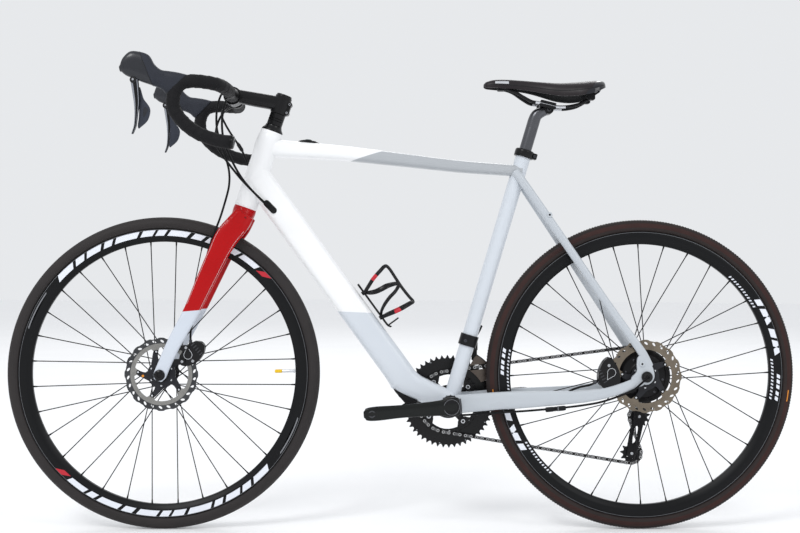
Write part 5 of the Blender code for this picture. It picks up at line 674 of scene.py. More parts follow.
def rear_stays(side, name):
    """Chainstay and seatstay lofts run into a flat dropout plate with the axle's hole; eyelets with their screws."""
    s = through(CHAINSTAY, 8)
    middle = np.stack([s[:, 0], side * s[:, 1], (s[:, 2] + s[:, 3]) / 2], 1)
    lower = skin(rounded(rings(middle, Y, Z, s[:, 4], (s[:, 2] - s[:, 3]) / 2, 32, 2.4), 3))
    s = through(SEATSTAY, 8)
    middle = np.stack([s[:, 0], side * s[:, 1], s[:, 2]], 1)
    ways = unit(np.gradient(middle, axis=0))
    across = unit(Y - ways * ways[:, 1:2])
    upper = skin(rounded(rings(middle, across, np.cross(ways, across), s[:, 3], s[:, 4], 32), 3))
    x, z, r = 526.6, 343, 17.0
    front = [(x - 36, z - 3), (x - 30, z - 16), (x - 12, z - r + 2)]
    low = [(x - 2, z - r), (x + 7, z - r + 1.5)]
    if side > 0:
        low = [(HANGER[0] + a, HANGER[2] + b) for a, b in ((-9, -3), (-4, -9), (4, -9), (9, -3), (9.5, 8))]
    back = [(x + r - 1, z - 5), (x + r, z + 6), (x + 12, z + 24), (x - 2, z + 48), (x - 20, z + 46),
            (x - 22, z + 26), (x - 20, z + 11)]
    outline = smooth_outline(front + low + back, 2)
    plate = slab(outline, side * 67.9, side * 74.9, [circle((x, z), 6.5)])
    # The stays, dropout plates and eyelets take the pale darkened as painted shade.
    parts = [(lower, shaded_stay_paint), (upper, shaded_stay_paint), (plate, shaded_stay_paint)]
    for ex, ez, ey in EYELETS:
        place = np.array([ex, side * ey, ez])
        parts.append((knob(place, side * Y, [(6, -2), (6, 4), (5.4, 4.6), (2.4, 4.6), (2.4, 0.5)], 28), shaded_stay_paint))
        well = [(2.35, 0.4), (2.35, 3.2), (1.2, 3.2), (1, 2.2)]
        parts.append((knob(place, side * Y, well, 16), seam_black))
    if side < 0:
        parts.append((brick(12, 6, 5, -1.2, 1.2, (462, -66, 327), unit([.35, .12, .94]), Y, unit([-.94, 0, .35])),
                      shaded_stay_paint))
    piece(name, "frame", parts, ["rear_stays_left" if side < 0 else "rear_stays_right"], bevel=0.9)


def seat_collar():
    """A turned band with a split ear behind and its cross bolt."""
    band = lathe(BB, SEAT_WAY, [(20.75, 570), (21.35, 571.4), (21.35, 583.4), (20.9, 585), (19.25, 587), (14.1, 587),
                                (14.1, 576.4), (17.1, 576.4), (17.1, 570)], 56)
    back = np.cross(SEAT_WAY, -Y)
    back = back if back[0] > 0 else -back
    ear = seat_at(578.5) + back * 22.75
    halves = [(brick(6.2, 6.6, 2.2, s * 0.7, s * 8, ear, back, Y, SEAT_WAY), gloss_black) for s in (-1, 1)]
    bolt = hexagon_bolt(ear + back * 1.5 - Y * 7.6, -Y, 3.9, 2.9)
    nut = knob(ear + back * 1.5 + Y * 7.6, Y, [(3.7, 0), (3.7, 2.4), (3.2, 2.9)], 18)
    groove = lathe(BB, SEAT_WAY, [(21.3, 576.2), (21.5, 576.5), (21.5, 577.3), (21.3, 577.6)], 48)
    parts = [(band, gloss_black), *halves, (bolt, dark_alloy), (nut, dark_alloy), (groove, satin_black)]
    piece("seat_collar_skin", "frame", parts, ["seat_collar"], bevel=0.5)


def bottom_bracket():
    """Turned cups at both faces of the shell, each with sixteen wrench lugs round its rim, on a sleeve."""
    parts = [(lathe(BB, Y, [(15, -34), (17.8, -34), (17.8, 34), (15, 34)], 40), satin_black)]
    for s in (-1, 1):
        cup = lathe(BB, s * Y, [(15, 34.2), (21.4, 34.2), (21.4, 40.5), (20.4, 42.2), (17, 43), (15, 43)], 64)
        lug = slab(rounded_box(1.6, 1.2, 0.5, (21.6, 0)), s * 35, s * 41.6)
        parts += [(cup, black_alloy), (round_the(lug, BB, turn_steps(16)), black_alloy)]
    piece("bottom_bracket_skin", "frame", parts, ["bottom_bracket_unit"])


CAGE_ORIGIN = np.array([-89.4, 0, 520.3])
DOWN_WAY, DOWN_OUT = unit((0.5922, 0, -0.8058)), unit((0.8058, 0, 0.5922))
CAGE_BRACE = [(2, 5, 5), (7, 12, 20), (13, 24, 35), (16, 38, 40.5), (19, 56, 36), (29, 76, 15), (38, 62, 32),
              (42, 42, 40.5), (48, 24, 33), (55, 11, 17), (61, 5, 6)]
CAGE_ARM = [(2, 3, 2), (-1, 8, 16), (-6, 20, 31), (-13, 38, 40), (-18, 60, 34), (-20, 75, 20), (-10, 79, 12),
            (15, 78, 12), (40, 77, 13), (66, 78, 13), (79, 79, 14), (79, 70, 27), (76, 45, 40), (71, 22, 31),
            (68, 8, 16), (67, 3, 2)]


def cage_at(along, out, y):
    """A point by its distance down the down tube from the cage's upper end, out from it and to the side."""
    return CAGE_ORIGIN + DOWN_WAY * along + DOWN_OUT * out + Y * y


def bottle_cage():
    """Flat lofts along curves through the cage's points: a spine on two posts, an arm each side and a foot."""
    run = through([(-22, 2.6, 7), (0, 2.5, 9), (34, 2.5, 8), (66, 2.5, 9), (88, 2.7, 10), (96, 6.2, 10.8)], 5)
    middle = CAGE_ORIGIN + run[:, :1] * DOWN_WAY + run[:, 1:2] * DOWN_OUT
    spine = skin(rounded(rings(middle, Y, DOWN_OUT, run[:, 2], 2.4, 28, 3), 1.2))
    run = through([(2, 10.8), (18, 11.8), (28, 8.5), (30.5, 6)], 4)
    foot = skin(rounded(rings(cage_at(90, 0, 0) + run[:, :1] * DOWN_OUT, Y, DOWN_WAY, run[:, 1], 1.7, 28, 4), 1.2))
    parts = [(spine, gloss_black), (foot, gloss_black)]
    for s in (-1, 1):
        path = smooth([cage_at(a, o, s * y) for a, o, y in CAGE_ARM], 90)
        across, up = frames_of(path, Y)[1:]
        rows = rings(path, across, up, 4.1, 2.5, 20, 2.6)
        cells = np.zeros((len(path) - 1, 20), int)
        cells[15:19] = 1
        cells[71:75] = 1
        parts.append((skin(rows), [gloss_black, rim_red], cells))
        path = smooth([cage_at(a, o, s * y) for a, o, y in CAGE_BRACE], 80)
        across, up = frames_of(path, Y)[1:]
        wide = np.interp(np.linspace(0, 1, 80), [0, .1, .3, .5, .6, 1], [3, 4.6, 5.6, 4.2, 3, 3])
        parts.append((skin(rings(path, across, up, wide, 1.7, 20, 2.6)), gloss_black))
    for along in (0, 66.6):
        parts += [(knob(cage_at(along, -3, 0), DOWN_OUT, [(4.6, 0), (4.6, 4.2)], 20), gloss_black),
                  (hexagon_bolt(cage_at(along, 4, 0), DOWN_OUT, 4.4, 2.8), dark_alloy)]
    piece("bottle_cage_skin", "frame", parts, ["bottle_cage"])


def top_line(x):
    """The height of the top tube's upper edge at a place along the bike."""
    stations = np.array([row[0] for row in TOP_TUBE], float)
    return np.interp(x, stations[:, 0], stations[:, 1])


TOP_OUT = unit((11, 0, 128))


def controller():
    """A low pod along the top tube: superellipses that rise and fall, with the button's well and a glass strip."""
    s = through([(0, 1.2, .5), (.06, 2.6, .75), (.18, 4.5, .92), (.4, 6.1, 1), (.62, 5.3, .97), (.85, 3.2, .8),
                 (1, 1.2, .45)])
    x = -234 + 46 * s[:, 0]
    middle = np.stack([x, 0 * x, top_line(x) + (s[:, 1] - 2.6) / 2], 1)
    pod = skin(rounded(rings(middle, Y, Z, 9.9 * s[:, 2], (s[:, 1] + 2.6) / 2, 40, 3.4), 0.8))
    place = np.array([-212, 0, top_line(-212)])
    collar = lathe(place, TOP_OUT, [(6.35, 4.6), (7.5, 5.2), (7.7, 6.1), (7.2, 6.5), (6.35, 6.5)], 36)
    strip = brick(4.5, 2.2, 2.1, -0.3, 0.3, (-199, 0, top_line(-199) + 4.55), unit((1, 0, -.16)), unit((.16, 0, 1)),
                  Y)
    piece("controller_skin", "frame", [(pod, black_plastic), (collar, button_ring), (strip, gloss_black)],
          ["controller_housing"])
    cap = lathe(place, TOP_OUT, [(POLE, 3.3), (5.95, 3.3), (5.95, 6.7), (5.5, 7.2), (4.6, 7.38), (3.2, 7.2),
                                 (POLE, 7)], 36, False)
    piece("button_cap", "power_button", [(cap, button_grey)], ["power_button"])


def port_cover():
    """The wedge under the down tube: its side outline carried across, with a moulded finger rib."""
    body = slab([(-20.3, 311), (-20.5, 308.5), (-18, 304.5), (2.6, 280.9), (6.5, 279.6), (31.5, 281.2), (31.5, 284.6),
                 (6, 297)], -21.8, 21.8)
    rib = slab([(-10, 295.4), (-6, 290.8), (-6.8, 290), (-10.9, 294.6)], -9, 9)
    piece("port_cover_skin", "charge_port_cover", [(body, satin_black), (rib, gloss_black)], ["charge_port_cover"],
          bevel=1.6)


def oblong_loop(first, second, radii, per=14):
    """A loop round two points: a half circle of its own radius past each, joined by straight sides."""
    first, second = np.asarray(first, float), np.asarray(second, float)
    way = unit(second - first)
    square = crosswise(way)
    loop = []
    for centre, sign, radius in ((second, 1, radii[1]), (first, -1, radii[0])):
        a = np.radians(np.linspace(-90, 90, per))[:, None]
        loop.append(centre + sign * radius * (way * np.cos(a) + square * np.sin(a)))
    return np.vstack(loop)


def grommet():
    """A round-ended slot plug: a raised rim round a sunk floor."""
    rim, hole, plug = (oblong_loop((-301, 716.6), (-285.9, 701.3), (r, r), 13) for r in (7, 4.9, 5.2))
    rim, floor_plug = slab(rim, -29.3, -25, [hole]), slab(plug, -29, -25)
    piece("grommet_skin", "frame", [(rim, gloss_black), (floor_plug, black_plastic)], ["cable_grommet"],
          bevel=0.7)


for make in (head_tube, top_tube, down_tube, seat_tube, seat_collar, bottom_bracket, bottle_cage, controller,
             port_cover, grommet):
    make()
rear_stays(-1, "rear_stays_near")
rear_stays(1, "rear_stays_far")


def axle_frame(axle, y, radius, angle):
    """Points round an axle: the angle is zero at the top and grows toward the rear."""
    angle, radius, y = np.broadcast_arrays(np.asarray(angle, float), np.asarray(radius, float), np.asarray(y, float))
    return np.stack([axle[0] + radius * np.sin(angle), y, axle[2] + radius * np.cos(angle)], -1)


def turned(axle, profile, sides):
    """A closed turned ring: each profile point is a Y and a radius."""
    y, radius = np.asarray(profile, float).T[:, :, None]
    return skin(axle_frame(axle, y, radius, turn_steps(sides)[None, :]), closed=True)


TYRE_RING, TYRE_HALF, TYRE_STEPS = 327, 16, 240
SPOKES = 32


def tyre_profile(swell):
    """The tyre's round outside between its beads, then its hidden inner wall."""
    angle = np.radians(np.linspace(-28, 208, 41))
    outside = np.stack([TYRE_HALF * np.cos(angle), TYRE_RING + TYRE_HALF * np.sin(angle)], 1)
    outside[:, 1] += swell * np.maximum(0, np.sin(angle)) ** 8
    inner = np.radians([170, 130, 90, 50, 10])
    inside = np.stack([13 * np.cos(inner), TYRE_RING + 13 * np.sin(inner)], 1)
    return np.vstack([[(9.9, 311.8), (9.9, 317.4), (11, 318.4), (12.6, 318.9)], outside,
                      [(-12.6, 318.9), (-11, 318.4), (-9.9, 317.4), (-9.9, 311.8), (-7.7, 311.8), (-7.7, 320)],
                      inside, [(7.7, 320), (7.7, 311.8)]])


def front_tyre():
    """A slick ring with two fine grooves either side of its crown, and a moulding line by each bead."""
    profile = tyre_profile(0)
    angle = np.degrees(np.arctan2(profile[:, 1] - TYRE_RING, profile[:, 0]))
    outer = np.hypot(profile[:, 0], profile[:, 1] - TYRE_RING) > 15.5
    for groove in (66, 114):
        dip = np.exp(-((angle - groove) / 2.2) ** 2) * 0.5 * outer
        profile -= dip[:, None] * np.stack([np.cos(np.radians(angle)), np.sin(np.radians(angle))], 1)
    parts = [(turned(FRONT_AXLE, profile, TYRE_STEPS), front_rubber)]
    for s in (-1, 1):
        line = [(s * 15.2, 322.3), (s * 15.6, 322.7), (s * 15.75, 323.4), (s * 15.2, 323.8)]
        parts.append((turned(FRONT_AXLE, line, 200), front_rubber))
    piece("front_tyre_skin", "front_wheel", parts, ["front_tyre"], sharp=60)


def rear_tyre():
    """A ring with a maroon band on each side, and 11 rows of small studs in a herringbone tread."""
    profile = tyre_profile(-0.8)
    ring = turned(REAR_AXLE, profile, TYRE_STEPS)
    middle = (profile + np.roll(profile, -1, 0)) / 2
    lean = np.degrees(np.arctan2(middle[:, 1] - TYRE_RING, np.abs(middle[:, 0])))
    band = np.repeat(((lean > -6) & (lean < 33)).astype(int), TYRE_STEPS)
    stud = block(0.95, 1.5, 0.75)
    places, turns = [], []
    in_row = 168
    for row, tilt in enumerate(np.radians([-52, -41.5, -31, -20.5, -10, 0, 10, 20.5, 31, 41.5, 52])):
        a = (np.arange(in_row) + 0.5 * (row % 2)) * 2 * math.pi / in_row
        places.append(axle_frame(REAR_AXLE, 15.6 * math.sin(tilt), TYRE_RING + 15.3 * math.cos(tilt), a))
        radial = axle_frame(np.zeros(3), 0, 1, a)
        out = radial * math.cos(tilt) + Y * math.sin(tilt)
        along = np.cross(Y, radial)
        skew = math.copysign(0.5, tilt) if row != 5 else 0.0
        first = along * math.cos(skew) + np.cross(out, along) * math.sin(skew)
        turns.append(np.stack([first, np.cross(out, first), out], 2))
    studs = copies(stud, np.concatenate(turns), np.concatenate(places))
    tick = [mark_on_tyre(s, a, 2.2) for s in (-1, 1) for a in (98, 262)]
    parts = [(ring, [rear_rubber, maroon_rubber], band), (studs, rear_rubber)] + [(t, orange_mark) for t in tick]
    piece("rear_tyre_skin", "rear_wheel", parts, ["rear_tyre"], sharp=60)


def mark_on_tyre(side, angle, wide):
    """A small printed lozenge on the sidewall: a thin patch bent round the tyre's section."""
    a = np.radians(angle + np.linspace(-wide, wide, 9))[:, None]
    lean = np.radians(np.linspace(8, 16, 4))[None, :]
    outer, inner = (axle_frame(REAR_AXLE, side * r * np.cos(lean), TYRE_RING + r * np.sin(lean), a)
                    for r in (16.06, 15.6))
    return skin(np.concatenate([outer, inner[:, ::-1]], 1))


def block(half_x, half_y, height):
    """A small block that tapers upward from a sunk foot."""
    low = np.array([(-half_x, -half_y), (half_x, -half_y), (half_x, half_y), (-half_x, half_y)]) * 1.15
    rows = np.stack([np.insert(low, 2, -0.9, 1), np.insert(low * 0.8, 2, height, 1)])
    points = rows.reshape(-1, 3)
    j = np.arange(4)
    k = (j + 1) % 4
    return outward(points, [np.vstack([np.stack([j, k, k + 4, j + 4], 1), [[3, 2, 1, 0]], [[4, 5, 6, 7]]])])


def rim_profile():
    """The rim's section: round-shouldered flanges, a flat side, a taper to a narrow inner edge and the well."""
    return np.array([(11.6, 317.2), (12, 316.6), (12, 301.6), (11.5, 299.8), (5.9, 290.2), (4.9, 289.1), (3.8, 288.9),
                     (-3.8, 288.9), (-4.9, 289.1), (-5.9, 290.2), (-11.5, 299.8), (-12, 301.6), (-12, 316.6),
                     (-11.6, 317.2), (-10.6, 317.2), (-10.2, 316.7), (-10.2, 311.4), (10.2, 311.4), (10.2, 316.7),
                     (10.6, 317.2)])


DEGREE_MM = 5


def patch(axle, side, loop):
    """A thin decal on a rim's side.

    Its loop is given in angles in degrees and radii, and stands 0.15 mm proud of the side's slope.
    """
    loop = np.asarray(loop, float)
    a = np.radians(loop[:, 0])
    face = np.interp(loop[:, 1], [289.1, 290.2, 299.8, 301.6, 316.6], [4.9, 5.9, 11.5, 12, 12])
    y = side * (face + 0.15)
    top = axle_frame(axle, y, loop[:, 1], a)
    low = axle_frame(axle, y - side * 0.6, loop[:, 1], a)
    n = len(loop)
    points = np.vstack([top, low])
    tris = filled([loop * [DEGREE_MM, 1]])
    j = np.arange(n)
    k = (j + 1) % n
    return outward(points, [np.stack([j, k, k + n, j + n], 1)[:, ::-1], np.vstack([tris, tris[:, ::-1] + n])])


def arc_patch(axle, side, first, last, low, high, lean=0, step=1):
    """A decal between two angles and two radii, its upper edge shifted by the lean in degrees."""
    count = max(2, int(abs(last - first) / step) + 1)
    a = np.linspace(first, last, count)
    loop = np.vstack([np.column_stack([a, 0 * a + low]), np.column_stack([a + lean, 0 * a + high])[::-1]])
    return patch(axle, side, loop)


def rivets(axle, angles, radius, y, side, size, height):
    """Small domed heads round an axle."""
    head = knob((0, 0, 0), (0, side, 0), [(size, -0.3), (size, height * .5), (size * .7, height)], 10)
    spots = axle_frame(axle, y, radius, np.asarray(angles))
    return copies(head, np.broadcast_to(np.eye(3), (len(spots), 3, 3)), spots)


def wheel(axle, body, name, nodes, start, crossing, valve_turn, flange_ys, hub_radius, marks):
    """A rim with its nipples, decals, wear line and valve; the spokes cross from the flanges to the rim."""
    parts = [(turned(axle, rim_profile(), 240), rim_black)]
    for s in (-1, 1):
        line = [(s * 11.9, 314.9), (s * 12.12, 315.1), (s * 12.12, 315.5), (s * 11.9, 315.7)]
        parts.append((turned(axle, line, 200), rim_grey))
    parts += marks
    number = np.arange(SPOKES)
    side, outward_way = number % 2, np.where((number // 2) % 2, 1, -1)
    at_rim = math.radians(start) + turn_steps(SPOKES)
    at_hub = at_rim + np.radians(np.where(outward_way > 0, crossing[0], -crossing[1]))
    flange = np.where(side, flange_ys[1], flange_ys[0])
    hub_end = axle_frame(axle, flange + outward_way * 1.3, hub_radius, at_hub)
    rim_end = axle_frame(axle, np.where(side, 2.5, -2.5) + outward_way * 1.2, 288.3, at_rim)
    spokes = rods(hub_end, rim_end, [1.3, 1.2, 1.12, 1.12, 1.2, 1.2], 8, [0, 0.03, 0.08, 0.86, 0.92, 1])
    way = unit(hub_end - rim_end)
    nipples = rods(rim_end - way * 1.5, rim_end + way * 9.5, [1.9, 1.9, 1.7, 1.35, 1.2], 10, [0, .3, .55, .9, 1])
    out = Y * outward_way[:, None]
    heads = rods(hub_end - out * 0.4, hub_end + out * 1.1, [1.9, 1.9, 1.2], 8, [0, .6, 1])
    parts.append((nipples, gloss_black))
    foot, tip = axle_frame(axle, 0, [290, 262], math.radians(valve_turn))
    inward = unit(tip - foot)
    stem = knob(foot - inward * 2, inward, [(3, 0), (3, 5), (4.8, 5), (4.8, 7), (3.2, 7.6), (3.2, 34), (2.9, 34.6)],
                20)
    cap = lathe(foot + inward * 31, inward, [(POLE, 0), (3.9, 0), (3.9, 12.5), (3.2, 15.5), (POLE, 16)], 16, False)
    parts += [(stem, silver), (cap, yellow_cap)]
    piece(name + "_rim_skin", body, parts, nodes[:1], sharp=34)
    return [(spokes, spoke_steel), (heads, gloss_black)]


def both_ways(axle, rows, look):
    """Decals on both sides of the rim and again on the opposite part of the wheel."""
    return [(arc_patch(axle, s, a0 + turn, a1 + turn, low, high, lean), look)
            for a0, a1, low, high, lean in rows for turn in (0, 180) for s in (-1, 1)]


def front_wheel():
    """The front wheel: white slanted blocks, a wedge and a red lozenge on its rim, a small hub and its spokes."""
    widths = ((-49, 8), (-39.5, 4.2), (-34, 6.5), (-26, 3.6), (-21, 9.5), (-10, 5), (-3.8, 3.6), (1.2, 8), (11, 4.4),
              (17, 9), (27.5, 3.4))
    blocks = [(a, a + wide, 302, 314.6, 1.6) for a, wide in widths]
    marks = both_ways(FRONT_AXLE, blocks + [(32.5, 40.6, 303, 314.6, 1.2)], rim_white)
    marks += both_ways(FRONT_AXLE, [(41.6, 45.2, 303, 314.6, 3.2)], rim_red)
    marks += both_ways(FRONT_AXLE, [(-72, -56, 309.5, 312.2, 0.6)], rim_grey)
    spokes = wheel(FRONT_AXLE, "front_wheel", "front", ["front_rim"], -17.5, (62, 62), 89, (-24, 24), 25, marks)
    f, r = 24, 15.0
    shell = [(-49.6, 8.1), (-49.6, 9), (-44, 13), (-42.6, 17.1), (-39.9, 17.1), (-39.9, 27), (-36.4, 27),
             (-35.6, 25.5), (-34, 19.5), (-f - 5.2, r), (-f - 2.9, r + 1.5), (-f - 2.6, 27), (-f - 1.9, 29),
             (-f + 1.9, 29), (-f + 2.6, 27), (-f + 3.1, r + 1), (-f + 7, r - 1.6), (0, r - 2.6), (f - 7, r - 1.6),
             (f - 3.1, r + 1), (f - 2.6, 27), (f - 1.9, 29), (f + 1.9, 29), (f + 2.6, 27), (f + 3.5, r + 1),
             (f + 9, r - 0.5), (f + 14, 13.6), (48.6, 11.2), (49.6, 9), (49.6, 8.1)]
    parts = [(turned(FRONT_AXLE, shell, 64), black_alloy)]
    for s in (-1, 1):
        seal = [(s * 44.4, 8.2), (s * 49, 8.2), (s * 49, 11.4), (s * 47.5, 12.2), (s * 44.4, 12.6)]
        parts.append((turned(FRONT_AXLE, seal, 40), gloss_black))
    piece("front_hub_skin", "front_wheel", parts + spokes, ["front_hub"], sharp=34)


def rear_wheel():
    """The rear wheel: generic white bars and ticks on its rim, and the finned motor drum with its side covers."""
    bars = [(a, a + w, 302.2, 314.2, lean) for a, w, lean in
            ((56.5, 3, 1.2), (61, 3.6, 1.2), (66, 2.6, -1), (70, 3.8, 1.2), (75, 2.8, 1.2), (79, 2.8, -1))]
    marks = both_ways(REAR_AXLE, bars, rim_white)
    ticks = [(a, a + 0.7, 292.8, 297.2, 0.4) for a in np.concatenate([np.arange(42, 60, 1.5),
            np.arange(83, 100, 1.5)])]
    small = [(a, a + 1.5, 304, 311, 0.6) for a in (89.5, 91.7, 93.9, 96.6, 98.8)]
    marks += both_ways(REAR_AXLE, ticks + small, rim_white)
    spokes = wheel(REAR_AXLE, "rear_wheel", "rear", ["rear_rim"], 10.35, (13, 46), 331.3, (-38.5, 7.5), 56.5, marks)
    left, right, m, b = -47, 16, 55, 30.0
    shell = [(-67.5, 8.1), (-67.5, 9.5), (-61, 17.1), (-56.8, 17.1), (-56.8, 27), (-53.6, 28.5), (left - 4, b),
             (left - 1.6, b + 3), (left - 1, m - 18), (left + 0.3, m - 9.5), (left + 2, m - 5),
             (left + 4.2, m - 2.2), (left + 5.2, m + 2.5), (left + 6.4, m + 4), (left + 10.6, m + 4),
             (left + 11.6, m + 1.5), (left + 12.2, m - 1.5)]
    for y in np.linspace(left + 15, right - 15, 8):
        shell += [(y - 1.1, m - 1.5), (y - 0.6, m - 2.4), (y + 0.6, m - 2.4), (y + 1.1, m - 1.5)]
    shell += [(right - 12.2, m - 1.5), (right - 11.6, m + 1.5), (right - 10.6, m + 4), (right - 6.4, m + 4),
              (right - 5.2, m + 2.5), (right - 4.2, m - 2.2), (right - 1.8, m - 5.5), (right, m - 9.5),
              (right + 1.4, m - 18), (22, 23), (22.4, 15), (64, 15), (67.5, 9.5), (67.5, 8.1)]
    parts = [(turned(REAR_AXLE, shell, 96), black_alloy),
             (rivets(REAR_AXLE, turn_steps(8) + .2, 41, left - 0.6, -1, 2.6, 1), dark_alloy),
             (rivets(REAR_AXLE, turn_steps(8) + .2, 41, right + 0.9, 1, 2.6, 0.8), dark_alloy)]
    piece("rear_hub_skin", "rear_wheel", parts + spokes, ["rear_hub_motor"], sharp=34)


def rotor(axle, y, name, body, node, rim_look, track_look, pip):
    """An outer track with a waved edge and slanted slots, an inner band with five tabs, and a spider."""
    arm_turn = turn_steps(5) + 0.64
    turn = turn_steps(360)
    centre = axle[::2]
    outer = 78.7 + 1.15 * np.tanh(2.5 * np.cos(turn * 16))
    aside = (turn - 0.54 + math.pi / 5) % (2 * math.pi / 5) - math.pi / 5
    inner = 58.5 - 12.0 * np.exp(-(aside / 0.12) ** 4)
    band = slab(circle(centre, 67.2, 360), y - 0.86, y + 0.86, [polar(axle, inner, turn)])
    holes = [circle(centre, 66.6, 360)]
    t = turn_steps(12)
    for a in turn_steps(26) + 0.1:
        spot = np.array([math.cos(a), math.sin(a)])
        long_way = spot * 0.55 + crosswise(spot) * 0.835
        cross_way = crosswise(long_way)
        holes.append(centre + 72.0 * spot + np.outer(4.6 * np.cos(t), long_way)
                     + np.outer(2.3 * np.sin(t), cross_way))
    track = slab(polar(axle, outer, turn), y - 0.84, y + 0.84, holes)
    hub = slab(circle(centre, 30.5, 72), y - 0.87, y + 0.87, [circle(centre, 17.6, 40)])
    ring = turned(axle, [(y - .89, 18), (y - .89, 24), (y + .89, 24), (y + .89, 18)], 60)
    parts = [(track, rim_look), (band, track_look), (hub, spider_black), (ring, spider_black)]
    for a in arm_turn:
        bow = [(along, half, a + 0.30 * (1 - (along - 26) / 28) ** 1.2 - 0.10)
               for along, half in ((26, 11), (33, 8), (41, 6.4), (48, 6.2), (52, 5.2), (54, 3.5))]
        left, right = ([centre + (r * math.cos(t) - s * h * math.sin(t), r * math.sin(t) + s * h * math.cos(t))
                        for r, h, t in bow] for s in (1, -1))
        parts.append((slab(smooth_outline(left + right[::-1]), y - 0.86, y + 0.86), spider_black))
    for s in (-1, 1):
        parts += [(rivets(axle, math.pi / 2 - arm_turn + 0.10, 50.5, y, s, 3, 0.9), silver),
                  (rivets(axle, turn_steps(6), 24.5, y, s, 3.1, 0.89), silver),
                  (rivets(axle, math.pi / 2 - arm_turn[2:3] + pip, 40, y, s, 4, 0.9), orange_mark)]
    piece(name, body, parts, [node], sharp=30)


def axles():
    """Turned rods with a domed nut at each end, a round well in its middle."""
    reach = 12.0
    for axle, face, body, node, length, look in ((FRONT_AXLE, 66.9, "steering", "front_axle", 4.4, gloss_black),
                                                 (REAR_AXLE, 75.3, "frame", "rear_axle", 8, black_alloy)):
        parts = [(rods([axle - Y * face], [axle + Y * face], [7.6], 24), dark_alloy)]
        nut = [(POLE, 0), (reach - .6, 0), (reach, 0.5), (reach, length * 0.45), (reach - 1.4, length * 0.72),
               (8.4, length * .9), (7.6, length), (4.8, length), (4.4, length * 0.55), (POLE, length * 0.5)]
        parts += [(lathe(axle + Y * s * face, s * Y, nut, 44, False), look) for s in (-1, 1)]
        piece(node + "_skin", body, parts, [node])


front_tyre()
rear_tyre()
front_wheel()
rear_wheel()
rotor(FRONT_AXLE, -41, "front_rotor_skin", "front_wheel", "front_rotor", rotor_rim, disc_steel, -0.08)
rotor(REAR_AXLE, -58, "rear_rotor_skin", "rear_wheel", "rear_rotor", rear_disc_steel, rear_disc_steel, -0.42)
axles()


RIGHT_WAY = tilted(5)
RING_TURN = math.radians(37)
PITCH = 12.7
CRANK_LENGTH = 172.5
BOLT_CIRCLE = 55
CHAIN_ROOM = 5.4
GUIDE, TENSION = np.array([530.6, 0, 246.6]), np.array([514.1, 0, 163.5])
LINK_TOP, LINK_LOW = np.array([550, 84, 296]), np.array([550, 46, 264])


def pitch_radius(teeth):
    """Half the pitch over the sine of half a tooth's angle."""
    return PITCH / (2 * math.sin(math.pi / teeth))


def teeth_loop(centre, teeth, phase=0, tall=3.2):
    """A sprocket's edge: a round seat for each roller and a narrow blunt tooth between the seats."""
    shape = np.array([(-0.36, 1), (-0.22, -2.4), (-0.12, -3.5), (0, -3.9), (0.12, -3.5), (0.22, -2.4), (0.36, 1),
                      (0.45, tall), (0.55, tall)])
    angle = phase + (np.arange(teeth)[:, None] + shape[None, :, 0]) * 2 * math.pi / teeth
    radius = pitch_radius(teeth) + shape[None, :, 1] + 0 * angle
    return polar(centre, radius, angle).reshape(-1, 2)


def tangent(first, second):
    """The line that leaves one turning circle and meets the next.

    Each circle is a centre, a radius and a turn of 1 or -1.
    """
    (c1, r1, s1), (c2, r2, s2) = first, second
    gap = np.asarray(c2) - np.asarray(c1)
    way = math.atan2(gap[1], gap[0]) + math.asin((s1 * r1 - s2 * r2) / np.linalg.norm(gap))
    square = np.array([math.sin(way), -math.cos(way)])
    return np.asarray(c1) + square * s1 * r1, np.asarray(c2) + square * s2 * r2


CHAIN_WHEELS = ((BB, 34, 1, 40), (REAR_AXLE, 30, 1, 25), (GUIDE, 11, -1, 25), (TENSION, 11, 1, 25))


def chain_line():
    """Dense points along the chain: an arc round each wheel and a straight run to the next, eased sideways."""
    wheels = [(centre[::2], pitch_radius(teeth), turn, y) for centre, teeth, turn, y in CHAIN_WHEELS]
    ends = [tangent((a[0], a[1], -a[2]), (b[0], b[1], -b[2])) for a, b in zip(wheels, wheels[1:] + wheels[:1])]
    rows = []
    for i, (centre, radius, turn, y) in enumerate(wheels):
        start, leave = ends[i - 1][1], ends[i][0]
        a0, a1 = (math.atan2(p[1] - centre[1], p[0] - centre[0]) for p in (start, leave))
        while -turn * (a1 - a0) < 0:
            a1 -= turn * 2 * math.pi
        a = np.linspace(a0, a1, 120)
        rows.append(np.insert(polar(centre, radius, a), 1, y, axis=1))
        run = ends[i][1] - leave
        length = np.linalg.norm(run)
        straight = min(30, length * 0.4)
        t = np.linspace(0.01, 0.99, 120)
        share = np.clip((t * length - straight) / (length - 2 * straight), 0, 1)
        spot = leave + t[:, None] * run
        rows.append(np.stack([spot[:, 0], y + (wheels[(i + 1) % 4][3] - y) * share, spot[:, 1]], 1))
    return np.vstack(rows)


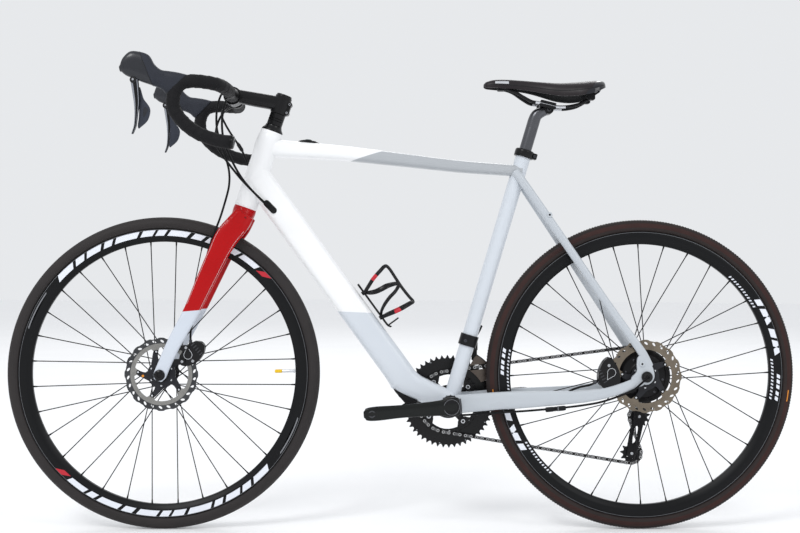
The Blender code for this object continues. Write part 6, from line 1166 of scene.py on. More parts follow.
def chain():
    """Links laid one pitch apart along the chain's line: waisted plates in and out by turns, rollers and pins."""
    path = chain_line()
    path = np.vstack([path, path[:1]])
    steps = lengths_along(path)
    count = 2 * int(round(steps[-1] / PITCH / 2))
    at_steps = np.arange(count) * steps[-1] / count
    pins = np.stack([np.interp(at_steps, steps, path[:, k]) for k in range(3)], 1)
    after = np.roll(pins, -1, 0)
    way = unit(after - pins)
    square = unit(np.cross(way, Y))
    beside = np.cross(square, way)
    turns = np.stack([way, beside, square], 2)
    reach = np.linalg.norm(after - pins, axis=1).mean()
    lobe = []
    for centre, a0 in ((reach, -110), (0, 70)):
        a = np.radians(np.linspace(a0, a0 + 220, 7))
        lobe.append(polar((centre, 0), 3.95, a))
        lobe.append(np.array([[reach / 2, 3.0 if a0 < 0 else -3]]))
    outline = np.vstack(lobe)
    inside = np.arange(count) % 2 == 0
    parts = []
    for s in (-1, 1):
        for chosen, low, high, look in ((inside, 1.30, 1.92, dark_steel), (~inside, 1.95, 2.58, link_steel)):
            plate = slab(outline, s * low, s * high)
            parts.append((copies(plate, turns[chosen], pins[chosen]), look))
    roller = knob((0, -1.2, 0), Y, [(3.8, 0), (3.8, 2.4)], 12)
    clear = np.ones(count, bool)
    for centre, teeth, _, _ in CHAIN_WHEELS:
        clear &= np.hypot(*(pins - centre)[:, ::2].T) > pitch_radius(teeth) + 7.6
    parts.append((copies(roller, turns[clear], pins[clear]), dark_steel))
    for s in (-1, 1):
        head = knob((0, s * 1.34, 0), s * Y, [(1.7, 0), (1.7, 1.06), (1.5, 1.26)], 8)
        parts.append((copies(head, turns, pins), gloss_black))
        rim = lathe((0, s * 1.34, 0), s * Y, [(1.9, 0), (3.3, 0), (3.3, 1.25), (1.9, 1.25)], 12)
        parts.append((copies(rim, turns, pins), chain_steel))
    piece("chain_links", "frame", parts, ["chain"], sharp=40)
    return pins


def spoked_ring(teeth, y, bore, name, node, phase, ramps):
    """A chainring: toothed edge, scalloped window edge with four bolt tabs, ramps pressed beside some teeth."""
    loop = teeth_loop(BB, teeth, phase)
    inside = []
    bolts = []
    r = np.array([bore, 51.5, 47.4, 46.9, 47.4, 51.5, bore, bore + .4, bore + 1.2, bore + 1.4, bore + 1.2, bore + .4])
    for turn in RING_TURN + turn_steps(4):
        a = turn + np.radians([-17, -12, -7, 0, 7, 12, 17, 26, 35, 45, 55, 64])
        inside.append(polar(BB, r, a))
        bolts.append(circle(polar(BB, BOLT_CIRCLE, turn), 5.3, 20))
    body = slab(loop, y - 0.95, y + 0.95, [np.vstack(inside), *bolts])
    collar = turned(BB, [(y - 1, bore + 3), (y - 1, bore + 4.6), (y + 1, bore + 4.6), (y + 1, bore + 3)], 96)
    pips = rivets(BB, turn_steps(ramps) + 0.2, pitch_radius(teeth) - 5.6, y, -1, 1.7, 1)
    parts = [(body, gloss_black), (collar, satin_black), (pips, bare_steel)]
    piece(name, "crank", parts, [node], bevel=0.25, sharp=40)


def arm_loft(side, way, face):
    """A crank arm: superellipse sections along its way, thinner and wider at the pedal's end."""
    s = through([(-20, 15, 0, .85), (-15, 18.8, 0, .95), (-9, 20.6, 0, 1), (6, 20.6, 0, 1), (24, 17, 0, 1),
                 (60, 15.2, 1.6, .94), (110, 14, 4, .85), (160, 15.5, 6.8, .8), (183, 13.5, 6.8, .8),
                 (188.5, 8, 7.4, .66)])
    middle = BB + s[:, :1] * way + Y * (side * (abs(face) + 6.5 + s[:, 2:3] * 0.45))
    return skin(rounded(rings(middle, Y, np.cross(way, Y), 6.5 * s[:, 3], s[:, 1], 40, 2.9), 2.2))


def pedal_eye(side, way, face):
    """The bushing in a crank arm's end."""
    eye = BB + way * CRANK_LENGTH + Y * (face + side * 2.6)
    return lathe(eye, side * Y, [(4.2, 0.2), (8.2, 0.2), (8.2, 11.5), (7.6, 12.2), (5, 12.2), (4.2, 11.2)],
                 32), dark_alloy


def cranks():
    """Both arms with their bosses, eyes' bushings and bolts; the right one carries the four-armed spider."""
    way, face = -RIGHT_WAY, -66.0
    up = unit(np.cross(way, Y))
    boss = [(12.4, 0), (20.2, 0), (20.4, .5), (20.4, 10.6), (19.6, 11.7), (18.4, 12.2), (12.4, 12.2)]
    parts = [(arm_loft(-1, way, face), crank_black), (lathe(BB + Y * (face - 0.5), -Y, boss, 56), gloss_black)]
    for look, sides, profile in (
            (satin_black, 48, [(8.2, 8.8), (15.6, 8.8), (15.6, 12.6), (14.6, 12.9), (9, 12.9), (8.2, 12.4)]),
            (rim_grey, 56, [(16.4, 11.6), (17.1, 11.6), (17.1, 12.9), (16.4, 12.9)]),
            (dark_alloy, 6, [(5, 10), (7.8, 10), (7.8, 12.2), (5.6, 12.2)])):
        parts.append((lathe(BB + Y * face, -Y, profile, sides), look))
    parts.append((lathe(BB + Y * (face + 3.6), Y, [(12.4, 0), (15.4, 0), (15.4, 18.6), (12.4, 18.6)], 40),
                  satin_black))
    clamp = BB - way * 19.0 + Y * (face - 6.5) - up * 16.4
    parts += [(knob(clamp + Y * offset * .8, up, [(2.6, 0), (2.6, 32.8)], 16), dark_alloy) for offset in (-4.4, 4.4)]
    parts.append(pedal_eye(-1, way, face))
    piece("crank_near", "crank", parts, ["crank_arm_left"], sharp=34)
    way, face = RIGHT_WAY, 66.0
    hub = [(11.5, 41), (19, 41), (36.6, 41.4), (37.4, 42.2), (37.4, 44.6), (36.6, 45.4), (25, 46.2), (22.6, 48),
           (20.4, 66), (20.4, 77.4), (19.4, 79), (16.8, 79), (16, 77.6), (11.5, 77.6)]
    parts = [(arm_loft(1, way, face), crank_black), (rods([BB + Y * 70], [BB - Y * 76.4], [12], 36), dark_alloy),
             (lathe(BB, Y, hub, 56), gloss_black),
             (lathe(BB, Y, [(7.6, 76.5), (11.6, 76.5), (11.6, 78.6), (7.6, 78.6)], 36), satin_black)]
    for a in RING_TURN + turn_steps(4):
        ray = np.array([math.cos(a), 0, math.sin(a)])
        s = through([(14.5, 13, 2.6), (24, 10.4, 2.6), (34, 8.4, 2.3), (48, 6.6, 2.3), (61, 6.6, 2.2)], 5)
        rows = rings(BB + s[:, :1] * ray + Y * 43.5, Y, np.cross(ray, Y), s[:, 2], s[:, 1], 28, 3)
        bolt = [(2.8, 0), (4.5, 0), (4.95, .5), (4.95, 11.1), (4.5, 11.6), (2.8, 11.6)]
        parts += [(skin(rounded(rows, 1.5)), gloss_black),
                  (lathe(BB + ray * BOLT_CIRCLE + Y * 37.6, Y, bolt, 24), silver)]
    parts.append(pedal_eye(1, way, face))
    piece("crank_far", "crank", parts, ["crank_arm_right"], sharp=34)


def cassette():
    """Eleven toothed plates one pitch apart, holes in the wide ones, spacers, and the notched lock ring."""
    parts = []
    for i, teeth in enumerate((30, 27, 24, 21, 19, 17, 15, 14, 13, 12, 11)):
        y = 25 + 3.74 * i
        loop = teeth_loop(REAR_AXLE, teeth, 0.06 * i, 2.9)
        root = pitch_radius(teeth) - 3.9
        holes = [circle(REAR_AXLE[::2], 16, 36)]
        if root > 30:
            window = rounded_box((root - 27) / 2, 4.4 if teeth > 22 else 3.4, 2.2, ((root + 17) / 2, 0))
            for a in turn_steps(10 if teeth > 25 else 8) + 0.1 * i:
                c, s = math.cos(a), math.sin(a)
                holes.append(REAR_AXLE[::2] + window @ [[c, s], [-s, c]])
        parts.append((slab(loop, y - 0.9, y + 0.9, holes), bare_steel if i % 2 else chain_steel))
        if i < 10:
            wide = 18.6 if teeth > 14 else min(18.6, pitch_radius(teeth) - 4.6)
            spacer = [(y + .9, 15.7), (y + .9, wide), (y + 2.84, wide), (y + 2.84, 15.7)]
            parts.append((turned(REAR_AXLE, spacer, 40), dark_alloy))
    lug = slab(rounded_box(1.1, 1.6, .3, (16.9, 0)), 63.2, 64.2)
    lock = [(62.4, 15.4), (62.4, 17.8), (63.4, 18.2), (64, 17.8), (64, 15.4)]
    parts += [(turned(REAR_AXLE, [(23.5, 15.7), (23.5, 18), (24.1, 18), (24.1, 15.7)], 40), dark_alloy),
              (turned(REAR_AXLE, lock, 48), black_alloy), (round_the(lug, REAR_AXLE, turn_steps(12)), dark_alloy)]
    piece("cassette_plates", "cassette", parts, ["cassette"], sharp=40)


def cut_loop(loop, point, normal):
    """The part of a loop on the normal's side of a line: its kept points, and where its sides cross the line."""
    kept = []
    for p, q in zip(loop, np.roll(loop, -1, axis=0)):
        dp, dq = np.dot(p - point, normal), np.dot(q - point, normal)
        if dp >= 0:
            kept.append(p)
        if (dp >= 0) != (dq >= 0):
            kept.append(p + (q - p) * dp / (dp - dq))
    return np.array(kept)


def arc_round(*spans):
    """A loop of arcs round the crank's axle: each span is a radius, two angles in degrees and a count of points."""
    return np.vstack([polar(BB, radius, np.radians(np.linspace(*span))) for radius, *span in spans])


def front_derailleur():
    """A clamp band with its arm and bolt; the cage's two curved plates, bridges, link and the rods it slides on."""
    low, high = 133.9, 158.9
    band = [(17.05, low), (20.2, low), (20.35, low + 1), (20.35, high - 1), (20.2, high), (17.05, high)]
    middle = seat_at((low + high) / 2)
    arm = middle + np.array([(8, 15, 2), (12, 21, 4), (16, 26, 8), (22, 30.5, 16), (26, 33, 22), (31, 34, 30)])
    size = np.array([8, 7.6, 7, 6.4, 6, 4.5])
    across, up = frames_of(arm)[1:]
    guide = middle + (14, 24, -14)
    parts = [(lathe(BB, SEAT_WAY, band, 48), black_alloy),
             (skin(rounded(rings(arm, across, up, size * .8, size * .62, 24, 2.6), 2)), black_alloy),
             (brick(8, 10, 3, -7.6, 7.6, guide), black_alloy),
             (brick(7, 9.4, 3, -8, 8, middle + (10, 22.3, -4)), satin_black),
             (hexagon_bolt(middle + (-8, -19.5, 0), -Y, 3.6, 1.2), dark_alloy),
             (hexagon_bolt(middle + (31, 34, 30), unit((.6, 0, .8)), 3, 2.2), dark_alloy)]
    piece("front_shifter_clamp", "frame", parts, ["front_derailleur_mount"], bevel=0.6)
    inner = arc_round((85, 31.5, 59, 16), (89, 59.8, 60, 2), (118, 60, 59.8, 2), (122, 59.2, 31, 20),
                      (118, 30.3, 30.2, 2), (90, 30.6, 31, 2))
    outer = arc_round((107.3, 31, 61, 20), (110, 61.8, 62, 2), (121, 62, 61.8, 2), (124, 61, 31, 20),
                      (121, 30.2, 30, 2), (110, 30, 30.4, 2))
    bridge = slab(arc_round((116, 52, 60, 8), (121.5, 60, 52, 8)), 32.4, 46)
    rear = slab(arc_round((118, 30.5, 33.5, 4), (121.5, 33.5, 30.5, 4)), 32.4, 46)
    run = unit([1, 0.1375])
    over = crosswise(run)
    on_run = BB[::2] + (0, 69.46)
    parts = [(slab(cut_loop(inner, on_run + over * s * CHAIN_ROOM, over * s), 31.9, 33.4), shifter_steel)
             for s in (1, -1)]
    parts += [(slab(outer, 45, 46.5), satin_black), (bridge, satin_black), (rear, satin_black)]
    for z in (-3, 3):
        rod = guide + (z, 0, z)
        parts.append((rods([rod - Y * 7.5], [rod + Y * 9.4], [2], 14), bare_steel))
    parts.append((slab(rounded_box(8, 16, 3, (guide[0], guide[2] - 10)), 32, 35), satin_black))
    piece("front_shifter_cage", "front_derailleur", parts, ["front_derailleur_cage"], bevel=0.2)


def barrel(place, radius, look):
    """A hinge barrel along X with its pin's two heads."""
    pin = X * 15.4
    profile = [(radius - .5, 0), (radius, .6), (radius, 17.3), (radius - .5, 17.9)]
    return [(knob(place - X * 8.95, X, profile, 32), look),
            (rods([place - pin], [place + pin], [2.4], 18), bare_steel)]


def rear_derailleur():
    """The body on its hanger bolt, the link of two plates and a web, the knuckle, and the cage round two wheels."""
    start = 75.4
    bolt = [(POLE, 0), (9, 0), (9.5, 0.6), (9.5, 11.8), (8.8, 13.4), (7, 13.9), (6.2, 13.9), (5.4, 12.6), (3.4, 12.6),
            (3.2, 10.5), (POLE, 10.5)]
    in_plane = np.array([1, 0, 1])
    top, line = (spot * in_plane + Y * (start + 7) for spot in (LINK_TOP, HANGER))
    s = through([(0, 8.6, 6), (0.3, 7.4, 6), (0.6, 6.2, 5.9), (0.9, 5.7, 5.6)], 5)
    arm = skin(rounded(rings(line + s[:, :1] * (top - line), Y, unit((.8, 0, .6)), s[:, 2], s[:, 1], 32, 2.6), 2))
    parts = [(lathe(HANGER + Y * start, Y, bolt, 44, False), gloss_black), (arm, gloss_black)]
    piece("rear_shifter_body", "frame", parts + barrel(LINK_TOP, 6, satin_black), ["rear_derailleur_body"],
          sharp=34)
    parts = []
    way = unit(LINK_LOW - LINK_TOP)
    reach = np.linalg.norm(LINK_LOW - LINK_TOP)
    for s in (-1, 1):
        loop = oblong_loop((0, 0), (reach, 0), (6, 6))
        plate = slab(loop, s * 9.4, s * 14.2, [circle((0, 0), 2.7, 14), circle((reach, 0), 2.7, 14)])
        parts.append((at(plate, LINK_TOP, way, X, np.cross(way, X)), satin_black))
    parts.append((brick(11, 4.4, 2, -9.6, 9.6, (LINK_TOP + LINK_LOW) / 2, way, X, np.cross(way, X)), gloss_black))
    piece("rear_shifter_link", "rear_derailleur_link", parts, ["rear_derailleur_linkage"], bevel=0.5)
    axis = np.array([530.6, 41, 246.6])
    turn = [(5.4, -6), (11.6, -6), (12, -5.4), (12, 7.6), (11, 9.4), (8.4, 9.9), (5.4, 9.9)]
    knuckle = oblong_loop(LINK_LOW[::2], axis[::2], (6, 9))
    parts = [(lathe(axis, Y, turn, 44), gloss_black), (slab(knuckle, 41.2, 50.8, [circle(axis[::2], 5.4, 28)]),
                                                       satin_black),
             *barrel(LINK_LOW, 6, satin_black), (knob(axis + Y * 8.6, Y, [(5.3, 0), (5.3, 1.2)], 24), dark_alloy)]
    piece("rear_shifter_knuckle", "rear_derailleur_knuckle", parts, ["rear_derailleur_knuckle"],
          bevel=0.5)
    g, t = GUIDE[::2], TENSION[::2]
    span = np.linalg.norm(t - g)
    run = unit(t - g)
    square = crosswise(run)
    window = smooth_outline([g + run * span * a + square * b for a, b in
                             ((.30, -5.6), (.70, -4.6), (.77, 0), (.70, 4.6), (.30, 5.6), (.25, 0))])
    parts = [(slab(oblong_loop(g, t, (13, 11)), y, y + 1.6, [window]), satin_black) for y in (19.2, 29.2)]
    for spot in (GUIDE, TENSION):
        parts.append((knob(spot + Y * 18.5, Y, [(3.2, 0), (3.4, .4), (3.4, 12.6), (3.2, 13)], 24), bare_steel))
    parts.append((rods([GUIDE + Y * 30], [GUIDE + Y * 47.8], [4.9], 24), dark_alloy))
    piece("rear_shifter_cage", "rear_derailleur_cage", parts, ["rear_derailleur_cage"], bevel=0.3)
    for place, name, body in ((GUIDE, "guide_wheel", "guide_pulley"), (TENSION, "tension_wheel", "tension_pulley")):
        holes = [circle(place[::2], 3.8, 20)]
        holes += [circle(spot, 2, 10) for spot in circle(place[::2], 10.5, 5)]
        edge = teeth_loop(place, 11, math.radians(9) + math.pi / 11, 2.9)
        seal = turned(place, [(23.7, 3.9), (23.7, 7), (26.3, 7), (26.3, 3.9)], 28)
        piece(name, body, [(slab(edge, 23.9, 26.1, holes), black_plastic), (seal, dark_alloy)], [body],
              bevel=0.2)


def motor_cable():
    """The motor's cable along the lower side of the left stay: a swept line and its ribbed connector."""
    route = [(112, -27, 253), (150, -27.5, 255.2), (183.8, -28.5, 258), (225, -34.5, 261.6), (260.8, -40, 264.4),
             (310, -47.5, 269.4), (355, -54.5, 274.6), (395, -61, 280.6), (430, -66, 288), (470, -71.9, 302.2),
             (498, -78.6, 316.1), (512, -85.5, 329.5), (523.5, -86.8, 340.6)]
    cable = sweep(smooth(route, 140), 2.35, 14)
    a, b = np.array(route[5]) - Z * 1.2, np.array(route[6]) - Z * 1.2
    way = unit(b - a)
    profile = [(POLE, 0), (3.4, 0), (5.2, 1.5), (5.4, 4), (5.4, 16)]
    for h in (17, 19.4, 21.8, 24.2):
        profile += [(5.4, h), (4.7, h + 0.5), (4.7, h + 1.5), (5.4, h + 2)]
    profile += [(5.4, 40), (4.2, 44.8), (POLE, 45)]
    plug = lathe(a, way, profile, 28, False)
    ring = lathe(a + way * 27.2, way, [(5.3, 0), (5.5, .2), (5.5, 1.8), (5.3, 2)], 28)
    piece("motor_lead", "frame", [(cable, hose_black), (plug, black_plastic), (ring, rim_grey)], ["motor_cable"])


front_pins = chain()
phase = np.arctan2(front_pins[:, 2] - BB[2], front_pins[:, 0] - BB[0])[np.argmin(front_pins[:, 0])]
spoked_ring(34, 40, 60, "inner_ring", "chainring_inner", phase, 6)
spoked_ring(50, 47, 66, "outer_ring", "chainring_outer", 0.02, 10)
cranks()
cassette()
front_derailleur()
rear_derailleur()
motor_cable()


LEG = [
    ((-350, 692), 25, 22, 11), ((-367, 667), 35, 25, 10), ((-387, 641), 40, 25.5, 9),
    ((-404.5, 606), 43.5, 22.8, 8.5), ((-432, 545), 48.5, 20.2, 8.2), ((-460, 482), 53, 17.3, 8),
    ((-497, 411), 57, 15.5, 8), ((-518, 364), 58.3, 14.2, 8), ((-526.6, 343), 58.3, 14, 8),
    ((-530.5, 333.5), 58.3, 10, 7.6)]
BAR_ROUTE = [
    (-378, 0, 953), (-378, 60, 952.7), (-379, 120, 951.8), (-382, 160, 951.5), (-391, 186, 953), (-412, 200, 955.5),
    (-440, 205, 957), (-462, 206, 952), (-474, 207, 937), (-478.5, 208, 918), (-476.5, 209, 900), (-466.5, 210, 883),
    (-449, 211, 865), (-430, 212, 851.5), (-411, 213, 843), (-383, 214, 834.3), (-358, 215, 831)]
HOOD = [
    ((-451, 970), (-491, 930), 15.4), ((-469, 974.2), (-495, 932.5), 16), ((-487, 976.8), (-500, 937.5), 15.6),
    ((-503, 979.5), (-508, 942.5), 15.5), ((-517, 991), (-525, 948.5), 15), ((-528, 1008.5), (-540, 953.5), 14.5),
    ((-545, 1015.5), (-552, 958), 14), ((-566, 1016.5), (-566, 963.5), 13.5), ((-581, 1003), (-576, 968), 12),
    ((-587, 988), (-584.5, 975), 8)]
LEVER = [(-565.5, -549, 961, 3.3), (-563.5, -547.5, 947, 3.4), (-560.5, -546.5, 929, 3.4), (-558, -546, 912, 3.3),
         (-556.5, -548.5, 892, 3.2), (-557, -550.5, 874, 3), (-558.5, -552.5, 862, 2.8), (-562.5, -557.5, 849, 2.4)]
PADDLE = [(-551.5, 944), (-546, 944), (-542.5, 930), (-539, 919), (-532, 911), (-525.5, 901), (-525.5, 890),
          (-530, 876), (-537, 868.5), (-545, 862), (-549.5, 858), (-551, 866), (-548.5, 880), (-548, 900),
          (-549.5, 926)]
SADDLE = [
    (176, 985, 979, 7), (182, 990, 976.5, 15.5), (200, 994.6, 975, 20), (234, 995, 973, 21), (262, 993.5, 970.5, 23),
    (290, 991, 965.5, 28), (318, 988.5, 959, 38), (341, 987, 954.5, 50), (366, 987.5, 953, 62), (385, 988.6, 954, 70),
    (405, 990.2, 957.5, 72.5), (424, 991.2, 965, 67), (436, 990, 971.5, 55), (440.9, 984.5, 974.5, 40)]
RAIL_ROUTE = [
    (410, 31, 953.5), (396, 30.5, 944.8), (381, 28, 938.2), (358, 24, 933.9), (336, 22, 933.8), (318, 22, 937.6),
    (294.7, 22, 942.4), (280, 20.5, 945.5), (262, 17, 955.5), (243.7, 12.5, 967), (229, 9, 972.5), (219, 5.5, 974),
    (215, 0, 974.2)]
FRONT_CALIPER = [(-487.5, 374), (-484, 363), (-470, 360.8), (-448, 368), (-434, 388), (-430.6, 404), (-438, 414.5),
                 (-452, 416.4), (-470, 408), (-482, 392)]
REAR_CALIPER = [(421.5, 340), (424, 326), (436, 316.1), (468, 322), (471.9, 340), (466, 362), (452, 383),
                (444, 385.4), (433, 376), (424, 358)]
paddle_grey = finish("paddle_grey", rgb(50, 54, 64), 0.36, drift=0.08, soft=40)
lever_edge = finish("lever_edge", rgb(150, 154, 162), 0.26, metallic=0.6, drift=0.08, soft=60, bump=0.02)
nose_shell = finish("nose_shell", rgb(30, 32, 38), 0.3, coat=0.2, drift=0.08, soft=40, bump=0.02, spec=0.35)


def leg_stations(side):
    """Dense stations of a fork leg: its path, its section's direction along the bike, depth and half width."""
    s = through([(x, z, y, depth, half) for (x, z), y, depth, half in LEG], 8)
    path = np.stack([s[:, 0], side * s[:, 2], s[:, 1]], 1)
    ways = unit(np.gradient(path, axis=0) * np.array([1, 0, 1]))
    return path, np.cross(ways, Y), s[:, 3], s[:, 4]


def fork():
    """A crown whose section grows from a circle to a wide box, two legs of flat-sided superellipses, the steerer,
    pale lines along the legs' edges and the foot's pads round the axle."""
    s = through([(-0.3, 24.4, 24.4, 2), (-3, 25, 24.7, 2), (-10, 27.5, 25, 2.1), (-24, 35.5, 23.5, 2.5),
                 (-34, 40, 22.5, 2.8), (-42, 41, 20.5, 3)])
    rows = np.concatenate([rings(head_at(0)[None] + h * HEAD_WAY, Y, np.cross(HEAD_WAY, Y), a, b, 64, p) for h, a, b,
                           p in s])
    parts = [(skin(rounded(rows[:-1], 9)), fork_paint),
             (lathe(head_at(-0.3), HEAD_WAY, [(14.2, 0), (21.3, 0), (21.3, 6.6), (14.2, 6.6)], 40), satin_black),
             (rods([head_at(-10)], [head_at(256.5)], [14.1], 32), satin_black)]
    for side in (-1, 1):
        path, along, depth, half = leg_stations(side)
        parts.append((skin(rounded(rings(path, Y, along, half, depth, 40, 3), 2.5)), fork_paint))
        keep = (path[:, 2] > 484) & (path[:, 2] < 668)
        for s in (-1, 1):
            line = path[keep] + side * Y * half[keep, None] * 0.78 + along[keep] * (s * depth[keep, None] * 0.855)
            line = smooth(line, 60)
            parts.append((skin(rings(line, np.cross(frames_of(line, Y)[0], Y), Y, 0.22, 0.3, 10)), line_paint))
        pad = [(6.4, 0), (12.4, 0), (12.4, 1.2), (11.8, 1.6), (6.4, 1.6)]
        parts.append((lathe(FRONT_AXLE + Y * side * 50.4, side * Y, pad, 40), seam_black))
        for x, y, z in ((-378.5, 34.6, 668), (-346.8, 32.5, 684)):
            parts.append((hexagon_bolt((x, side * y, z), side * Y, 2.6, 5.2), seam_black))
    piece("fork_skin", "steering", parts, ["fork"], sharp=32)


def headset():
    """The cone cover and a stack of turned spacers with a fine groove between each."""
    cone = [(14.7, 0.3), (24, 0.3), (24.1, 1.2), (23.6, 3.2), (22.2, 5.4), (20.3, 7.8), (18.6, 10.8), (17.7, 13.9),
            (14.7, 13.9)]
    parts = [(lathe(head_at(177.5), HEAD_WAY, cone, 56), gloss_black),
             (lathe(head_at(171.6), HEAD_WAY, [(14.7, 0), (16.4, 0), (16.4, 6.2), (14.7, 6.2)], 40), satin_black)]
    edges = [192.1, 202.1, 207.1, 218.8]
    for low, high in zip(edges, edges[1:]):
        spacer = [(14.7, low + .15), (16.4, low + .15), (17, low + .6), (17, high - .6), (16.4, high - .15),
                  (14.7, high - .15)]
        parts.append((lathe(HEAD_BASE, HEAD_WAY, spacer, 52), gloss_black))
    piece("headset_stack", "steering", parts, ["headset_spacers"], sharp=30)


def stem():
    """A loft of soft superellipses between a steerer clamp and a bar clamp with its face plate and four bolts; the
    steerer clamp has a slot, two cross bolts and the domed top cap."""
    edges = [((-272, 954.2), (-278, 920), 15), ((-290, 956.8), (-295, 925.2), 16.5),
             ((-325, 962.4), (-329.5, 931.4), 16), ((-364.6, 968.7), (-367.8, 939), 17)]
    clamp = [(14.7, 0), (17.9, 0), (18.5, .6), (18.5, 39.2), (17.9, 40), (14.7, 40)]
    cap = [(POLE, -0.3), (17, -0.3), (17, 2.6), (16.2, 3.8), (14, 4.5), (5, 4.5), (4.6, 2.4), (POLE, 2.4)]
    parts = [(edge_loft(edges, 2.8, 10), gloss_black), (lathe(head_at(219.1), HEAD_WAY, clamp, 56), gloss_black),
             (lathe(head_at(259.1), HEAD_WAY, cap, 48, False), gloss_black),
             (lathe(head_at(261.3), HEAD_WAY, [(2.2, 0), (4.2, 0), (4.2, 1.6), (2.4, 1.6)], 6), dark_alloy)]
    bar = np.array([-378, 0, 953])
    for y0, y1 in ((-21, -7), (-6.2, 6.2), (7, 21)):
        ring = [(16.2, y0), (19.2, y0), (19.9, y0 + .7), (19.9, y1 - .7), (19.2, y1), (16.2, y1)]
        parts.append((lathe(bar, Y, ring, 48), gloss_black))
    front = unit(bar - (-325, 0, 947))
    rise = np.cross(front, Y)
    for a in (-1, 1):
        for y in (-13.5, 13.5):
            parts.append((hexagon_bolt(bar + rise * a * 15.6 + Y * y + front * 6, front, 3.4, 5), dark_alloy))
    middle = np.array([-261.4, 0, 926.4])
    for s in (-1, 1):
        lug = brick(14.2, 8.8, 4, s * 0.8, s * 8.9, middle, HEAD_WAY, Y, np.cross(HEAD_WAY, Y))
        parts.append((lug, gloss_black))
    nut = [(POLE, 0), (4.9, 0), (5.4, .6), (5.4, 11.6), (5, 12), (3, 12), (2.8, 9.5), (POLE, 9.5)]
    for place in np.array([(-253, 0, 935.7), (-259.8, 0, 917.1)]):
        parts += [(lathe(place, s * Y, nut, 28, False), gloss_black) for s in (-1, 1)]
        parts.append((lathe(place - Y * 9.4, -Y, [(1.4, 0), (2.9, 0), (2.9, 2.2), (1.6, 2.2)], 6), bare_steel))
    piece("stem_skin", "steering", parts, ["stem"], bevel=0.5, sharp=34)


def bar_path(side, count):
    """One half of the bar's middle line with its two square directions."""
    path = smooth(BAR_ROUTE, count) * [1, side, 1]
    return path, *frames_of(path)[1:]


def handlebar():
    """A swept tube, thick in the clamp and easing to the grips, with a domed plug in each end."""
    parts = []
    for side in (-1, 1):
        path, across, up = bar_path(side, 260)
        t = np.clip((np.abs(path[:, 1]) - 26) / 20, 0, 1)
        radius = 15.9 - 4.0 * t * t * (3 - 2 * t)
        parts.append((skin(rings(path, across, up, radius, radius, 32)), satin_black))
        way = unit(path[-1] - path[-2])
        plug = [(13.6, 0.3), (13.8, 1.2), (13.6, 3.4), (12.6, 4.6), (11, 5.3), (6, 5.5), (5.4, 4.6)]
        parts.append((knob(path[-1], way, plug, 40), gloss_black))
    piece("bar_skin", "steering", parts, ["handlebar"])


def bar_tape(side, name, node):
    """Wound tape: at each place the radius rises over one turn of a helix and drops at the next turn's edge; a cuff
    and a ring hold its ends."""
    path, across, up = bar_path(side, 640)
    first = int(np.argmax(np.abs(path[:, 1]) >= 75.2))
    path, across, up = path[first:], across[first:], up[first:]
    steps = lengths_along(path)
    sides = 44
    angle = (np.arange(sides) + 0.5) * 2 * math.pi / sides
    phase = (steps[:, None] / 17.5 - side * angle[None, :] / (2 * math.pi)) % 1.0
    rise = np.where(phase < 0.86, 0.35 + 0.65 * (phase / 0.86) ** 1.5, 1.0 - (phase - 0.86) / 0.14 * 0.65)
    crease = 0.12 * np.sin(angle[None, :] * 5 + steps[:, None] * 0.09)
    radius = 13.25 + 1.15 * rise + crease * (1 - rise)
    ends = np.minimum(1, np.minimum(steps + 0.6, steps[-1] - steps + 0.6) / 2)[:, None]
    radius = 12.5 + (radius - 12.5) * ends
    ray = np.cos(angle)[None, :, None] * across[:, None] + np.sin(angle)[None, :, None] * up[:, None]
    outer = path[:, None] + radius[..., None] * ray
    inner = path[::16, None] + 12.2 * ray[::16]
    cuff = [(13.6, 0), (14.3, .4), (14.45, 3), (14.45, 12), (14.2, 13), (13.6, 13.4)]
    back = unit(path[-2] - path[-6])
    end = lathe(path[-1] - back * 3.6, back, [(13.4, 0), (14.35, .4), (14.4, 3.2), (13.4, 3.5)], 40)
    parts = [(skin(np.concatenate([outer, inner[::-1]]), closed=True), wound_tape),
             (lathe(path[1], unit(path[4] - path[0]), cuff, 40), hose_black), (end, hose_black)]
    piece(name, "steering", parts, [node], sharp=45)


HOOD_Y = 205.0
HINGE = np.array([-559, 0, 958])


def seam_gap(points):
    """How far points stand behind the slanted seam between a hood's rubber and its nose."""
    return points[..., 0] - (-546 + (1014 - points[..., 2]) * (25 / 63))


def face_middles(rows):
    """The middle of each quad of a tube's rows."""
    beside = np.roll(rows, -1, 1)
    return (rows[:-1] + beside[:-1] + rows[1:] + beside[1:]) / 4


def hood(side, name, node):
    """A loft of superellipses along the lever body; a harder shell covers its nose in front of a slanted seam."""
    middle, up, half, half_up = edge_stations(HOOD, 9, side * HOOD_Y)
    rows = rounded(rings(middle, Y, up, half, half_up, 56, 2.7), 2.5)
    front = (seam_gap(face_middles(rows)) < 0).astype(int)
    edge = []
    for line in np.swapaxes(rings(middle, Y, up, half + 0.02, half_up + 0.02, 96, 2.7), 0, 1):
        gap = seam_gap(line)
        i = int(np.argmax(gap < 0))
        t = gap[i - 1] / (gap[i - 1] - gap[i])
        edge.append(line[i - 1] * (1 - t) + line[i] * t)
    parts = [(skin(rows), [hood_rubber, nose_shell], front), (bead(edge, 0.55), seam_black)]
    for k, x in enumerate(np.linspace(-497, -513, 4)):
        place = (x, side * (HOOD_Y + 15), 960.5 + 0.5 * k)
        parts.append((brick(1, 9.5, .9, -0.5, 0.5, place), hood_rubber))
    pin_at = HINGE + Y * side * HOOD_Y
    parts.append((rods([pin_at - Y * 12.6], [pin_at + Y * 12.6], [2.2], 16), bare_steel))
    piece(name, "steering", parts, [node], sharp=40)


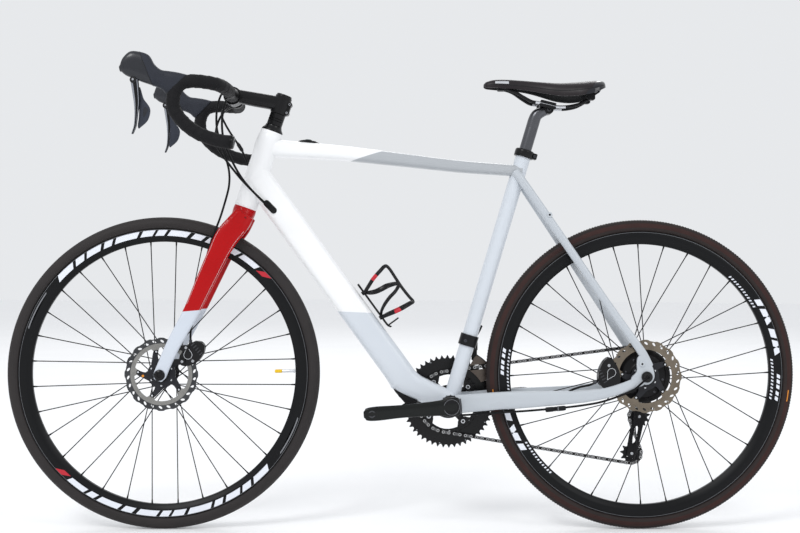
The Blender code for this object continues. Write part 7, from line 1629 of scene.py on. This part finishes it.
def lever(side, name, body):
    """The brake blade: superellipses down its length with a bright leading edge and a forward-curled tip."""
    s = through(LEVER, 8)
    path = np.stack([(s[:, 0] + s[:, 1]) / 2, 0 * s[:, 0] + side * 208.7, s[:, 2]], 1)
    rows = rounded(rings(path, Y, X, s[:, 3], (s[:, 1] - s[:, 0]) / 2, 48, 2.6), 1.8)
    cells = np.zeros((len(rows) - 1, 48), int)
    cells[:, 26:32] = cells[:, 18:20] = 1
    tube = lathe(HINGE + Y * (side * HOOD_Y - 9), Y, [(2.6, 0), (6.4, 0), (7, .7), (7, 17.3), (6.4, 18), (2.6, 18)],
                 36)
    piece(name, body, [(skin(rows), [gloss_black, lever_edge], cells), (tube, black_alloy)], [body])


def shift_paddle(side, name, body):
    """The gear paddle: a thin plate with a soft outline, a finger rib and its pivot barrel."""
    y = side * 204.0
    plate = slab(smooth_outline(PADDLE), y, y - side * 3.4)
    tube = knob((-556, side * HOOD_Y, 940), X, [(3.2, 0), (3.55, .4), (3.55, 9.9), (3.2, 10.4)], 24)
    rib = smooth_outline([(-538.5, 905), (-530, 899.5), (-530.8, 894), (-538.8, 880), (-540, 890)])
    parts = [(plate, paddle_grey), (slab(rib, y - side * 0.1, y + side * 0.45), nose_shell), (tube, black_alloy)]
    piece(name, body, parts, [body], bevel=0.7)


def bridge_loop(loop, axle, reach):
    """The part of a caliper's outline past the disc's edge: its far points joined by an arc round the axle."""
    loop = np.asarray(loop, float)
    beside = np.roll(loop, -1, 0)
    fine = np.stack([loop * (1 - t) + beside * t for t in np.linspace(0, 1, 8)[:-1]], 1).reshape(-1, 2)
    far = np.hypot(*(fine - axle[::2]).T) > reach
    start = int(np.argmax(far & ~np.roll(far, 1)))
    kept = np.roll(fine, -start, 0)[:int(np.argmin(np.roll(far, -start)))]
    a0, a1 = (math.atan2(*(p - axle[::2])[::-1]) for p in (kept[-1], kept[0]))
    a1 += 2 * math.pi * round((a0 - a1) / (2 * math.pi))
    arc = np.linspace(a0, a1, 12)[1:-1]
    return np.vstack([kept, polar(axle, reach, arc)])


def caliper_parts(loop, axle, low, high, disc, shift, tip_way):
    """Two halves either side of the disc, the bridge past its edge, a thin drop-shaped outline, fins and a screw."""
    soft = smooth_outline(loop)
    middle = soft.mean(0)
    parts = [(slab(soft, low, disc - 1.6), gloss_black), (slab(soft, disc + 1.6, high), gloss_black),
             (slab(bridge_loop(loop, axle, 82.6), disc - 2, disc + 2), satin_black)]
    tip_way = unit(tip_way)
    drop = np.radians(np.linspace(48, 312, 30))
    round_side = np.outer(np.cos(drop), tip_way) + np.outer(np.sin(drop), crosswise(tip_way))
    for size, look, rise in ((9.4, silver, 0.26), (8.5, gloss_black, 0.34)):
        outline = middle + shift + size * np.vstack([round_side, tip_way * 2.05])
        parts.append((slab(outline, low - rise, low + 0.3), look))
    way = unit(soft[np.argmax(np.hypot(*(soft - axle[::2]).T))] - middle)
    square = crosswise(way)
    fin_way = np.insert(way, 1, 0)
    for k in np.linspace(-0.52, 0.52, 5):
        x, z = middle + way * 15 + square * k * 26
        parts.append((brick(4.4, 1.1, 1, -0.9, 1.5, (x, low - 0.2, z), fin_way, Y, np.cross(fin_way, Y)), dark_alloy))
    x, z = middle - square * 13.64 - way * 9
    parts.append((hexagon_bolt((x, low + 0.5, z), -Y, 3.2, 1.4), bare_steel))
    return parts


def calipers():
    """The two calipers; the front one stands on two lugs on the fork, the rear one has the hose out of the stay."""
    parts = caliper_parts(FRONT_CALIPER, FRONT_AXLE, -52.5, -30, -41, (-8, -3), (-0.1, 1))
    for x, z in ((-490, 372), (-482, 402)):
        parts += [(brick(12.5, 5.3, 4, -4.8, 4.8, (x + 4, -53.2, z)), gloss_black),
                  (hexagon_bolt((x + 10.5, -57.6, z), -Y, 3, 1.6), bare_steel)]
    parts.append((knob((-463, -44, 405), Z, [(4.2, 0), (4.2, 7), (3.4, 9), (3.4, 13)], 20), dark_alloy))
    piece("front_caliper_skin", "steering", parts, ["front_brake_caliper"], bevel=0.6)
    parts = caliper_parts(REAR_CALIPER, REAR_AXLE, -69, -47, -58, (7, 1), (-0.5, -0.86))
    route = [(352, -54, 300), (364, -56.5, 311.5), (384, -59.5, 319.5), (405.7, -61.5, 324.5), (418, -62, 331),
             (428, -62, 340)]
    parts += [(sweep(smooth(route, 50), 2.45, 14), hose_black),
              (knob((413.5, -61.8, 328.2), unit((.8, 0, .6)), [(3.8, 0), (4.2, 1), (4.2, 7), (3.4, 8)], 20),
               dark_alloy)]
    piece("rear_caliper_skin", "frame", parts, ["rear_brake_caliper"], bevel=0.6)


REAR_BRAKE_HOSE = [
    (-385.4, 74, 940.1), (-388, 58, 937), (-396, 30, 927), (-403, -4, 912), (-411, -26, 885), (-412, -36.5, 850),
    (-401, -40, 826), (-384, -40.5, 803), (-358, -39.5, 770.6), (-328, -36.5, 739.5), (-304, -31.6, 716.5),
    (-295, -28.4, 708.5)]
FRONT_GEAR_HOUSING = [
    (-385.4, -74, 940.1), (-386.5, -62, 937), (-393, -54, 921), (-397, -50, 890), (-394.5, -47, 858),
    (-386, -45, 831), (-369, -43, 795), (-351, -40.5, 766.3), (-327, -36.8, 738.5), (-304.5, -31.6, 716),
    (-295, -28.4, 708)]
REAR_GEAR_HOUSING = [
    (-392.5, 74, 950), (-397, 55, 947), (-402, 28, 932), (-403.5, 0, 912), (-396, 5, 893), (-384, 16, 872),
    (-368, 30, 848), (-362, 34.5, 838), (-345, 39, 800), (-322, 37.5, 760), (-303, 32.5, 727), (-296, 29, 717)]
FRONT_BRAKE_HOSE = [
    (-391.4, -75, 950.2), (-399, -64, 945), (-407, -58, 918), (-407.5, -57, 880), (-399, -54, 845),
    (-389.1, -50, 815.8), (-381.5, -48, 785.8), (-381, -46.5, 758), (-386, -46, 732.5), (-399, -46, 688),
    (-411.5, -44, 655), (-424, -36.5, 622), (-432.5, -31, 590), (-440, -35.5, 545), (-450, -39.5, 500),
    (-458, -42.5, 462), (-463, -44, 436), (-463, -44, 411)]


def hoses():
    """Swept hoses from the bar into the frame with the gear line's inline barrel."""
    parts = [(sweep(smooth(route, 220), r, 14), hose_black)
             for route, r in ((REAR_BRAKE_HOSE, 2.45), (FRONT_GEAR_HOUSING, 2.45), (REAR_GEAR_HOUSING, 2.35))]
    start, end = np.array(REAR_GEAR_HOUSING[6:8], float)
    way = unit(end - start)
    length = np.linalg.norm(end - start) + 10
    profile = [(3, 0), (3.4, 3), (4.3, 4), (4.3, 6)]
    for h in 6.4 + 1.7 * np.arange(5):
        profile += [(4.3, h), (3.9, h + .4), (3.9, h + 1), (4.3, h + 1.4)]
    profile += [(4.3, length - 4), (3.2, length - 2), (3, length)]
    parts.append((knob(start - way * 7, way, profile, 28), black_alloy))
    lines = piece("control_lines", None, parts, ["control_hoses"])
    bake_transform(lines)
    line = smooth(FRONT_BRAKE_HOSE, 420)
    parts = [(sweep(line, 2.35, 14), hose_black)]
    for spot in (300, 352):
        way = unit(line[spot + 1] - line[spot - 1])
        parts.append((lathe(line[spot] - way * 3, way, [(2.3, 0), (3.4, 0), (3.4, 6), (2.3, 6)], 20), black_plastic))
    piece("front_brake_line", "steering", parts, ["front_brake_hose"])


def arch(station, drop, inset, thickness, low_rise, angles):
    """A crowned arch across the saddle: a sine to the side, falling as 1 less a cosine, raised to 1.6."""
    x, top, low, half = station
    share = min(1, (top - low) / 20)
    ceiling = top - (drop + thickness) * share
    fall = (ceiling - low - low_rise) * (1 - np.cos(angles)) ** 1.6
    return np.stack([0 * angles + x, (half - inset) * np.sin(angles), ceiling - fall], 1)


def saddle_rows(stations, drop, inset, thickness, wall, rise, count):
    """Layered sections: a crowned arch outside, the same arch drawn in by the thickness inside."""
    t = np.linspace(-1, 1, count) * math.pi / 2
    return np.array([np.vstack([arch(s, drop, inset, 0, rise, t),
                                arch(s, drop, inset + wall, thickness, rise, t)[::-1]])
                     for s in stations])


def saddle():
    """Padding over a shell: crowned arches whose sides turn down, a pressed channel along the crown, a nose insert,
    a tail patch and raised piping; rails, their sockets and the clamp."""
    count = 45
    stations = through(SADDLE, 8)
    rows = saddle_rows(stations, 0, 0, 9, 3, 0, count)
    x, y = rows[:, :count, 0], rows[:, :count, 1]
    rows[:, :count, 2] -= 1.6 * np.exp(-(y / 9) ** 2) * np.clip((x - 225) / 40, 0, 1) * np.clip((425 - x) / 30, 0, 1)
    middle = face_middles(rows)
    look = np.zeros(middle.shape[:2], int)
    share = np.abs(np.linspace(-1, 1, count))
    band = np.zeros(2 * count, bool)
    band[:count - 1] = (share[:-1] > 0.60) & (share[:-1] < 0.80)
    look[(middle[..., 0] > 201) & (middle[..., 0] < 229) & band] = 1
    look[middle[..., 0] > 386 + (middle[..., 2] - 950) * 0.9] = 2
    cover = [(skin(rows), [saddle_skin, silver, tail_blue], look)]
    for sign in (-1, 1):
        piping = np.array([arch(s, 0, 0, 0, 0, np.array([sign * 0.84 * math.pi / 2]))[0] for s in stations[10:-10]])
        cover.append((sweep(piping, 0.8, 8), seam_black))
    thing = piece("saddle_padding", "saddle", cover, ["saddle_cover"], sharp=50)
    shell = [(skin(saddle_rows(stations[16:-16], 10.02, 4.02, 2.4, 2.4, 0.8, 33)), black_plastic),
             (brick(8, 5.6, 2, -10, 10, (215, 0, 976)), black_plastic)]
    shell += [(brick(9, 14.5, 4, -7.3, 7.3, (409, sign * 31, 962)), black_plastic) for sign in (-1, 1)]
    piece("saddle_base", "saddle", shell, ["saddle_shell"], bevel=0.8)
    half = smooth(RAIL_ROUTE, 90)
    path = np.vstack([half, half[::-1][1:] * [1, -1, 1]])
    bare = np.repeat(((path[:-1, 0] > 288) & (path[:-1, 0] < 354)).astype(int), 18)
    rail = sweep(path, 3.45, 18)
    piece("saddle_rail", "saddle", [(rail, [satin_black, silver], bare)], ["saddle_rails"])
    way = unit((0.974, 0, -0.228))
    up = np.cross(Y, way)
    up = up if up[2] > 0 else -up
    middle = np.array([320, 0, 937.5])
    clamp = [(brick(17, 7.4, 3.5, -12, 12, middle - way * 3, way, Y, up), gloss_black)]
    for sign in (-1, 1):
        sides = (sign * 15, sign * 26.8)
        clamp += [(brick(18.5, 3.4, 2, *sides, middle - up * 4.0 - way * 4, way, Y, up), gloss_black),
                  (brick(17.5, 2.6, 2, *sides, middle + up * 4.4 - way * 4, way, Y, up), satin_black)]
    for sign in (-1, 1):
        bolt = middle + way * sign * 9.0 - up * 6.0
        clamp.append((rods([bolt - up * 0.5], [bolt + up * 15], [2.4], 14), dark_alloy))
    piece("saddle_clamp_skin", "saddle", clamp, ["saddle_clamp"], bevel=0.6)


def seatpost():
    """A round post whose bent neck, superellipses swept along a curve, leans back to the clamp's barrel."""
    head = np.array([320, 0, 929])
    post = [(13.6, 386), (13.6, 636), (13.2, 640)]
    s = through([(seat_at(638), 13.55, 13.55), (seat_at(646), 13.6, 13.6), (seat_at(655), 13.5, 13.5),
                 ((292.2, 0, 914.8), 13.2, 13), ((298.5, 0, 920.8), 12.8, 12.4), ((308, 0, 925.2), 12.5, 11),
                 ((319, 0, 928.6), 12.2, 9.2)], 8)
    ways = unit(np.gradient(s[:, :3], axis=0))
    parts = [(knob(BB, SEAT_WAY, post, 56), post_alloy),
             (skin(rings(s[:, :3], Y, np.cross(ways, Y), s[:, 3], s[:, 4], 56, 2.1)), post_alloy),
             (knob(head - Y * 15, Y, [(9.4, 0), (10, .6), (10, 29.4), (9.4, 30)], 44), gloss_black)]
    parts += [(hexagon_bolt(head + Y * sign * 14.4, sign * Y, 4.6, 1), dark_alloy) for sign in (-1, 1)]
    piece("seatpost_skin", "seatpost", parts, ["seatpost"])


fork()
headset()
stem()
handlebar()
for make, name, node in ((bar_tape, "tape", "bar_tape"), (hood, "hood", "hood"), (lever, "lever", "brake_lever"),
                         (shift_paddle, "paddle", "shift_paddle")):
    make(-1, name + "_near", node + "_left")
    make(1, name + "_far", node + "_right")
calipers()
hoses()
saddle()
seatpost()
